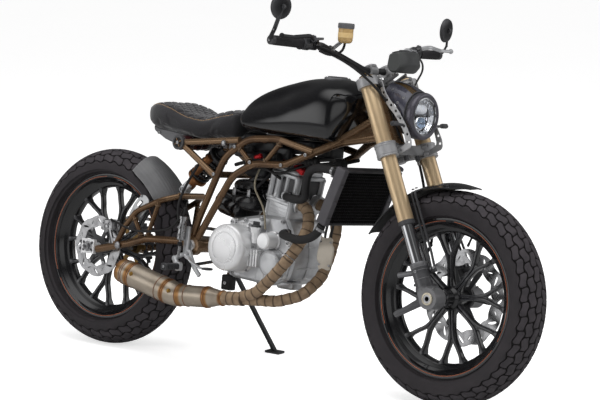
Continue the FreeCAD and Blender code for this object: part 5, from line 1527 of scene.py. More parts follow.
@dataclass
class Engine:
    """Single-cylinder engine: crankcase, covers, and a cylinder leaning forward.

    Attributes:
        outline: the crankcase from the side, as pairs of x and z.
        case_half: half its width.
        lean: forward lean of the cylinder, in degrees.
        foot: where the cylinder's axis meets its foot.
        clutch: the clutch cover's middle.
        filter: the filter cover's middle.
        starter: the starter cover's middle.
    """

    outline: tuple[Point, ...] = (
        (560, 430), (568, 350), (610, 312), (800, 300), (868, 326), (888, 392), (878, 470), (846, 534),
        (740, 534), (662, 520), (600, 500),
    )
    case_half: float = 80.0
    lean: float = 9.5
    foot: Point = (784.0, 0.0, 534.0)
    clutch: Point = (649.0, -78.0, 414.0)
    filter: Point = (794.0, -84.0, 452.0)
    starter: Point = (806.0, -84.0, 378.0)

    def cylinder_place(self) -> Array:
        """The cylinder's own place: z up its axis, x forward."""
        return moving(*self.foot) @ turning((0, 1, 0), self.lean)

    def case(self) -> None:
        """Crankcase halves with a joint flange, cast ribs, bosses and mounting lugs."""
        shape = Shape()
        side = facing(0, 0, 0)
        outline = loop(self.outline, 24)
        shape.plate(outline, 2 * self.case_half, side, edge=7)
        middle = outline.mean(0)
        flange = middle + (outline - middle) * 1.022
        shape.plate(flange, 9, side, edge=1.5)
        for way in SIDES:
            shape.plate(middle + (outline - middle) * 0.93, 8, side @ moving(0, 0, way * -82), edge=2.5)
        for x, z in middle + (np.array(self.outline) - middle) * 0.87:
            for way in SIDES:
                shape.turned([(8.5, 0), (8.5, 5), (7.5, 6.5)], facing(x, way * 84, z, way), 16)
                shape.screw((x, way * 90, z), (0, way, 0), 5.5, 5, mark=1)
        for index in range(6):
            x = 628 + index * 34
            for y in (-84, 84):
                shape.tube(bent([(x, y, 318), (x + 3, y, 344), (x + 8, y, 366)], 30), 2.6, 8)
        for index in range(4):
            z = 330 + index * 36
            shape.tube(bent([(876 + index % 2, -64, z), (886, 0, z + 2), (876, 64, z)], 60), 3, 8)
        for y in (-40, 0, 40):
            shape.turned([(9, 0), (9, 5), (6, 5.4), (6, 9)], aimed((708, y, 306), (0, 0, -1)), 6, 1)
        shape.block((70, 60, 26), moving(846, -44, 296), 8)
        shape.build("crankcase", BIKE, [CAST_SILVER, BOLT], "chassis", ["engine_case"], 32.0, "engine")

    def clutch_cover(self, shape: Shape) -> None:
        """Large round cover with a domed edge, one ring line and screws on bosses round its foot.

        Args:
            shape: where the surfaces go.
        """
        place = facing(*self.clutch)
        profile = [(87, 0), (87, 8), (84, 11), (81, 13), (80, 24), (79.4, 66), (78.4, 75), (75, 81),
                   (69, 84.5), (60, 86.2), (52.6, 86.8), (52, 85.2), (50.8, 85.2), (50.2, 87), (46, 88.2),
                   (30, 89.2), (10, 89.6)]
        shape.turned(profile, place, 96)
        shape.studs(place @ moving(0, 0, 11), 84, 9, 4.2, 0.35, mark=1)
        for turn in ring(9, 0.35):
            spot = put((*polar(83, turn), 0), place)
            shape.turned([(7, 0), (7, 10), (6, 11.4)], aimed(spot, (0, -1, 0)), 14)

    def small_covers(self, shape: Shape) -> None:
        """Filter cover, starter cover, filler neck and the ribbed pump housing, on the right side.

        Args:
            shape: where the surfaces go.
        """
        shape.turned([(33, 0), (33, 6), (29, 9), (28, 50), (27, 54), (25.4, 56), (24.6, 54.8), (23, 54.8),
                      (22, 57.4), (4, 58.4)], facing(*self.filter), 48)
        shape.turned([(50, 0), (50, 6), (46, 8), (45, 24), (43, 29), (38, 31), (36.6, 30), (35, 30),
                      (33.6, 31.6), (5, 32.4)], facing(*self.starter), 56, mark=2)
        shape.studs(facing(*self.starter) @ moving(0, 0, 6), 47, 5, 4, 0.5, mark=1)
        shape.studs(facing(*self.filter) @ moving(0, 0, 6), 31, 3, 4, 1.0, mark=1)
        for z, radius in ((438, 13), (456, 15), (472, 20)):
            shape.turned([(radius * 0.8, 0), (radius, 18), (radius * 0.96, 20)], moving(738, -112, z), 24)
        shape.turned([(17, 0), (17, 5), (15, 7)], moving(738, -112, 492), 28, mark=3)
        shape.block((27, 5, 13), moving(738, -112, 498), 1.5, mark=3)
        shape.block((46, 60, 34), facing(738, -80, 388), 5)
        for index in range(4):
            shape.block((7, 58, 10), facing(720 + index * 12, -112, 388), 2)
        shape.screw((738, -120, 424), (0, -1, 0), 4.4, 5, mark=1)
        for x, z in ((852, 404), (866, 452), (700, 496), (620, 498), (852, 342), (572, 404)):
            shape.turned([(12, 0), (11, 12), (9.5, 14)], facing(x, -84, z), 18)
            shape.screw((x, -98, z), (0, -1, 0), 6, 5, mark=1)

    def generator_cover(self, shape: Shape) -> None:
        """Round cover on the left side, with ribs, a plug and the drive sprocket's guard behind it."""
        place = facing(748, 78, 404, 1)
        shape.turned([(86, 0), (86, 8), (80, 12), (78, 46), (74, 58), (64, 64), (40, 66), (38, 69),
                      (12, 72)], place, 80)
        shape.studs(place @ moving(0, 0, 9), 82, 8, 4.2, 0.2, mark=1)
        shape.turned([(17, 0), (17, 4), (15, 6)], place @ moving(0, 0, 69), 24, mark=3)
        for turn in ring(12, 0.1):
            ends = np.array([(*polar(radius, turn), height) for radius, height in ((42, 67), (76, 56))])
            shape.tube(put(ends, place), 2.4, 8)

    def covers(self) -> None:
        """All round covers as one piece."""
        shape = Shape()
        self.clutch_cover(shape)
        self.small_covers(shape)
        self.generator_cover(shape)
        shape.turned([(24, 0), (24, 58), (21, 61)], facing(546, 20, 408, 1), 32)
        shape.build("engine_side_covers", BIKE, [SMOOTH_SILVER, BOLT, CAST_SILVER, SATIN_BLACK], "chassis",
                    ["engine_covers"], 34.0, "engine")

    def column(self, shape: Shape, x: float, y: float, low: float, high: float, radius: float) -> None:
        """Round bolt tower on the cylinder, with a flared foot, a flared top and a nut."""
        height = high - low
        shape.turned([(radius * 1.3, 0), (radius * 1.04, 8), (radius, 16), (radius, height - 14),
                      (radius * 1.2, height - 4), (radius * 1.1, height)], moving(x, y, low), 20)
        shape.screw((x, y, high), (0, 0, 1), radius * 0.55, 6, mark=1)

    def cylinder(self) -> None:
        """Barrel, head with towers and a black core between them as painted shade for the hollows, cam
        cover, ports and plug.
        """
        shape = Shape()
        shape.block((112, 130, 62), moving(0, 0, -10), 4, 9)
        shape.block((126, 148, 12), moving(0, 0, 44), 3, 9)
        shape.block((132, 152, 10), moving(2, 0, 54), 3, 9)
        # The head's black core between the towers is painted shade standing for the hollows there.
        shape.block((112, 132, 78), moving(2, 0, 64), 5, 8, mark=2)
        shape.block((130, 152, 12), moving(2, 0, 138), 3, 9)
        shape.block((118, 142, 20), moving(2, 0, 148), 8, 6)
        for x in (-34, 2, 38):
            shape.block((22, 122, 12), moving(x, 0, 158), 5)
        for way in SIDES:
            for x, radius in ((-52, 11), (-22, 13), (12, 9), (54, 12)):
                self.column(shape, x + 2, way * 62, 58, 144, radius)
            self.column(shape, 50, way * 66, -8, 62, 10)
            self.column(shape, -50, way * 60, -8, 62, 8)
            shape.turned([(15, 0), (15, 6), (12, 9)], facing(22, way * 70, 76, way), 28)
            shape.screw((22, way * 79, 76), (0, way, 0), 7, 5, mark=1)
            for x in (-44, -14, 16, 46):
                shape.screw((x, way * 64, 170), (0, 0, 1), 5, 4, mark=1)
        for index in range(3):
            sheet = loop([(-57, -66), (57, -66), (57, 66), (-57, 66)], 14)
            shape.plate(sheet, 2.4, moving(0, 0, 8 + 11 * index), edge=0.5)
        shape.turned([(13, 0), (13, 16), (9, 20), (9, 44)], aimed((10, 0, 164), (0, 0, 1)), 24, mark=2)
        for y in (-44, 42):
            start, end = np.array((40.0, y, 66.0)), np.array((78.0, y * 1.02, 58.0))
            shape.turned([(27, 0), (25, 6), (25, 34), (33, 35), (33, 41), (24, 42)],
                         aimed(start, end - start), 32)
            shape.studs(aimed(end + (2, 0, 0), end - start), 29, 2, 4.5, 0.9, mark=1)
        shape.build("cylinder_and_head", BIKE @ self.cylinder_place(), [CAST_SILVER, BOLT, SATIN_BLACK],
                    "chassis", ["cylinder"], 34.0, "engine")

    def lines(self) -> None:
        """Thin oil line, breather hose, coil and plug lead round the cylinder."""
        shape = Shape()
        route = routed([(716, -84, 700), (706, -98, 660), (708, -104, 620), (730, -100, 588),
                        (752, -96, 552), (764, -100, 516), (772, -104, 480)])
        shape.tube(route, 3.4, 10)
        for end, ahead in ((route[0], route[0] - route[1]), (route[-1], route[-1] - route[-2])):
            shape.turned([(5.6, -8), (5.6, 4), (4.6, 6)], aimed(end, ahead), 6, 1)
        shape.build("oil_line", BIKE, [BRAID, BOLT], "chassis")
        dark = Shape()
        dark.tube(routed([(812, 30, 712), (780, 34, 736), (724, 20, 728), (676, 14, 690), (650, 10, 650)]),
                  8.5, 14)
        dark.tube(routed([(858, -30, 700), (900, -22, 742), (940, -6, 752), (980, 10, 740)]), 5, 12)
        dark.tube(routed([(726, -40, 676), (700, -52, 640), (668, -56, 612), (640, -60, 580)]), 6, 12)
        dark.block((60, 34, 42), moving(950, 30, 700), 6)
        dark.build("harness_and_breather", BIKE, [SOFT_RUBBER], "chassis")
        red = Shape()
        red.block((46, 26, 20), moving(864, -66, 690) @ turning((0, 1, 0), 32), 3)
        red.block((34, 30, 16), moving(692, -66, 716) @ turning((0, 1, 0), -20), 3)
        red.block((20, 20, 14), moving(778, -58, 722), 3)
        red.build("red_anodised_clamps", BIKE, [RED_ALLOY], "chassis")

    def intake(self) -> None:
        """Air box with a lid seam and clips, and the throttle body ahead of it."""
        shape = Shape()
        shape.block((116, 150, 62), moving(632, 0, 538), 22, 5, narrow=1.02)
        shape.block((118, 152, 5), moving(632, 0, 597), 2, 5)
        shape.block((114, 148, 40), moving(632, 0, 602), 20, 5, narrow=0.94)
        for way in SIDES:
            for x in (600, 664):
                shape.block((14, 5, 26), moving(x, way * 77, 586), 2, mark=1)
            shape.tube(bent([(640, way * 52, 634), (668, way * 58, 650), (700, way * 46, 652)], 30), 9, 16)
        start, end = np.array((682.0, 0.0, 600.0)), np.array((758.0, 0.0, 616.0))
        place = aimed(start, end - start)
        shape.turned([(27, -4), (27, 8), (24, 10), (24, 22), (29, 23), (29, 28), (24, 30), (24, 66),
                      (28, 67), (28, 74)], place, 40)
        shape.hoop(28, 2, place @ moving(0, 0, 3), mark=1)
        shape.hoop(26, 2, place @ moving(0, 0, 62), mark=1)
        shape.block((30, 46, 24), place @ moving(-26, 0, 32), 5)
        shape.build("air_box_and_throttle", BIKE, [BOX_BLACK, BOLT], "chassis", ["airbox"], 34.0, "airbox")

    def build(self) -> None:
        """The whole engine."""
        self.case()
        self.covers()
        self.cylinder()
        self.lines()
        self.intake()


@dataclass
class Exhaust:
    """Two wrapped headers into a collector, then a titanium silencer along the right side.

    Attributes:
        pipe: radius of the wrapped pipes.
        right: centre line of the right header.
        left: centre line of the left header.
        knee: where the silencer bends up.
        tip: its end.
        lap: length of one turn of the wrap.
        swell: how much the wrap thickens at each overlap.
        step: spacing of the rings of points along the wrap.
    """

    pipe: float = 20.0
    right: tuple[Point, ...] = ((846, -44, 588), (912, -56, 568), (932, -78, 505), (918, -105, 449),
                                (896, -125, 401), (846, -140, 334), (788, -145, 277), (706, -146, 248))
    left: tuple[Point, ...] = (
        (846, 42, 588), (936, 42, 572), (960, 40, 510), (948, 30, 420), (941, 4, 345),
        (918, -60, 283), (850, -104, 256), (706, -146, 248),
    )
    knee: Point = (450.0, -156.0, 229.0)
    tip: Point = (186.0, -161.0, 285.0)
    lap: float = 28.0
    swell: float = 1.5
    step: float = 3.5

    def wrapped(self, shape: Shape, points: Array, radius: float, sides: int) -> Array:
        """Wrapped pipe: each turn of the wrap is wider at its overlap, and its tone counts the turns.

        Args:
            shape: where it is added.
            points: its centre line.
            radius: its radius at an overlap.
            sides: points round it.
        Returns:
            The centre line at even steps.
        """
        line = evenly(points, self.step)
        run = np.arange(len(line)) * self.step / self.lap
        width = radius - self.swell * smooth(run % 1, 0.0, 0.95)
        shape.grid(carried(line, disc(width, sides)), 0, tone=np.repeat(run, sides))
        return line

    def header(self, shape: Shape, points: Sequence[Point]) -> None:
        """One pipe and the flange at its port."""
        line = self.wrapped(shape, bent(points, 90, 10), self.pipe + 0.2, 24)
        start = aimed(line[0], line[1] - line[0])
        shape.turned([(27, -2), (27, 5), (22, 7), (22, 10)], start, 28, mark=1)

    def headers(self) -> None:
        """Both pipes with their flanges, the wrapped collector and steel bands."""
        shape = Shape()
        self.header(shape, self.right)
        self.header(shape, self.left)
        self.wrapped(shape, np.array([(736, -145, 251), (654, -147, 243)]), self.pipe + 4.2, 28)
        corners = bent(self.right, 90, 10)
        line = evenly(corners, self.step)
        for x in (700, 846, 900):
            spot = corners[np.argmin(np.abs(corners[:, 0] - x))]
            near = int(np.clip(np.argmin(np.linalg.norm(line - spot, axis=1)), 1, len(line) - 2))
            shape.hoop(self.pipe + 0.6, 1.6, aimed(line[near], line[near + 1] - line[near]), 32, 6, mark=1)
        shape.build("wrapped_headers", BIKE, [WRAP, STEEL], "chassis", ["header_pipes"], 50.0, "header")

    def silencer(self) -> None:
        """Cone, curved front can and straight rear can with weld rings, tinted by heat at each joint."""
        start = np.array((654.0, -147.0, 243.0))
        knee, tip = np.array(self.knee), np.array(self.tip)
        ahead = unit(knee - start)
        bend = knee - ahead * 26
        front = np.linalg.norm(bend - start)
        away = unit(tip - knee)
        can = np.linalg.norm(tip - knee)
        table = [(0, 24), (6, 27), (12, 24.6), (62, 35), (66, 36), (front - 30, 36), (front - 26, 36.6),
                 (front, 37)]
        back = [(34, 42), (40, 42), (46, 42.6), (can - 38, 42.6), (can - 30, 42), (can - 14, 41.6),
                (can - 6, 38), (can - 1, 32), (can, 27)]
        spots = [start + ahead * s for s, _ in table]
        corner = flowing([spots[-1], knee - ahead * 4 + away * 4, knee + away * 30], 8)[1:-1]
        widths = [r for _, r in table] + list(np.linspace(37.4, 41.8, len(corner))) + [r for _, r in back]
        line = np.array(spots + list(corner) + [knee + away * s for s, _ in back])
        run = run_along(line)
        where = np.unique(np.concatenate([np.arange(0, run[-1], 4.0), run]))
        dense = sampled(line, where)
        radii = np.interp(where, run, widths)
        joints = np.array([3, 64, front, front + 66, run[-1] - 60, run[-1] - 16])
        heat = np.exp(-((where[:, None] - joints) / 11) ** 2).max(1) * 0.7
        shape = Shape()
        shape.grid(carried(dense, disc(radii, 56)), 0, tone=np.repeat(heat, 56))

        def seam(at: float, wide: float = 1.4, mark: int = 1) -> None:
            """A weld ring round the skin."""
            index = int(np.clip(np.searchsorted(where, at), 1, len(where) - 2))
            place = aimed(dense[index], dense[index + 1] - dense[index - 1])
            shape.hoop(radii[index] + 0.2, wide, place, 56, 6, mark)

        for at in (3, 62, 70, front - 28, front + 8, front + 60, front + 66, front + 96, run[-1] - 72,
                   run[-1] - 64, run[-1] - 40, run[-1] - 32, run[-1] - 8):
            seam(at)
        for at in (front + 30, run[-1] - 90):
            index = int(np.searchsorted(where, at))
            out = np.array((0.05, -0.94, 0.3))
            spot = dense[index] + unit(out) * (radii[index] - 1)
            shape.turned([(8, 0), (8, 4), (6, 6)], aimed(spot, out), 6, 2)
            shape.turned([(4, 5), (4, 8)], aimed(spot, out), 12, 2)
        end = aimed(tip, away)
        shape.turned([(27.4, -2), (24, 1), (20, -4), (18.5, -30)], end, 40, mark=3)
        shape.hoop(20, 1.6, end @ moving(0, 0, -1), 40, 6, 0)
        shape.build("titanium_silencer", BIKE, [TITANIUM, COPPER_LINE, BRASS, SATIN_BLACK], "chassis",
                    ["silencer"], 40.0, "silencer")

    def build(self) -> None:
        """Headers and silencer."""
        self.headers()
        self.silencer()


@dataclass
class Cooling:
    """Radiator with a finned core and side tanks, and its two hoses.

    Attributes:
        low: middle of its foot.
        high: middle of its top.
        half: half the core's width.
        tank: width of a side tank.
        depth: depth of the side tanks.
        core: depth of the core.
        hose: radius of the hoses.
        rows: rows of fins.
        folds: folds of a fin, twice over.
    """

    low: Point = (1040.0, 0.0, 535.0)
    high: Point = (1109.0, 0.0, 722.0)
    half: float = 131.0
    tank: float = 25.0
    depth: float = 38.0
    core: float = 30.0
    hose: float = 14.0
    rows: int = 17
    folds: int = 120

    def place(self) -> Array:
        """x across to the left, y up the radiator, z out of its front face."""
        up = unit(np.subtract(self.high, self.low))
        out = np.eye(4)
        out[:3, 0], out[:3, 1], out[:3, 2] = (0, 1, 0), up, np.cross((0, 1, 0), up)
        out[:3, 3] = self.low
        return out

    def radiator(self) -> None:
        """Frame, rows of tubes with folded fins between them, side tanks, cap and brackets."""
        shape = Shape()
        place = self.place()
        height = float(np.linalg.norm(np.subtract(self.high, self.low)))
        for y in (5, height - 5):
            shape.block((2 * self.half - 4, 8, self.core), place @ moving(0, y, -self.core / 2), 1.5, 12)
        pitch = (height - 18) / self.rows
        for index in range(self.rows + 1):
            flat = place @ moving(0, 9 + index * pitch, -self.core / 2)
            shape.block((2 * self.half - 4, 2.6, self.core - 3), flat, 0.8, 10, mark=1)
        x = np.linspace(-self.half + 3, self.half - 3, self.folds)
        fold = np.where(np.arange(self.folds) % 2, 1, -1) * (pitch / 2 - 1.6)
        for index in range(self.rows):
            strip = np.stack([x, 9 + (index + 0.5) * pitch + fold], -1)
            strip = np.concatenate([strip + (0, 0.35), strip[::-1] - (0, 0.35)])
            ends = np.stack([lifted(strip, z) for z in (-self.core / 2 + 4, self.core / 2 - 4)])
            shape.grid(put(ends, place), 1)
        for way in SIDES:
            side = place @ moving(way * (self.half + self.tank / 2), 0, -self.depth / 2)
            edge = [(-12.5, 0), (12.5, 0), (12.5, height), (-12.5, height)]
            shape.plate(loop(edge, 5), self.depth, side @ moving(0, 0, self.depth / 2), edge=2.5)
            for y in (30, 90, 150):
                shape.block((18, 3, 3), side @ moving(0, y, self.depth - 1), 1)
        shape.turned([(15, 0), (15, 8), (21, 9), (21, 15), (18, 18)],
                     place @ moving(143, height - 4, 0) @ turning((1, 0, 0), -90), 32)
        guard = place @ moving(0, 0, self.core / 2 + 1)
        for index in range(23):
            x = -self.half + 6 + index * (2 * self.half - 12) / 22
            shape.block((1.4, height - 20, 1.6), guard @ moving(x, height / 2, 0), 0.4, 8, mark=1)
        shape.build("radiator_core_and_tanks", BIKE, [RADIATOR_BLACK, FIN_BLACK], "chassis", ["radiator"],
                    34.0, "radiator")

    def hoses(self) -> None:
        """Both hoses as moulded, each with a worm clip and a raised bead near its ends."""
        up = unit(np.subtract(self.high, self.low))
        aft = np.array((-up[2], 0, up[0]))
        inlet = np.array(self.low) + up * 175.3 + aft * 19.3 + (0, -142.5, 0)
        routes = (
            [(1038.9, -142.5, 531.9), (1025.7, -142.5, 496.3), (958, -146, 470), (890, -138, 478),
             (852, -118, 484), (852, -80.3, 484)],
            [inlet, inlet + aft * 28, (962, -134, 712), (946, -130, 652), (944, -118, 598),
             (840, -116, 606), (840, -78.3, 606)],
        )
        shape = Shape()
        for points in routes:
            line = evenly(routed(points), 5)
            shape.tube(line, self.hose, 24)
            for index in (3, -4):
                place = aimed(line[index], line[index + 1] - line[index])
                shape.turned([(14.2, -5), (15.2, -4.4), (15.2, 4.4), (14.2, 5)], place, 36, mark=1)
                shape.block((9, 12, 8), place @ moving(0, 15, -4), 1.5, mark=1)
            for index in (1, -2):
                shape.hoop(self.hose - 0.4, 1.4, aimed(line[index], line[index + 1] - line[index]), 32, 6)
        shape.build("moulded_hoses", BIKE, [SOFT_RUBBER, BOLT], "chassis", ["coolant_hoses"], 40.0, "hose")

    def build(self) -> None:
        """Radiator and hoses."""
        self.radiator()
        self.hoses()


def build_drive() -> None:
    """Engine, exhaust and cooling."""
    Engine().build()
    Exhaust().build()
    Cooling().build()


def spline_loop(corners: Array, count: int) -> Array:
    """Smooth closed curve near its corners: the uniform cubic B-spline.

    Args:
        corners: corners of each curve, in the second axis from the end.
        count: points on each curve.
    Returns:
        Points in place of the corners.
    """
    total = corners.shape[-2]
    where = np.arange(count) * total / count
    first = where.astype(int)
    t = (where - first)[:, None]
    shares = ((1 - t) ** 3, 3 * t ** 3 - 6 * t ** 2 + 4, -3 * t ** 3 + 3 * t ** 2 + 3 * t + 1, t ** 3)
    return sum(corners[..., (first + k) % total, :] * share / 6 for k, share in enumerate(shares))


def blended(stations: Sequence[Point], where: Array) -> Array:
    """Station values at other places along the first one, on smooth monotone curves.

    Each value follows a cubic whose end slopes are the harmonic mean of the neighbouring steps.

    Args:
        stations: rows of a place and its values, in order of place.
        where: the other places.

    Returns:
        A row of values for each of them.
    """
    table = np.asarray(stations, float)
    x, values = table[:, 0], table[:, 1:]
    step = np.diff(x)[:, None]
    slope = np.diff(values, axis=0) / step
    before, after = slope[:-1], slope[1:]
    same = before * after > 0
    mean = np.where(same, 2 * before * after / np.where(same, before + after, 1), 0)
    ends = np.concatenate([slope[:1], mean, slope[-1:]])
    index = np.clip(np.searchsorted(x, where, side="right") - 1, 0, len(x) - 2)
    t = ((where - x[index]) / (x[index + 1] - x[index]))[:, None]
    span = step[index]
    return (values[index] * (1 + 2 * t) * (1 - t) ** 2 + ends[index] * span * t * (1 - t) ** 2
            + values[index + 1] * t * t * (3 - 2 * t) - ends[index + 1] * span * t * t * (1 - t))


@dataclass
class Bodywork:
    """A long body drawn as cross-sections along x, with rounded ends.

    Attributes:
        stations: for each x the low edge, high edge, half width and the shares that the sections read.
        edge: rounding at both ends.
        around: points round each section.
        along: sections between the rounded ends.
        end_steps: sections in each rounded end.
    """

    stations: tuple[Point, ...]
    edge: float
    around: int
    along: int
    end_steps: int

    def at(self, where: Array) -> list[Array]:
        """The stations' values at places along x, each as a column."""
        return [column[:, None] for column in blended(self.stations, where).T]

    def fitted(self, where: Array, side: Sequence, rise: Sequence, top: float) -> Array:
        """Smooth loops near corners given as shares, scaled to the low edge, high edge and half width.

        Args:
            where: places along x.
            side: shares of the half width from the foot's middle up, as numbers or columns.
            rise: shares of the height, in the same order.
            top: share of the height at the top's middle.
        Returns:
            An array of rows, section points and 3.
        """
        low, high, half = self.at(where)[:3]
        side, rise = (np.concatenate([np.broadcast_to(share, low.shape) for share in shares], 1)
                      for shares in (side, rise))
        side = np.concatenate([side, 0 * low, -side[:, :0:-1]], 1)
        rise = np.concatenate([rise, 0 * low + top, rise[:, :0:-1]], 1)
        loops = spline_loop(np.stack([side, rise], -1), self.around)
        loops[..., 0] *= half / np.abs(loops[..., 0]).max(1, keepdims=True)
        height = loops[..., 1] - loops[..., 1].min(1, keepdims=True)
        loops[..., 1] = low + height * (high - low) / np.ptp(loops[..., 1], axis=1, keepdims=True)
        return np.concatenate([np.broadcast_to(where[:, None, None], loops.shape[:2] + (1,)), loops], -1)

    def sections(self, where: Array) -> Array:
        """Cross-sections at places along x."""
        raise NotImplementedError

    def drawn_in(self, slack: float = 0.0) -> Array:
        """Rows of the body: sections drawn in by a quarter circle at each end, and everywhere by a slack.

        Args:
            slack: how far every point is drawn in besides.

        Returns:
            The rows of points.
        """
        start, end = self.stations[0][0], self.stations[-1][0]
        quarter = np.linspace(0, math.pi / 2, self.end_steps)
        inset, lift = self.edge * (1 - np.sin(quarter)), self.edge * (1 - np.cos(quarter))
        middle = np.linspace(start + self.edge, end - self.edge, self.along + 2)[1:-1]
        rows = self.sections(np.concatenate([start + lift, middle, end - lift[::-1]]))
        draw = np.concatenate([inset, np.zeros(self.along), inset[::-1]])[:, None, None] + slack
        centre = rows.mean(1, keepdims=True)
        away = rows - centre
        return centre + away * (1 - draw / np.linalg.norm(away, axis=-1, keepdims=True))


@dataclass
class Tank(Bodywork):
    """Gloss black fuel tank: a wide body with knee hollows, a creased nose and a filler on top.

    Its stations end in the height of the widest part as a share, and the depth of the knee hollow as a
    share of the half width.

    Attributes:
        cap_x: where the filler stands.
        clamp: radius of the room that a fork clamp needs.
        clamp_s: height of the upper clamp up the steering.
        stop: how far the bars turn, in degrees.
    """

    stations: tuple[Point, ...] = (
        (600, 826, 893, 88, 0.34, 0.02), (636, 811, 922, 108, 0.34, 0.05),
        (690, 806, 950, 124, 0.36, 0.10), (780, 804, 980, 142, 0.40, 0.13),
        (880, 803, 1003, 155, 0.46, 0.08), (960, 801, 1009, 158, 0.50, 0.02),
        (1024, 800, 1000, 150, 0.52, 0.0), (1058, 852, 984, 122, 0.5, 0.0),
        (1084, 900, 966, 86, 0.5, 0.0),
    )
    edge: float = 15.0
    around: int = 96
    along: int = 70
    end_steps: int = 6
    cap_x: float = 940.0
    clamp: float = 42.0
    clamp_s: float = 737.0
    stop: float = 30.0

    def sections(self, where: Array) -> Array:
        """Cross-sections with a flat floor, a knee hollow over the widest part and a round top."""
        wide, dent = self.at(where)[3:]
        side = (0, 0.55, 0.9, 1.02, 1, 0.94 - dent, 0.8 - 1.6 * dent, 0.58, 0.3)
        rise = (0, 0, 0.01, 0.45 * wide, wide, wide + 0.2, wide + 0.34, 0.86 + 0.14 * wide, 1)
        return self.fitted(where, side, rise, 1.02)

    def scalloped(self, rows: Array) -> Array:
        """Push the skin out of the room that the fork clamps sweep when the bars are at a stop.

        Args:
            rows: the tank's rows of points.

        Returns:
            The rows with the hollows in them.
        """
        to_fork = np.linalg.inv(FORK) @ BIKE
        spots = put(rows, to_fork)
        fork = Fork()
        for side in SIDES:
            stop = math.radians(side * self.stop)
            middle = np.array((fork.offset, side * fork.half)) @ ((math.cos(stop), math.sin(stop)),
                                                                  (-math.sin(stop), math.cos(stop)))
            away = spots[..., :2] - middle
            distance = np.linalg.norm(away, axis=-1, keepdims=True)
            near = (distance < self.clamp) & (np.abs(spots[..., 2:] - self.clamp_s) < 90)
            spots[..., :2] = np.where(near, middle + away / distance * self.clamp, spots[..., :2])
        return put(spots, np.linalg.inv(to_fork))

    def cap(self, shape: Shape) -> None:
        """Flush filler: a plain ring with screws, and a sunk lid with a knurled rim.

        Args:
            shape: where the lid's surfaces go.
        """
        top = self.sections(np.array([self.cap_x]))[0][:, 2].max()
        place = moving(self.cap_x, 0, top - 6)
        steps = 96
        knurl = 1 + 0.008 * np.sign(np.sin(32 * ring(steps)))
        profile = np.array([(44, 0), (44, 6.4), (42, 8.2), (36, 8.6), (34.4, 7), (33.5, 7.6), (33, 10.5),
                            (31, 12.2), (24, 12.6), (22, 11.4), (8, 11.2), (6, 12)])
        rows = revolve(profile, steps)
        rows[5:8, :, :2] *= knurl[None, :, None]
        shape.grid(put(rows[:5], place), 0)
        shape.grid(put(rows[4:], place), 1)
        for turn in ring(6, 0.4):
            shape.screw(put((*polar(39.5, turn), 8.2), place), (0, 0, 1), 2.6, 1.6, mark=2)

    def build(self) -> None:
        """Body and filler."""
        body = Shape().grid(self.scalloped(self.drawn_in()))
        body.build("fuel_tank_shell", BIKE, [GLOSS_BLACK], "chassis", ["fuel_tank"], 50.0, "tank")
        filler = Shape()
        self.cap(filler)
        filler.build("filler_cap_ring", BIKE, [DARK_CAST, SATIN_BLACK, BOLT], "chassis", ["filler_cap"],
                     40.0, "tray")


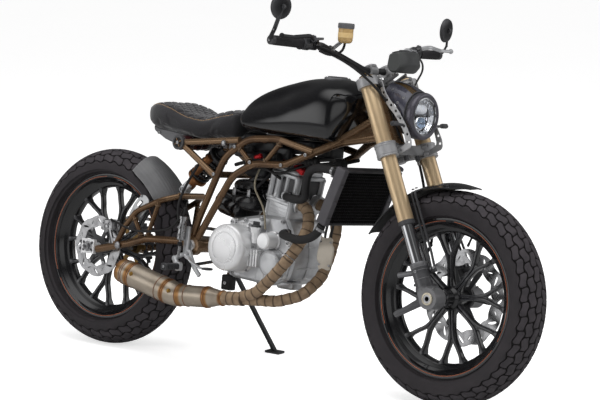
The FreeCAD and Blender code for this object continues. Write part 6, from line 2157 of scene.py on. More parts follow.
@dataclass
class Seat(Bodywork):
    """Long padded seat: a quilted top panel inside a line of tan stitches, and plain side panels.

    Its stations end in the height of the top's edge as a share.

    Attributes:
        panel: half width of the top panel as a share of the half width.
        diamond: distance between quilting lines.
        slack: how much smaller the skin starts than the drawn sections.
        voxel: size of the even mesh.
        pressure: pressure inside while it swells.
        cap: how far a point may move.
        frames: steps of the simulation.
        stitch: length of a stitch with its gap.
    """

    stations: tuple[Point, ...] = (
        (176, 808, 848, 62, 0.55), (196, 797, 868, 96, 0.6), (236, 785, 876, 114, 0.66),
        (300, 778, 864, 122, 0.7), (388, 770, 840, 124, 0.72), (444, 765, 835, 122, 0.72),
        (520, 773, 858, 114, 0.72), (594, 782, 880, 96, 0.72),
    )
    edge: float = 14.0
    around: int = 176
    along: int = 178
    end_steps: int = 7
    panel: float = 0.8
    diamond: float = 34.0
    slack: float = 6.5
    voxel: float = 5.0
    pressure: float = 4.0
    cap: float = 8.0
    frames: int = 20
    stitch: float = 7.0

    def sections(self, where: Array) -> Array:
        """Cross-sections with a nearly flat floor, leaning sides and a soft crown."""
        wide = self.at(where)[3]
        return self.fitted(where, (0, 0.6, 0.93, 0.99, 1.02, 0.97, 0.8, 0.42),
                           (0, 0, 0.02, 0.3, 0.9 * wide, 0.92, 0.99, 1), 1.0)

    def quilted(self, rows: Array) -> Array:
        """Press the quilting into the top: each line is a bell-shaped groove, deepest where two cross.

        Args:
            rows: points of the seat.

        Returns:
            The points with the quilting pressed in.
        """
        x, y, z = np.moveaxis(rows, -1, 0)
        low, high, half, _ = np.moveaxis(blended(self.stations, x.ravel()).reshape(x.shape + (4,)), -1, 0)
        top = smooth(z, low + (high - low) * 0.55, low + (high - low) * 0.8)
        inside = top * (1 - smooth(np.abs(y), self.panel * half - 5, self.panel * half))
        inside = inside * smooth(x, 196, 208) * (1 - smooth(x, 560, 575))

        def line(value: Array) -> Array:
            """A groove where the value is a whole number of diamonds."""
            near = np.abs(value / self.diamond - np.round(value / self.diamond)) * self.diamond
            return np.exp(-(near / 3.2) ** 2)

        quilt = np.maximum(line(x * 0.72 + y), line(x * 0.72 - y))
        welt = top * np.exp(-((np.abs(y) - self.panel * half) / 2.6) ** 2) * smooth(x, 190, 200)
        rows = rows.copy()
        rows[..., 2] -= 3.4 * quilt * inside + 3.0 * welt - 1.6 * inside * (1 - quilt) + 0.8 * inside
        return rows

    def swollen(self, rows: Array) -> tuple[Array, list[list[int]]]:
        """Let the skin swell as cloth, with pressure inside and no gravity, then subdivide it once.

        The skin is remeshed evenly first. No point moves farther than the cap, nor below the base.

        Args:
            rows: the skin, slightly smaller than the finished cushion.
        Returns:
            The points in millimetres and the faces.
        """
        scene = bpy.context.scene
        form = Shape().grid(rows)
        mesh = bpy.data.meshes.new("cushion_form")
        mesh.from_pydata((np.concatenate(form.points) * MM).tolist(), [], form.faces)
        pad = bpy.data.objects.new("cushion_form", mesh)
        scene.collection.objects.link(pad)

        def baked() -> bpy.types.Mesh:
            """The mesh as its modifiers leave it."""
            return bpy.data.meshes.new_from_object(pad.evaluated_get(bpy.context.evaluated_depsgraph_get()))

        even = pad.modifiers.new("even", "REMESH")
        even.mode, even.voxel_size = "VOXEL", self.voxel * MM
        pad.data = baked()
        pad.modifiers.clear()
        start = places(pad.data)
        cloth = pad.modifiers.new("cloth", "CLOTH")
        cloth.settings.use_pressure = True
        cloth.settings.uniform_pressure_force = self.pressure
        cloth.settings.effector_weights.gravity = 0.0
        for step in range(1, self.frames + 1):
            scene.frame_set(step)
        away = places(baked()) - start
        scene.frame_set(1)
        pad.modifiers.clear()
        length = np.maximum(np.linalg.norm(away, axis=1, keepdims=True), 1e-9)
        start += away * np.minimum(1.0, self.cap * MM / length)
        log.info("seat_cushion swelled by %.1f mm on average", np.minimum(length / MM, self.cap).mean())
        start[:, 2] = np.maximum(start[:, 2], blended(self.stations, start[:, 0] / MM)[:, 0] * MM)
        pad.data.vertices.foreach_set("co", start.ravel())
        pad.modifiers.new("finer", "SUBSURF").levels = 1
        final = baked()
        bpy.data.objects.remove(pad)
        return places(final) / MM, [list(face.vertices) for face in final.polygons]

    def stitches(self, shape: Shape, rows: Array, skin: Array) -> None:
        """Tan stitches along the edge of the top panel, lying on the skin.

        Args:
            shape: where the stitches go.
            rows: the seat's drawn rows of points.
            skin: points of the skin that they lie on.
        """
        for side in SIDES:
            line = []
            for row in rows[14:-8]:
                half = blended(self.stations, row[:1, 0])[0, 2]
                upper = row[row[:, 2] > row[:, 2].mean()]
                spot = upper[np.argmin(np.abs(upper[:, 1] - side * (self.panel * half + 3.5)))]
                near = skin[np.argmin(np.hypot(skin[:, 0] - spot[0], skin[:, 1] - spot[1])
                                      + 9 * (skin[:, 2] < spot[2] - 30))]
                line.append((spot[0], spot[1], near[2] + 0.9))
            line = evenly(flowing(line[::6], 6), self.stitch)
            for a, b in zip(line, line[1:]):
                shape.tube(np.array([a, a * 0.6 + b * 0.4 + (0, 0, 0.4), a * 0.35 + b * 0.65]),
                           np.array([0.5, 1.0, 0.5]), 5, mark=1)

    def build(self) -> None:
        """Cushion and stitches."""
        shape = Shape()
        rows = self.drawn_in(self.slack)
        points, faces = self.swollen(rows)
        shape.add(self.quilted(points), faces)
        self.stitches(shape, rows, shape.points[0])
        piece = shape.build("seat_cushion", BIKE, [SEAT_CLOTH, THREAD], "chassis", ["seat"], 60.0, "seat")


def build_body() -> None:
    """Tank and seat."""
    Tank().build()
    Seat().build()


LEVEL = turning((0, 1, 0), STANCE.rake)
FORWARD = aimed((0, 0, 0), (1, 0, 0), (0, 1, 0))
CAST_GREY = Finish("grey_casting", srgb(126, 126, 127), 0.42, 0.6, Grain.CAST, second=srgb(98, 98, 100),
                   patch=35, depth=0.5, worn=srgb(190, 190, 192))
PALE_RING = Finish("pale_ring", srgb(204, 196, 176), 0.3, 0.7, second=srgb(170, 160, 140), patch=12)
LAMP_RING = Finish("lamp_ring", srgb(88, 86, 94), 0.3, 0.6, second=srgb(84, 82, 92), patch=60, coat=0.4)
LAMP_WHITE = Finish("lamp_white", srgb(244, 246, 250), 0.25, second=srgb(224, 228, 236), patch=20, coat=0.5)
DIFFUSER = Finish("lamp_diffuser", srgb(252, 253, 255), 0.4, second=srgb(236, 240, 250), patch=12)
SLATE = Finish("slate_gloss", srgb(66, 66, 76), 0.18, 0.3, Grain.PEEL, second=srgb(50, 50, 60), patch=70,
               coat=1.0)
POD_GREY = Finish("pod_grey", srgb(50, 51, 52), 0.4, 0.1, second=srgb(38, 39, 40), patch=60,
                  worn=srgb(72, 74, 73))
GRIP_RUBBER = Finish("grip_rubber", srgb(30, 29, 31), 0.7, grain=Grain.RUBBER, second=srgb(48, 46, 48))
LEVER_BLACK = Finish("lever_black", srgb(34, 34, 36), 0.32, 0.4, second=srgb(50, 50, 52))
LEVEL_BAND = Finish("level_band", srgb(200, 172, 122), 0.4, second=srgb(186, 156, 104), patch=10)


@dataclass
class Fork:
    """Upside-down fork: gold outer tubes, chrome inner tubes, cast feet and their hardware.

    Attributes:
        offset: the tubes' distance ahead of the steering axis.
        half: their distance from the middle.
        bottom: the gold tubes' lower end, up the steering axis.
        top: their upper end.
        lead: the axle's distance ahead of the steering axis.
        bands: heights of the clamp bands.
    """

    offset: float = 30.0
    half: float = 107.0
    bottom: float = 256.0
    top: float = 757.0
    lead: float = STANCE.lead
    bands: tuple[float, ...] = (484.0, 491.0, 519.0, 526.0)

    def tubes(self) -> None:
        """Gold tubes with a waist under each clamp, and a dark seal ring and cap at their ends."""
        shape = Shape()
        for way in SIDES:
            place = moving(self.offset, way * self.half, 0)
            shape.turned([(22.2, self.bottom), (25.6, self.bottom + 0.6), (26, self.bottom + 4),
                          (26, 470), (25.6, 474), (25.6, 534), (26, 538), (26, self.top - 2),
                          (25, self.top)], place, 64)
            shape.turned([(22, self.bottom - 5), (26.6, self.bottom - 4), (26.9, self.bottom + 6),
                          (26.4, self.bottom + 10)], place, 56, mark=1)
            shape.turned([(23, self.top - 4), (23, self.top + 3), (21, self.top + 5), (13, self.top + 5.4)],
                         place, 48, mark=1)
            shape.turned([(11, self.top + 4), (11, self.top + 11), (9, self.top + 12)], place, 6, 3)
            shape.turned([(5, self.top + 11), (5, self.top + 14)], place, 20, mark=3)
        shape.build("gold_fork_tubes", FORK, [GOLD_TUBE, SATIN_BLACK, BOLT, GOLD_DARK], "steering",
                    ["fork_outers"], 34.0, "fork_outer")

    def feet(self) -> None:
        """Chrome sliders, pinch bolts, drain screws and the boss caps on the cast feet."""
        shape = Shape()
        for way in SIDES:
            place = moving(self.offset, way * self.half, 0)
            shape.turned([(21.8, 121), (21.8, 250)], place, 56)
            shape.turned([(27.6, 108), (28, 112), (28, 120), (26, 124), (22.4, 125)], place, 48, mark=1)
            for s in (14, 34):
                shape.screw((self.lead + 22, way * (self.half + 14), s - 8), (1, 0, 0.2), 5, 5, mark=2)
            for s in (40, 70, 98):
                shape.hoop(27.2, 1.2, place @ moving(0, 0, s), 48, 6, mark=1)
            shape.screw((self.offset, way * (self.half + 26), 96), (0, way, 0), 5, 4, mark=2)
        shape.build("fork_sliders", FORK, [CHROME, DARK_CAST, BOLT], "steering")

    def axle(self) -> None:
        """Pale ring and dark hexagonal recess at each end of the front axle."""
        shape = Shape()
        for way in SIDES:
            place = aimed((self.lead, way * 134.2, 0), (0, way, 0), (1, 0, 0))
            shape.turned([(20.4, 0), (20.4, 2.6), (19.4, 3.8), (14.5, 4), (13.8, 3), (13.8, 0)], place, 48,
                         closed=True)
            shape.turned([(13.9, 0.2), (13.9, 2.4), (9.5, 2.4), (9.5, 0.2)], place, 6, 1, True)
        shape.build("front_axle_rings", FORK, [PALE_RING, SATIN_BLACK], "steering")

    def yokes(self) -> None:
        """Clamp bands, pinch bolts and the stem nut on the cast yokes."""
        shape = Shape()
        for way in SIDES:
            place = moving(self.offset, way * self.half, 0)
            for s in self.bands:
                shape.hoop(35.0, 1.5, place @ moving(0, 0, s), 48, 6)
            ahead = unit((1, way * 0.5, 0))
            for s in (493, 517, 737):
                spot = np.array((self.offset + 24, way * (self.half - 27), s))
                shape.turned([(7, -12), (7, 3), (6, 4)], aimed(spot, ahead), 18)
                shape.screw(spot + ahead * 4, ahead, 5, 5, mark=1)
            for y in (52, 32):
                shape.screw((11, way * y, 806), (0, 0, 1), 4.5, 4, mark=1)
            shape.block((38, 36, 14), moving(11, way * 42, 796), 6, 5)
        shape.turned([(20, 750), (20, 756), (17, 760)], np.eye(4), 6, 1)
        shape.turned([(10, 759), (10, 765), (8, 766)], np.eye(4), 24, mark=1)
        for y in (-30, 30):
            shape.turned([(9, 468), (9, 484)], moving(44, y, 0), 6, 2)
        shape.build("yoke_hardware", FORK, [CAST_GREY, BOLT, SATIN_BLACK], "steering")

    def build(self) -> None:
        """The whole fork."""
        self.tubes()
        self.feet()
        self.axle()
        self.yokes()


@dataclass
class Headlight:
    """Round lamp in a thick ring, with a split reflector, a cowl behind it and two drilled arms.

    Attributes:
        x: the lamp's middle ahead of the steering axis.
        s: the same up the axis.
        glass: radius of the front glass.
        dip: how far each projector lies below the middle.
        cowl_radius: radius of the cowl round the bowl.
        sweep: half the angle that the cowl covers, in degrees.
    """

    x: float = 136.6
    s: float = 585.0
    glass: float = 57.5
    dip: float = 22.0
    cowl_radius: float = 78.0
    sweep: float = 95.0

    def place(self) -> Array:
        """z out of the lens, x to the left, y up; level."""
        return moving(self.x, 0, self.s) @ LEVEL @ FORWARD

    def bowl(self) -> None:
        """Shell, thick ring, chrome inner ring, and the reflector with its two projectors."""
        shape = Shape()
        place = self.place()
        for profile, mark in (
                ([(12, -97), (37.5, -96), (51, -86), (60, -74), (66, -64), (71, -50), (75, -34), (75, -20),
                  (70, -20), (66, -34), (58, -62), (40, -84), (12, -88)], 1),
                (crowned([(75, -20), (76.6, -14), (77, -4), (73, 2.6), (66, 4), (60.5, 1.6), (60, -5),
                          (64, -12), (66, -20)], 3), 0),
                ([(60.6, 1), (58.6, 2), (57, 0.6), (56, -8), (60, -9)], 2),
                ([(58, -8), (55, -14), (49, -20), (47, -26), (2, -30), (2, -34), (60, -34)], 2)):
            shape.turned(profile, place, 96, mark, True)
        for turn in ring(20, 0.1):
            nut = place @ moving(*polar(52, turn), -16)
            shape.turned([(3.4, 0), (3.2, 2.4), (1.6, 3.4)], nut, 10, mark=3)
        shape.block((92, 4, 14), place @ moving(0, 1, -28), 1.2, mark=1)
        shape.block((70, 32, 12), place @ moving(0, 22, -30), 5, 3.2, mark=3)
        shape.block((58, 22, 16), place @ moving(0, 21, -30), 5, 3.0, mark=4)
        shape.turned([(24, -30), (24, -20), (22, -18), (19.5, -17)], place @ moving(0, -self.dip, 0), 48,
                     mark=2)
        for x in (-34, 34):
            shape.turned([(7, -30), (7, -22), (5, -19)], place @ moving(x, -18, 0), 20, mark=1)
        shape.build("headlight_bowl", FORK, [LAMP_RING, SATIN_BLACK, CHROME, LAMP_WHITE, DIFFUSER],
                    "steering", ["headlight"], 30.0, "lamp")
        glass = Shape()
        dome = [(19, -18), (18, -12), (15, -7.5), (10, -4.6), (4, -3.2)]
        glass.turned(dome, place @ moving(0, -self.dip, 0), 40, mark=1)
        radius = np.linspace(self.glass, 3, 12)
        front = np.stack([radius, 0.4 + 5.2 * (1 - (radius / self.glass) ** 2)], -1)
        glass.turned(np.concatenate([front, front[::-1] - (0, 2.2)]), place, 72, closed=True)
        glass.build("headlight_glass", FORK, [LENS, BLUE_LENS], "steering")

    def sheet(self, low: float, high: float, rows: int, columns: int, lift: float = 0.0) -> Array:
        """Part of the cowl: from a ring round the bowl to an arch under the top yoke.

        Args:
            low: start round the arch, from -1 at the right foot to 1 at the left.
            high: end round the arch.
            rows: points from front to back.
            columns: points round the arch.
            lift: how far outside the cowl's own face.
        Returns:
            An open array of rows, columns and 3.
        """
        across = np.linspace(low, high, columns)
        arc = polar(self.cowl_radius + lift, across * math.radians(self.sweep))
        front = lifted(arc, -26.0)[:, [2, 1, 0]]
        bulge = np.sqrt(np.clip(1 - 0.94 * across ** 2, 0, None))
        tail = np.array((62.0, 0.0, 724.0)) - (self.x, 0, self.s)
        tail = put(tail, np.linalg.inv(LEVEL))
        back = np.stack([np.full(columns, tail[0]), (57 + lift) * across,
                         tail[2] - 46 + (54 + lift) * bulge], -1)
        t = np.linspace(0, 1, rows)[:, None, None]
        out = front * (1 - t) + back * t
        out[..., 2] += 7 * np.sin(math.pi * t[..., 0])
        return put(out, moving(self.x, 0, self.s) @ LEVEL)

    def cowl(self) -> None:
        """Gloss side sheets, a gold mesh panel let into the top, a rim and screws."""
        shape = Shape()
        for low, high, columns, lift, thick, mark in ((-1, -0.34, 14, 0, 2.4, 0), (0.34, 1, 14, 0, 2.4, 0),
                                                      (-0.35, 0.35, 16, -2, 1.6, 4),
                                                      (-0.12, 0.12, 8, 1.4, 2.0, 0)):
            shape.shell(self.sheet(low, high, 12, columns, lift), thick, mark)
        lines = self.sheet(-0.34, 0.34, 22, 19, -0.6)
        for index in range(0, 19, 2):
            shape.tube(lines[:, index], 0.9, 6, mark=1)
        for index in range(1, 21):
            shape.tube(lines[index], 0.9, 6, mark=1)
        rim = self.sheet(-1, 1, 12, 40, 0.8)
        shape.tube(rim[0], 2.2, 8, mark=2)
        for edge in (self.sheet(-1, -0.36, 12, 2, 1)[:, -1], self.sheet(0.36, 1, 12, 2, 1)[:, 0]):
            shape.tube(edge, 1.5, 8, mark=2)
        for way in SIDES:
            for across, row in ((0.62, 2), (0.7, 8), (0.9, 4)):
                spots = self.sheet(way * across - 0.01, way * across + 0.01, 12, 3, 0)
                out = unit(np.cross(spots[row + 1, 1] - spots[row, 1], spots[row, 2] - spots[row, 0]))
                out = out if out[1] * way > 0 else -out
                shape.screw(spots[row, 1] - out * 0.5, out, 5, 4, mark=3)
        shape.build("headlight_cowl", FORK, [SLATE, GOLD_DARK, SATIN_BLACK, BOLT, MATTE_BLACK],
                    "steering", ["headlight_mount"], 34.0, "lamp_arm")

    def arms(self) -> None:
        """Two drilled side plates, and a stalk with a small lamp on each."""
        arms = Shape()
        outline = loop([(58.5, 753), (72, 753), (73, 690), (84, 654), (101, 620), (114, 566), (120, 512),
                        (112, 486), (58.5, 483), (58.5, 500), (96, 506), (99, 550), (84, 606), (66, 648),
                        (58.5, 678)], 12)
        spots = ((65.5, 738), (65.5, 715), (65.5, 692), (71, 665), (81, 643), (92, 618), (101, 590),
                 (107, 561), (110, 532), (108, 506))
        for way in SIDES:
            place = facing(0, way * 84.3, 0)
            drilled = [disc(4.3, 20) + np.array(spot) for spot in spots]
            arms.plate(outline, 4.2, place, drilled, edge=0.8)
            arms.turned([(6, 0), (6, 8)], aimed((96, way * 76, 598), (0, way, 0)), 20, mark=1)
            for x, s in ((72, 492), (96, 598), (66, 727)):
                arms.screw((x, way * 86, s + 1), (0, way, 0), 4.6, 4, mark=1)
            root = np.array((104.0, way * 87, 566.0))
            stalk = np.array([root, root + (2, way * 24, 1), root + (4, way * 34, 2)])
            arms.tube(stalk, np.array([5.0, 4.4, 4.4]), 14, mark=2)
            lamp = aimed(stalk[-1] - (0, way * 4, 0), (0, way, 0), (0, 0, 1))
            arms.block((15, 15, 34), lamp, 5, 3, mark=2)
        arms.build("headlight_arms", FORK, [CAST_GREY, BOLT, SATIN_BLACK], "steering")

    def dash(self) -> None:
        """Faceted instrument pod: a grey shell, a dark glass face with a bezel, and two buttons."""
        shape = Shape()
        place = moving(117, 0, 781) @ LEVEL
        outline = [(-31, -16), (-17, -36), (11, -36), (31, -12), (19, 36), (-25, 26)]
        middle = np.array(outline).mean(0)
        body = loop(outline, 7)
        levels = ((-56, 0.80), (-53, 0.90), (-44, 0.985), (-20, 1.0), (20, 1.0), (44, 0.985), (53, 0.90),
                  (56, 0.80))
        side = facing(0, 0, 0)
        rows = np.stack([lifted(middle + (body - middle) * share, y) for y, share in levels])
        shape.grid(put(rows, place @ side))
        face = place @ aimed((-3.0, 0.0, 31.6), (-10.0, 0.0, 44.0), (0, 1, 0))
        corners = np.array(((-1, -1), (1, -1), (1, 1), (-1, 1)))
        shape.plate(loop(corners * (46, 19), 8), 3, face, edge=1, mark=1)
        shape.plate(loop(corners * (41, 15), 6), 1.6, face @ moving(0, 0, 2), edge=0.4, mark=2)
        shape.turned([(13, 2.5), (13, 3.6), (11.8, 3.8)], face, 36, mark=1)
        for y in (-34, 34):
            shape.turned([(4, 2), (4, 4.4), (3, 5)], face @ moving(y, -10, 0), 18, mark=1)
        shape.build("instrument_pod", FORK, [POD_GREY, SATIN_BLACK, SMOKED], "steering", ["dash"], 24.0,
                    "dash")

    def build(self) -> None:
        """Lamp, cowl, arms and dash."""
        self.bowl()
        self.cowl()
        self.arms()
        self.dash()


@dataclass
class Fender:
    """Thin gloss mudguard that narrows to a point in front, on four stays.

    Attributes:
        inner: radius of its inner face at the crown.
        half: half its width.
        drop: how far its edges lie below the crown.
        thick: thickness.
        start: angle up from straight ahead where it ends in front, in degrees.
        end: the same behind.
        tip: width of its front end as a share.
    """

    inner: float = 365.0
    half: float = 66.0
    drop: float = 16.0
    thick: float = 3.5
    start: float = 81.0
    end: float = 151.0
    tip: float = 0.45

    def sheet(self, out: float = 0.0) -> Array:
        """The outer face: an arch along the wheel and a crown across it, pinched at the tip."""
        t = np.linspace(0, 1, 56)
        angle = np.radians(self.start + t * (self.end - self.start))[:, None]
        across = np.linspace(-1, 1, 33)[None, :]
        wide = self.half * (self.tip + (1 - self.tip) * smooth(t, -0.02, 0.16))[:, None]
        wide = wide * (1 - 0.06 * smooth(t, 0.8, 1.0))[:, None]
        radius = self.inner + self.thick + out - self.drop * np.abs(across * wide / self.half) ** 2.2
        radius = radius - 5 * (1 - smooth(t, 0, 0.2))[:, None]
        return np.stack([radius * np.cos(angle), across * wide, radius * np.sin(angle)], -1)

    def build(self) -> None:
        """Guard with a matte lining, its stays and screws."""
        hub = STANCE.hub(True)
        shape = Shape()
        shape.shell(self.sheet(), self.thick * inward(self.sheet()))
        lining = self.sheet(-self.thick - 0.2)
        shape.shell(lining, inward(lining), mark=1)
        shape.build("front_mudguard", hub, [GLOSS_BLACK, MATTE_BLACK], "steering", ["front_fender"], 50.0,
                    "fender")
        stays = Shape()
        for way in SIDES:
            for foot, high in (((63, 88), (60, 350.8)), ((77, 88), (74, 350.8))):
                start = np.array((foot[0], way * 92, foot[1]))
                corner = np.array((high[0], way * 81, high[1]))
                end = np.array((high[0], way * 58, high[1] + 3))
                stays.tube(bent([start, start + (4, 0, 60), corner - (0, 0, 20), corner, end], 30), 4, 14)
                stays.screw(start + (0, way * 4, 6), (0, way, 0), 4.6, 4, mark=1)
            stays.block((28, 10, 16), moving(67.4, way * 92, 80), 3, 5)
            for x in (60, 74):
                stays.screw((x, way * 66, 361), (0.3, way * 0.2, 1), 4.6, 4, mark=1)
        stays.build("mudguard_stays", FORK, [SATIN_BLACK, BOLT], "steering")


def inward(sheet: Array) -> float:
    """Sign of the thickness that lets Shape.shell put a sheet's second face nearer to the y axis."""
    normal = np.cross(np.gradient(sheet, axis=0), np.gradient(sheet, axis=1))
    middle = tuple(count // 2 for count in sheet.shape[:2])
    return -1.0 if normal[middle] @ (sheet[middle] * (1, 0, 1)) < 0 else 1.0


@dataclass
class FrontBrake:
    """Radial caliper of two halves, its bracket, and the hose down to it.

    Attributes:
        centre: the caliper's middle.
    """

    centre: Point = (-88.0, 73.0, 66.0)

    def build(self) -> None:
        """Caliper with windows, pistons, pads and bolts; the braided hose with its banjo ends."""
        x, y, s = self.centre
        shape = Shape()
        for way in SIDES:
            side = facing(x, y + way * 13, s, way)
            outline = loop([(-33, -40), (20, -42), (33, -28), (30, 10), (33, 36), (10, 42), (-22, 38),
                            (-33, 14)], 9)
            if way > 0:
                outline = outline * (1, -1)
            windows = [loop(corners, 3) for corners in (
                ((-22, -22), (-4, -30), (-8, -10)), ((-20, 22), (-4, 30), (-8, 10)),
                ((6, -28), (22, -22), (12, -8)), ((6, 28), (22, 22), (12, 8)))]
            shape.plate(outline, 16, side @ moving(0, 0, -1), edge=2.5)
            shape.plate(outline * 0.93, 6, side @ moving(0, 0, 9), windows, edge=1)
            for v in (-19, 19):
                shape.turned([(13, 8), (13, 13), (10, 14.6), (8, 13.4)], side @ moving(0, v, 0), 28)
            for u, v in ((-26, -30), (24, -33), (-25, 30), (22, 34)):
                shape.screw(put((u, v, 11), side), (0, way, 0), 4.6, 4, mark=1)
        shape.block((26, 18, 60), moving(x, y, s - 30), 3, mark=2)
        for s_bolt in (102, 40):
            start, end = np.array((-66.0, 92.0, s_bolt)), np.array((-50.0, 100.0, s_bolt))
            shape.turned([(7, 0), (7, 12), (9, 13), (9, 20)], aimed(start, end - start), 20, mark=1)
        shape.build("radial_caliper", FORK, [STEEL, BOLT, SATIN_BLACK], "steering", ["front_caliper"], 34.0,
                    "caliper")
        hose = Shape()
        route = routed([(8, 84, 481.7), (8, 84, 444), (-14, 90, 330), (-24, 94, 220), (-84, 92, 176),
                        (-84, 92, 108.3)])
        hose.tube(route, 4.6, 14)
        for end, ahead in ((route[0], route[1]), (route[-1], route[-2])):
            hose.turned([(6.4, 0), (6.4, 12), (5, 15)], aimed(end, ahead - end), 18, mark=1)
        for index in (24, 34):
            place = aimed(route[index], route[index + 1] - route[index])
            hose.turned([(5, -4), (6.6, -3), (6.6, 3), (5, 4)], place, 18, mark=2)
        hose.build("front_brake_line", FORK, [SOFT_RUBBER, BOLT, MATTE_BLACK], "steering",
                   ["front_brake_hose"], 40.0, "hose")


@dataclass
class Bars:
    """Handlebar ends: grips, switches, levers, the brake reservoir and bar-end mirrors.

    Attributes:
        points: corners of the bar's left half, in the steering's frame.
        grip: radius of a grip.
        grip_length: its length.
        cup: foot of the brake fluid cup.
        mirrors_at: the mirrors' middles, right and left.
    """

    points: tuple[Point, ...] = ((11, 78, 790), (-20, 150, 850), (-28, 215, 884), (-42, 432, 895))
    grip: float = 16.0
    grip_length: float = 118.0
    cup: Point = (36.0, -176.0, 872.0)
    mirrors_at: tuple[Point, Point] = ((26.0, -442.0, 981.0), (26.0, 436.0, 958.0))

    def end(self, way: int) -> tuple[Array, Array]:
        """The bar's end on one side and the way out along it."""
        last, before = (np.array(spot) * (1, way, 1) for spot in (self.points[3], self.points[2]))
        return last, unit(last - before)

    def grips(self) -> None:
        """Ribbed rubber, flanges, throttle drum, switch blocks, clamps and levers on both sides."""
        shape = Shape()
        for way in SIDES:
            end, along = self.end(way)
            place = aimed(end, along, (1, 0, 0))
            start = -self.grip_length
            where = np.arange(start + 6, 1, 1.6)
            ribs = self.grip - 0.9 + 0.9 * (np.sin(where * TAU / 6.4) > -0.2)
            profile = [(11.4, start), (20.5, start + 0.5), (20.5, start + 3.5), (16.4, start + 5)]
            profile += list(zip(ribs, where)) + [(16, 3), (15, 6), (11.4, 6.5)]
            shape.turned(profile, place, 40)
            inner = start - 8
            shape.turned([(11.6, inner - 2), (18, inner - 1), (18, inner + 6), (17, inner + 8)], place, 32,
                         mark=1)
            perch = place @ moving(0, 0, inner - 60)
            metal = 2 if way > 0 else 3
            shape.block((34, 38, 32), perch @ moving(2, 0, 28), 5, 4, mark=1)
            shape.turned([(17.6, 0), (17.6, 20), (16, 22)], perch, 32, mark=metal)
            shape.block((16, 16, 24), perch @ moving(18, 4, 4), 3, mark=metal)
            for z in (5, 15):
                shape.screw(put((22, -9, z), perch), -perch[:3, 1], 3.6, 3, 4)
            pivot = put((0, 0, inner - 24), place) + (30, 0, 4)
            shape.turned([(10, -9), (10, 9), (8, 10)], aimed(pivot, (0, 0, 1)), 24, mark=1)
            shape.screw(pivot + (0, 0, 10), (0, 0, 1), 5, 4, mark=4)
            route = bent([pivot, pivot + along * 40 + (22, 0, 0), pivot + along * 110 + (16, 0, -8),
                          pivot + along * 172 + (20, 0, -10)], 40, 10)
            spread = np.linspace(0, 1, len(route))[:, None, None]
            blade = soft_box(8.6, 15, 2.6, 20)[None] * (1 - 0.25 * spread)
            shape.grid(carried(route, blade), metal)
            ball = polar(8.6, np.linspace(0.01, math.pi - 0.01, 13) - math.pi / 2)
            shape.turned(ball, aimed(route[-1], along), 20, mark=metal)
            rod = aimed(pivot + (2, 0, 0), (0.3, 0, 0) - along)
            shape.turned([(6, 0), (5, 10), (4, 34)], rod, 16, mark=4)
        end, along = self.end(1)
        left = aimed(end, along, (1, 0, 0)) @ moving(0, 0, -self.grip_length - 62)
        shape.block((40, 44, 30), left @ moving(-2, 0, 24), 7, 4, mark=1)
        shape.turned([(5, 0), (5, 7), (4, 8.5)], aimed(put((-22, 8, 40), left), (-1, 0, 0.3)), 18, mark=5)
        shape.turned([(4, 0), (4, 5), (3, 6)], aimed(put((-22, -6, 34), left), (-1, 0, 0)), 18, mark=4)
        finishes = [GRIP_RUBBER, SATIN_BLACK, CAST_SILVER, LEVER_BLACK, BOLT, RED_ALLOY]
        shape.build("hand_controls_dressed", FORK, finishes, "steering", ["hand_controls"], 34.0, "grip")

    def reservoir(self) -> None:
        """Cup of fluid with a level band, grey screw lid, clamp and bracket."""
        shape = Shape()
        up, foot = LEVEL[:3, 2], np.array(self.cup)
        place = aimed(foot, up, (1, 0, 0))
        shape.turned([(10, -3), (17, -2), (22, 2), (24, 8), (24.4, 44)], place, 48)
        shape.turned([(24.6, 15), (24.7, 16), (24.7, 30), (24.6, 31)], place, 48, mark=3)
        shape.turned([(25.4, 44), (26, 46), (26, 60), (24.6, 62), (12, 62.4), (11, 61)], place, 32, mark=1)
        for turn in ring(24):
            shape.block((1.6, 2.4, 13), place @ moving(*polar(25.8, turn), 46.5), 0.5, mark=1)
        right = [np.array(spot) * (1, -1, 1) for spot in self.points]
        middle = (right[1] + right[2]) / 2
        run = unit(right[2] - right[1])
        clamp = aimed(middle, run)
        shape.turned([(11.4, -8), (16, -7.4), (16, 7.4), (11.4, 8)], clamp, 28, mark=2)
        shape.tube(np.array([middle, middle * 0.4 + (foot + up * 12) * 0.6, foot + up * 12]), 6, 14, mark=2)
        shape.screw(middle + unit((1, -0.3, 0.2)) * 15, (1, -0.3, 0.2), 5, 4, mark=4)
        shape.build("brake_fluid_cup", FORK, [FLUID, GREY_PLASTIC, STEEL, LEVEL_BAND, BOLT], "steering",
                    ["brake_reservoir"], 34.0, "reservoir")

    def cables(self) -> None:
        """The cup's hose, two throttle cables, the clutch cable and the brake line down to the fork."""
        up, foot = LEVEL[:3, 2], np.array(self.cup)
        cables = Shape()
        cables.tube(routed([foot + up * 4, foot + (-4, -8, -22), foot + (-16, -34, -36),
                            foot + (-36, -62, -34), foot + (-44, -86, -16)]), 4.2, 12)
        for drop, reach in ((0, 0), (9, 12)):
            cables.tube(routed([(-30 + drop, -258, 878), (10 + drop, -236, 850), (48 - reach, -190, 800),
                                (62 - reach, -120, 748), (60, -60, 690), (50, -36, 650), (44, -26, 612)]),
                        3.4, 10)
        cables.tube(routed([(-26, 262, 880), (22, 240, 850), (60, 186, 790), (66, 110, 736), (58, 50, 680),
                            (50, 34, 640), (44, 22, 602)]), 3.4, 10)
        cables.tube(routed([(-20, -250, 868), (30, -214, 820), (66, -140, 730), (66, -64, 640),
                            (30, -20, 560), (18, 40, 500), (8, 80, 486)]), 4.2, 12)
        cables.build("bar_cables", FORK, [SOFT_RUBBER], "steering")

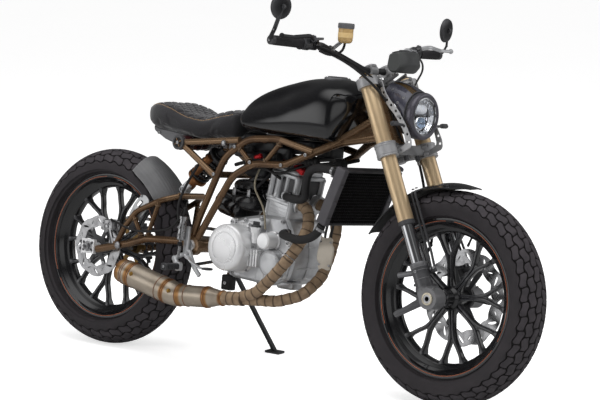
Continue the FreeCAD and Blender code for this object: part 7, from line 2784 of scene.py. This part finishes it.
    def mirrors(self) -> None:
        """Round heads with a rim and glass, flat slotted stalks and bar-end clamps."""
        shape = Shape()
        for way, centre in zip(SIDES, np.array(self.mirrors_at)):
            end, along = self.end(way)
            root = end + along * 14
            back = LEVEL[:3, :3] @ (-0.98, -way * 0.17, 0.05)
            head = aimed(centre, back, (0, 1, 0))
            shape.turned([(6, -9), (20, -8.6), (31, -7), (38, -4), (40.6, 1), (41, 5), (39.6, 7), (38.4, 6),
                          (37.8, 5), (36, 5)], head, 56)
            shape.turned([(37.6, 4.4), (37.4, 5.6), (20, 5.8)], head, 56, mark=1)
            elbow = np.array((root[0] + 34, way * 462, root[2] + 22))
            line = bent([root, root + (10, way * 16, 4), elbow, centre - back * 5], 20, 10)
            shape.grid(carried(line, soft_box(7.6, 13.4, 4, 20), (1, 0, 0)))
            shape.turned([(8, -5), (9, 0), (8, 5)], aimed(centre - back * 9, (0, 1, 0)), 20)
            shape.turned([(15, 6.4), (15.4, 8), (15.4, 20), (13, 22.6), (7, 23)], aimed(end, along), 36)
            shape.screw(end + along * 22.8, along, 5, 3, mark=2)
            start, out = line[len(line) // 2], unit((0.2, way, 0.1))
            for share in (0.3, 0.6):
                shape.screw(start + (line[-6] - start) * share + out * 3.6, out, 3, 2, mark=2)
        shape.build("bar_end_mirrors", FORK, [SATIN_BLACK, MIRROR_GLASS, BOLT], "steering", ["mirrors"],
                    34.0, "mirror_shell")

    def build(self) -> None:
        """Everything on the bar."""
        self.grips()
        self.reservoir()
        self.cables()
        self.mirrors()


def build_front() -> None:
    """Fork, lamp, guard, brake and bars."""
    Fork().build()
    Headlight().build()
    Fender().build()
    FrontBrake().build()
    Bars().build()


SPRING_BLACK = Finish("spring_black", srgb(18, 18, 20), 0.24, coat=0.5, second=srgb(32, 32, 34), patch=20)
COLLAR_BRONZE = Finish("collar_bronze", srgb(150, 102, 64), 0.34, 0.7, second=srgb(110, 72, 44), patch=20)
GUARD_GREY = Finish("guard_grey", srgb(98, 98, 99), 0.4, second=srgb(78, 78, 80), patch=70,
                    worn=srgb(120, 120, 121))
SMOKED_RED = Finish("smoked_red", srgb(44, 16, 18), 0.2, coat=0.7, second=srgb(30, 12, 14), patch=30)
WELD_BRONZE = Finish("weld_bronze", srgb(132, 112, 92), 0.34, 0.6, second=srgb(96, 78, 62), patch=6)
BARE_PLATE = Finish("bare_plate", srgb(176, 168, 156), 0.5, 0.4, second=srgb(158, 150, 138), patch=60)
CASE_BLACK = Finish("box_black", srgb(20, 20, 22), 0.42, coat=0.2, second=srgb(32, 32, 34), patch=40)


@dataclass
class Shock:
    """Single rear damper: chrome rod, black spring, bronze collars and two silver eyes.

    Attributes:
        low: middle of the lower eye.
        top: middle of the upper eye.
        spring: radius of the coil.
        wire: radius of its wire.
        turns: turns of the coil.
    """

    low: Point = (312.0, 0.0, 578.0)
    top: Point = (494.0, 0.0, 744.0)
    spring: float = 31.0
    wire: float = 5.5
    turns: float = 6.0

    def build(self) -> None:
        """The coil is a helix: a turning point that climbs, with closed ends."""
        run = np.subtract(self.top, self.low)
        length = float(np.linalg.norm(run))
        place = aimed(self.low, run, (0, 1, 0))
        shape = Shape()
        t = np.linspace(0, 1, 280)
        climb = t - 0.035 * np.sin(TAU * t)
        coil = lifted(polar(self.spring, TAU * self.turns * t), 76 + (length - 136) * climb)
        shape.tube(put(coil, place), self.wire, 12)
        shape.turned([(9, 10), (9, length - 90)], place, 24, mark=3)
        shape.turned([(15, 20), (17, 24), (17, 62), (36.5, 64), (36.5, 72), (34, 75), (22, 76)], place, 48,
                     mark=1)
        shape.turned([(20, length - 130), (20, length - 62)], place, 32, mark=4)
        collar = [(22, -64), (36.5, -62), (36.5, -54), (34, -52), (24, -50), (24, -44), (19, -42),
                  (17, -20)]
        shape.turned(collar, place @ moving(0, 0, length), 48, mark=4)
        for turn in ring(12):
            shape.block((4, 6, 8), place @ moving(*polar(34.6, turn), length - 62), 1, mark=4)
        for z in (0, length):
            eye = place @ moving(0, 0, z) @ aimed((0, 0, 0), (1, 0, 0), (0, 1, 0))
            shape.turned([(14, -15), (16, -13), (16, 13), (14, 15)], eye, 32, mark=2)
            shape.turned([(9, -20), (9, 20)], eye, 24, mark=3)
            for way in SIDES:
                shape.screw(put((0, 0, way * 20), eye), way * eye[:3, 2], 8, 6, 5)
        shape.block((34, 30, 30), place @ moving(0, 0, 8), 5, 6, mark=2)
        shape.turned([(13, 0), (15, 3), (15, 84), (13, 87)], place @ moving(-38, 0, length - 150), 32,
                     mark=1)
        shape.block((26, 18, 16), place @ moving(-22, 0, length - 76), 3, mark=4)
        finishes = [SPRING_BLACK, COLLAR_BRONZE, CAST_SILVER, CHROME, SATIN_BLACK, BOLT]
        shape.build("rear_damper", BIKE, finishes, "chassis", ["shock"], 34.0, "shock")


@dataclass
class RearGuard:
    """Rear hugger with fine ribs, its legs, and the silver brackets with long openings.

    Attributes:
        inner: radius of its inner face at the crown.
        half: half its width.
        drop: how far its edges lie below the crown.
        thick: thickness.
        start: angle up from straight ahead where it ends in front, in degrees.
        end: the same behind.
        ribs: half waves of the ribs from the middle to an edge, times pi.
    """

    inner: float = 362.0
    half: float = 84.0
    drop: float = 60.0
    thick: float = 3.5
    start: float = 34.0
    end: float = 66.0
    ribs: float = 30.0

    def build(self) -> None:
        """The rib height is a row of small waves round the tyre, fading out near the rim."""
        hub = STANCE.hub(False)
        angle = np.radians(np.linspace(self.start, self.end, 60))[:, None]
        across = np.linspace(-1, 1, 181)[None, :]
        rib = np.abs(np.sin(across * self.ribs)) * (1 - smooth(np.abs(across), 0.92, 0.98))
        end = 1 - 0.10 * (1 - smooth(np.degrees(angle), self.start, self.start + 7))
        end = end * (1 - 0.10 * smooth(np.degrees(angle), self.end - 7, self.end))
        radius = self.inner + self.thick - self.drop * np.abs(across) ** 2.4 + rib
        sheet = np.stack([radius * np.cos(angle), self.half * across * end, radius * np.sin(angle)], -1)
        shape = Shape()
        shape.shell(sheet, self.thick * inward(sheet))
        shape.build("rear_hugger_shell", hub, [GUARD_GREY], "chassis", ["rear_hugger"], 40.0, "guard")
        plates = Shape()
        for way in SIDES:
            leg = bent([(236, way * 82, 526), (240, way * 96, 522), (242, way * 108, 508)], 10)
            plates.tube(leg, 5, 12, 1)
            outline = loop([(212, 552), (176, 520), (150, 470), (158, 444), (190, 452), (226, 486),
                            (244, 530)], 16)
            holes = [loop([(200, 530), (182, 508), (196, 500), (216, 524)], 7),
                     loop([(176, 496), (166, 472), (182, 466), (196, 488)], 7)]
            plates.plate(outline, 4, facing(0, way * 103, 0), holes, edge=1)
            for x, z in ((160, 454), (232, 516), (206, 542)):
                plates.screw((x, way * 105, z), (0, way, 0), 4.6, 4, mark=2)
            plates.tube(np.array([(206, way * 103, 542), (214, way * 80, 536)]), 4, 12, 1)
            plates.tube(np.array([(160, way * 103, 454), (160, way * 120, 452)]), 4, 12, 1)
        plates.build("hugger_brackets", BIKE, [CAST_SILVER, SATIN_BLACK, BOLT], "chassis")


@dataclass
class RearBrake:
    """Rear caliper, its hanger, the master cylinder with its rod, and their hose."""

    def build(self) -> None:
        """Caliper of two halves with windows; the cylinder stands by the right footrest."""
        shape = Shape()
        for way, y in ((-1, -96), (1, -74)):
            place = facing(52, y, 424)
            outline = loop([(-30, -18), (-22, 20), (22, 22), (30, 2), (24, -22)], 8)
            windows = [loop([(-20, 4), (-4, 4), (-12, 16)], 2.5), loop([(4, 4), (20, 4), (12, 16)], 2.5)]
            shape.plate(outline, 14, place, edge=2)
            shape.plate(outline * 0.9, 5, place @ moving(0, 0, -way * 8), windows, edge=1)
        shape.turned([(12, 0), (12, 5), (9, 7)], facing(52, -102, 418), 28)
        for x, z in ((30, 412), (76, 414), (38, 440), (68, 440)):
            shape.screw((x, -104, z), (0, -1, 0), 4.4, 4, mark=1)
        shape.tube(np.array([(60, -98, 412), (104, -122, 362)]), 8, 16)
        shape.block((34, 10, 30), moving(96, -114, 356), 3)
        side = -178.3
        cylinder = aimed((466, side, 424), (6, 0, 76), (1, 0, 0))
        shape.turned([(10, -6), (14, -3), (14, 46), (12, 50), (12, 66), (15, 67), (15, 76)], cylinder, 32)
        shape.tube(np.array([(461, side, 356), (466, side, 424)]), 5, 14, mark=1)
        shape.turned([(8.6, 0), (8.6, 14)], aimed((464, side, 398), (2, 0, 30)), 16, mark=3)
        for z in (436, 462):
            shape.screw((468, -192, z), (0, -1, 0), 5, 4, mark=1)
        shape.build("rear_caliper_and_cylinder", BIKE, [STEEL, BOLT, SATIN_BLACK, SOFT_RUBBER], "chassis",
                    ["rear_brake"], 34.0, "caliper")
        hose = Shape()
        hose.tube(routed([(472, -178, 500), (474, -176, 530), (452, -158, 524), (400, -140, 452),
                          (300, -136, 428), (200, -134, 420), (120, -122, 440), (64, -98, 446)]), 4, 12)
        hose.tube(routed([(452, -178, 480), (430, -172, 520), (440, -150, 600), (470, -120, 680)]), 4.6, 12)
        hose.build("rear_brake_line", BIKE, [SOFT_RUBBER], "chassis")


@dataclass
class Footrests:
    """Silver hangers with serrated pegs, and the pedals' pivots.

    Attributes:
        hanger: corners of a hanger, as pairs of x and z.
        peg: x and z of the pegs' axis.
        start: how far out a peg starts.
        end: how far out it ends.
        teeth: rows of teeth along a peg.
    """

    hanger: tuple[Point, ...] = ((430, 352), (462, 368), (500, 372), (522, 330), (548, 306))
    peg: Point = (458.0, 328.0)
    start: float = 170.0
    end: float = 245.0
    teeth: int = 9

    def build(self) -> None:
        """Each hanger is a bent bar with a boss; each peg has toothed ribs and a block at its end."""
        shape = Shape()
        for way in SIDES:
            line = bent([(x, way * 160, z) for x, z in self.hanger], 20)
            shape.grid(carried(line, soft_box(15, 10, 4, 24), (0, 1, 0)))
            shape.turned([(16, 0), (17, 1), (17, 10), (15, 11.7)], facing(488, way * 152.3, 372, way), 36)
            shape.screw((488, way * 164, 372), (0, way, 0), 8, 5, mark=1)
            shape.turned([(10, 0), (10, 8), (8, 9)], facing(430, way * 156, 352, way), 24)
            shape.tube(np.array([(430, way * 160, 352), (self.peg[0], way * 172, self.peg[1])]), 10, 18)
            shape.block((26, 30, 18), facing(self.peg[0], way * 160, self.peg[1], way), 4, 4)
            place = facing(self.peg[0], way * self.start, self.peg[1], way)
            length = self.end - self.start
            shape.turned([(7, 0), (7, length - 4)], place, 20, mark=2)
            for z in 8 + 7 * np.arange(self.teeth):
                shape.block((25, 22, 4.4), place @ moving(0, 0, z), 1, 4, mark=2)
                for u in (-9, -3, 3, 9):
                    tooth = place @ moving(u, 0, z + 2.2) @ turning((1, 0, 0), 90 * way)
                    shape.turned([(2.4, 0), (0.6, 3.2)], tooth, 5, 2)
            shape.block((27, 25, 7), place @ moving(0, 0, length - 7), 3, 4, mark=2)
            shape.screw((self.peg[0], way * self.end, self.peg[1]), (0, way, 0), 5, 2, mark=1)
        shape.block((22, 12, 92), moving(478, -159, 374), 3, 5)
        lever = bent([(488, -171, 372), (520, -176, 350), (566, -180, 334), (600, -184, 336)], 40)
        shape.grid(carried(lever, soft_box(7, 15, 4, 20), (0, 1, 0)))
        shape.block((30, 34, 8), moving(604, -188, 332), 2, 4, mark=2)
        shift = bent([(488, 171, 372), (540, 176, 368), (598, 178, 360)], 40)
        shape.grid(carried(shift, soft_box(7, 13, 4, 20), (0, 1, 0)))
        shape.turned([(8, 0), (9, 2), (9, 28), (7, 30)], facing(600, 168, 360, 1), 20, mark=2)
        shape.build("footrests_and_pedals", BIKE, [CAST_SILVER, BOLT, SATIN_BLACK], "chassis",
                    ["footrests"], 34.0, "peg")


class ChassisTrim:
    """Caps, bolts, welds and small brackets along the frame, the swingarm and the tail."""

    def tail(self) -> None:
        """Ribbed grey tray under the seat, and the tail tube's caps with crossed webs."""
        shape = Shape()
        outline = loop([(206, 792), (236, 784), (300, 779), (356, 773), (350, 742), (330, 730), (262, 748),
                        (208, 774)], 8)
        shape.plate(outline, 150, facing(0, 0, 0), edge=5)
        middle = outline.mean(0)
        for y in np.linspace(-66, 66, 12):
            shape.plate(middle + (outline - middle) * 1.03, 3, facing(0, y, 0), edge=1)
        for way in SIDES:
            for x, z in ((236, 768), (320, 756)):
                shape.screw((x, way * 76, z), (0, way, 0), 6, 4, mark=1)
        shape.build("tail_tray_ribbed", BIKE, [GREY_PLASTIC, BOLT], "chassis", ["tail_tray"], 30.0, "tray")
        caps = Shape()
        for way in SIDES:
            place = facing(388, way * 143.6, 744, way)
            caps.turned([(24.6, -8), (24.6, 2.6), (23, 4), (18, 4), (17, 2.6), (17, -1)], place, 48,
                        closed=True)
            caps.turned([(17.2, -1), (17.2, 1)], place, 40, mark=3)
            for turn in np.degrees(0.5) + (0, 90):
                bar = place @ turning((0, 0, 1), turn)
                caps.block((33, 5, 3), bar @ moving(0, 0, 0.6), 1, 6, mark=1)
            caps.screw((388, way * 146.6, 744), (0, way, 0), 6, 3, mark=2)
        caps.turned([(24, -140), (24.4, -139), (24.4, 139), (24, 140)], facing(388, 0, 744), 48, mark=4)
        for y in np.linspace(-132, 132, 7):
            caps.hoop(24.6, 1.2, facing(388, y, 744), 40, 8)
        caps.build("tail_tube_caps", BIKE, [SATIN_BLACK, BRONZE, BOLT, MATTE_BLACK, SMOKED_RED], "chassis",
                   ["tail_lamps"], 34.0, "lamp")

    def hardware(self) -> None:
        """Frame bolts, the seat's ring bolt, swingarm pivot caps and axle adjusters."""
        shape = Shape()
        for way in SIDES:
            pivot = facing(482, way * 151.6, 402, way)
            shape.turned([(19.4, -6), (19.4, 1), (17, 2.6), (13, 2.8), (12, 1)], pivot, 6, 0)
            shape.turned([(9, 0), (9, 3.4), (7, 4.2)], pivot, 28)
            for x, z in ((712, 706), (846, 709), (558, 652), (640, 752), (946, 752)):
                shape.screw((x, way * 142, z), (0, way, 0), 6.4, 4.4)
            shape.turned([(10, 0), (10, 5), (7, 7), (4, 7)], facing(592, way * 141, 760, way), 28)
            axle = facing(0, way * 139, STANCE.tyre_radius, way)
            shape.turned([(18, -2), (18, 2), (16, 4)], axle, 36)
            shape.turned([(14, 3), (14, 12), (12, 13)], axle, 6)
            shape.turned([(6, 12), (6, 15)], axle, 20, mark=1)
            for z in (333, 357):
                shape.tube(np.array([(-30, way * 130, z), (-46, way * 130, z)]), 4, 14)
                shape.turned([(6.4, 0), (6.4, 5)], aimed((-38, way * 130, z), (-1, 0, 0)), 6)
            for x in (-22, 18):
                for z in (358, 332):
                    shape.turned([(5, -0.4), (5, 0.5)], facing(x, way * 137, z, way), 20, mark=1)
            shape.turned([(4.6, 0), (12.6, 0.1), (12.6, 3), (9, 4.5), (4.6, 4.6)],
                         facing(140, way * 136, 364, way), 28)
        shape.build("chassis_hardware", BIKE, [BOLT, SATIN_BLACK], "chassis")

    def welds(self) -> None:
        """Rippled weld beads round the ends of braces on the swingarm and frame."""
        braces = (
            ((188, 116, 470), (236, 118, 396), 9.6, True), ((286, 101, 530), (256, 119, 398), 9.6, True),
            ((112, 120, 356), (152, 120, 430), 11.6, False), ((648, 130, 752), (706, 130, 702), 10.6, True),
            ((832, 130, 786), (762, 130, 706), 10.6, True), ((388, 120, 744), (650, 130, 775), 12.4, False),
        )
        shape = Shape()
        angle = ring(72)
        for way in SIDES:
            for start, end, radius, both in braces:
                start, end = np.multiply(start, (1, way, 1)), np.multiply(end, (1, way, 1))
                reach = radius + 0.5 * np.abs(np.sin(12 * angle))
                bead = lifted(polar(reach, angle), 1.6 * np.cos(2 * angle))
                for root, tip in ((start, end), (end, start))[:1 + both]:
                    ahead = unit(tip - root)
                    place = aimed(root + ahead * 13.0, ahead)
                    shape.grid(carried(put(bead, place), disc(2.0, 8)), 0, True)
        shape.build("weld_beads", BIKE, [WELD_BRONZE], "chassis")

    def brackets(self) -> None:
        """Scalloped bare plate on its strip below the radiator, stand block and tank strap."""
        shape = Shape()
        turn = ring(60)
        wide = 31 + 2.6 * np.cos(6 * turn) + 2 * np.sin(10 * turn)
        tall = 54 + 3.0 * np.cos(6 * turn) + 2 * np.cos(9 * turn)
        round_by = np.abs(polar(1.0, turn)) ** 0.55 * np.sign(polar(1.0, turn))
        outline = np.stack([wide, tall], -1) * round_by
        shape.plate(outline, 4, facing(1022, -88, 436), edge=1)
        shape.plate(outline * 0.9, 2, facing(1022, -90.5, 436), edge=0.6)
        for u, v in ((-20, 38), (20, 38), (-20, -38), (20, -38)):
            shape.screw((1022 + u, -91, 436 + v), (0, -1, 0), 4, 3, mark=1)
        for x in (1010, 1034):
            shape.tube(bent([(x, -84, 464), (x, -82, 500), (x + 6, -80, 540)], 30), 4.4, 12, mark=2)
        shape.block((44, 34, 52), moving(592, -58, 262), 5, 5, mark=2)
        shape.screw((592, -76, 286), (0, -1, 0), 6, 4, mark=1)
        shape.build("bare_plate_and_brackets", BIKE, [BARE_PLATE, BOLT, MATTE_BLACK], "chassis")

    def under_tank(self) -> None:
        """Black boxes, coil, intake and wiring between the frame rails below the tank."""
        shape = Shape()
        for x, y, z, size, edge in ((694, 0, 742, (176, 160, 58), 12), (860, 0, 748, (120, 132, 46), 8),
                                    (958, -24, 744, (56, 84, 40), 6), (668, 0, 652, (104, 150, 104), 24),
                                    (604, -30, 716, (70, 80, 62), 10), (806, -78, 726, (54, 22, 38), 5)):
            shape.block(size, moving(x, y, z), edge, 5)
        shape.block((120, 140, 92), moving(556, -6, 508) @ turning((0, 1, 0), 12), 40, 8, mark=4)
        cases = ((752, -92, 722, 17, 50), (900, -84, 726, 13, 58), (640, -92, 742, 12, 40))
        for x, y, z, radius, length in cases:
            coil = aimed((x, y, z), (1, 0, 0.15))
            can = [(radius * 0.6, 0), (radius, 4), (radius, length - 4), (radius * 0.6, length)]
            shape.turned(can, coil, 28, 1)
            for share in (0.25, 0.5, 0.75):
                shape.hoop(radius + 0.6, 1.6, coil @ moving(0, 0, share * length), 28, 8, mark=1)
        lines = [((612, -96, 690), (660, -104, 704), (720, -100, 716), (790, -102, 700), (850, -98, 712),
                  (930, -88, 734), (1010, -66, 744)),
                 ((620, -86, 664), (680, -98, 690), (740, -96, 690), (790, -92, 672), (836, -84, 690),
                  (900, -80, 716), (990, -60, 730)),
                 ((600, 96, 690), (680, 104, 704), (760, 98, 712), (850, 96, 706), (940, 84, 730),
                  (1010, 60, 744)),
                 ((744, -60, 728), (748, -86, 700), (770, -90, 676), (800, -80, 660))]
        for line, radius in zip(lines, (6.5, 4.5, 6.5, 5)):
            shape.tube(routed(line), radius, 12, mark=2)
        for x, y, z in ((668, -103, 705), (754, -100, 709), (846, -98, 710), (926, -88, 733)):
            shape.hoop(7.4, 1.5, aimed((x, y, z), (1, 0, 0)), 20, 8, mark=3)
        shape.build("under_tank_electrics", BIKE, [CASE_BLACK, MATTE_BLACK, SOFT_RUBBER, BOLT, GLOSS_BLACK],
                    "chassis")

    def build(self) -> None:
        """All trim."""
        self.under_tank()
        self.tail()
        self.hardware()
        self.welds()
        self.brackets()


def build_rear() -> None:
    """Damper, guard, brake, footrests and trim."""
    Shock().build()
    RearGuard().build()
    RearBrake().build()
    Footrests().build()
    ChassisTrim().build()


CARRIED: dict[str, Finish] = {
    "frame_left": BRONZE, "frame_right": BRONZE, "frame_cross_members": BRONZE, "subframe": BRONZE,
    "swingarm": BRONZE, "rear_axles": SMOOTH_SILVER, "top_yoke": CAST_GREY, "lower_yoke": CAST_GREY,
    "handlebar": SATIN_BLACK, "fork_lowers": DARK_CAST, "front_axle": STEEL, "side_stand": SATIN_BLACK,
}


def dress_nodes() -> None:
    """Give each CAD node that is still shown its finish."""
    for name, finish in CARRIED.items():
        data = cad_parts[name].data
        data.materials.clear()
        data.materials.append(finish.material())


def main() -> None:
    """Build the studio and the machine."""
    logging.basicConfig(level=logging.INFO, format="%(message)s")
    Studio().build()
    build_wheels()
    build_body()
    build_drive()
    build_front()
    build_rear()
    dress_nodes()


if __name__ == "__main__":
    main()
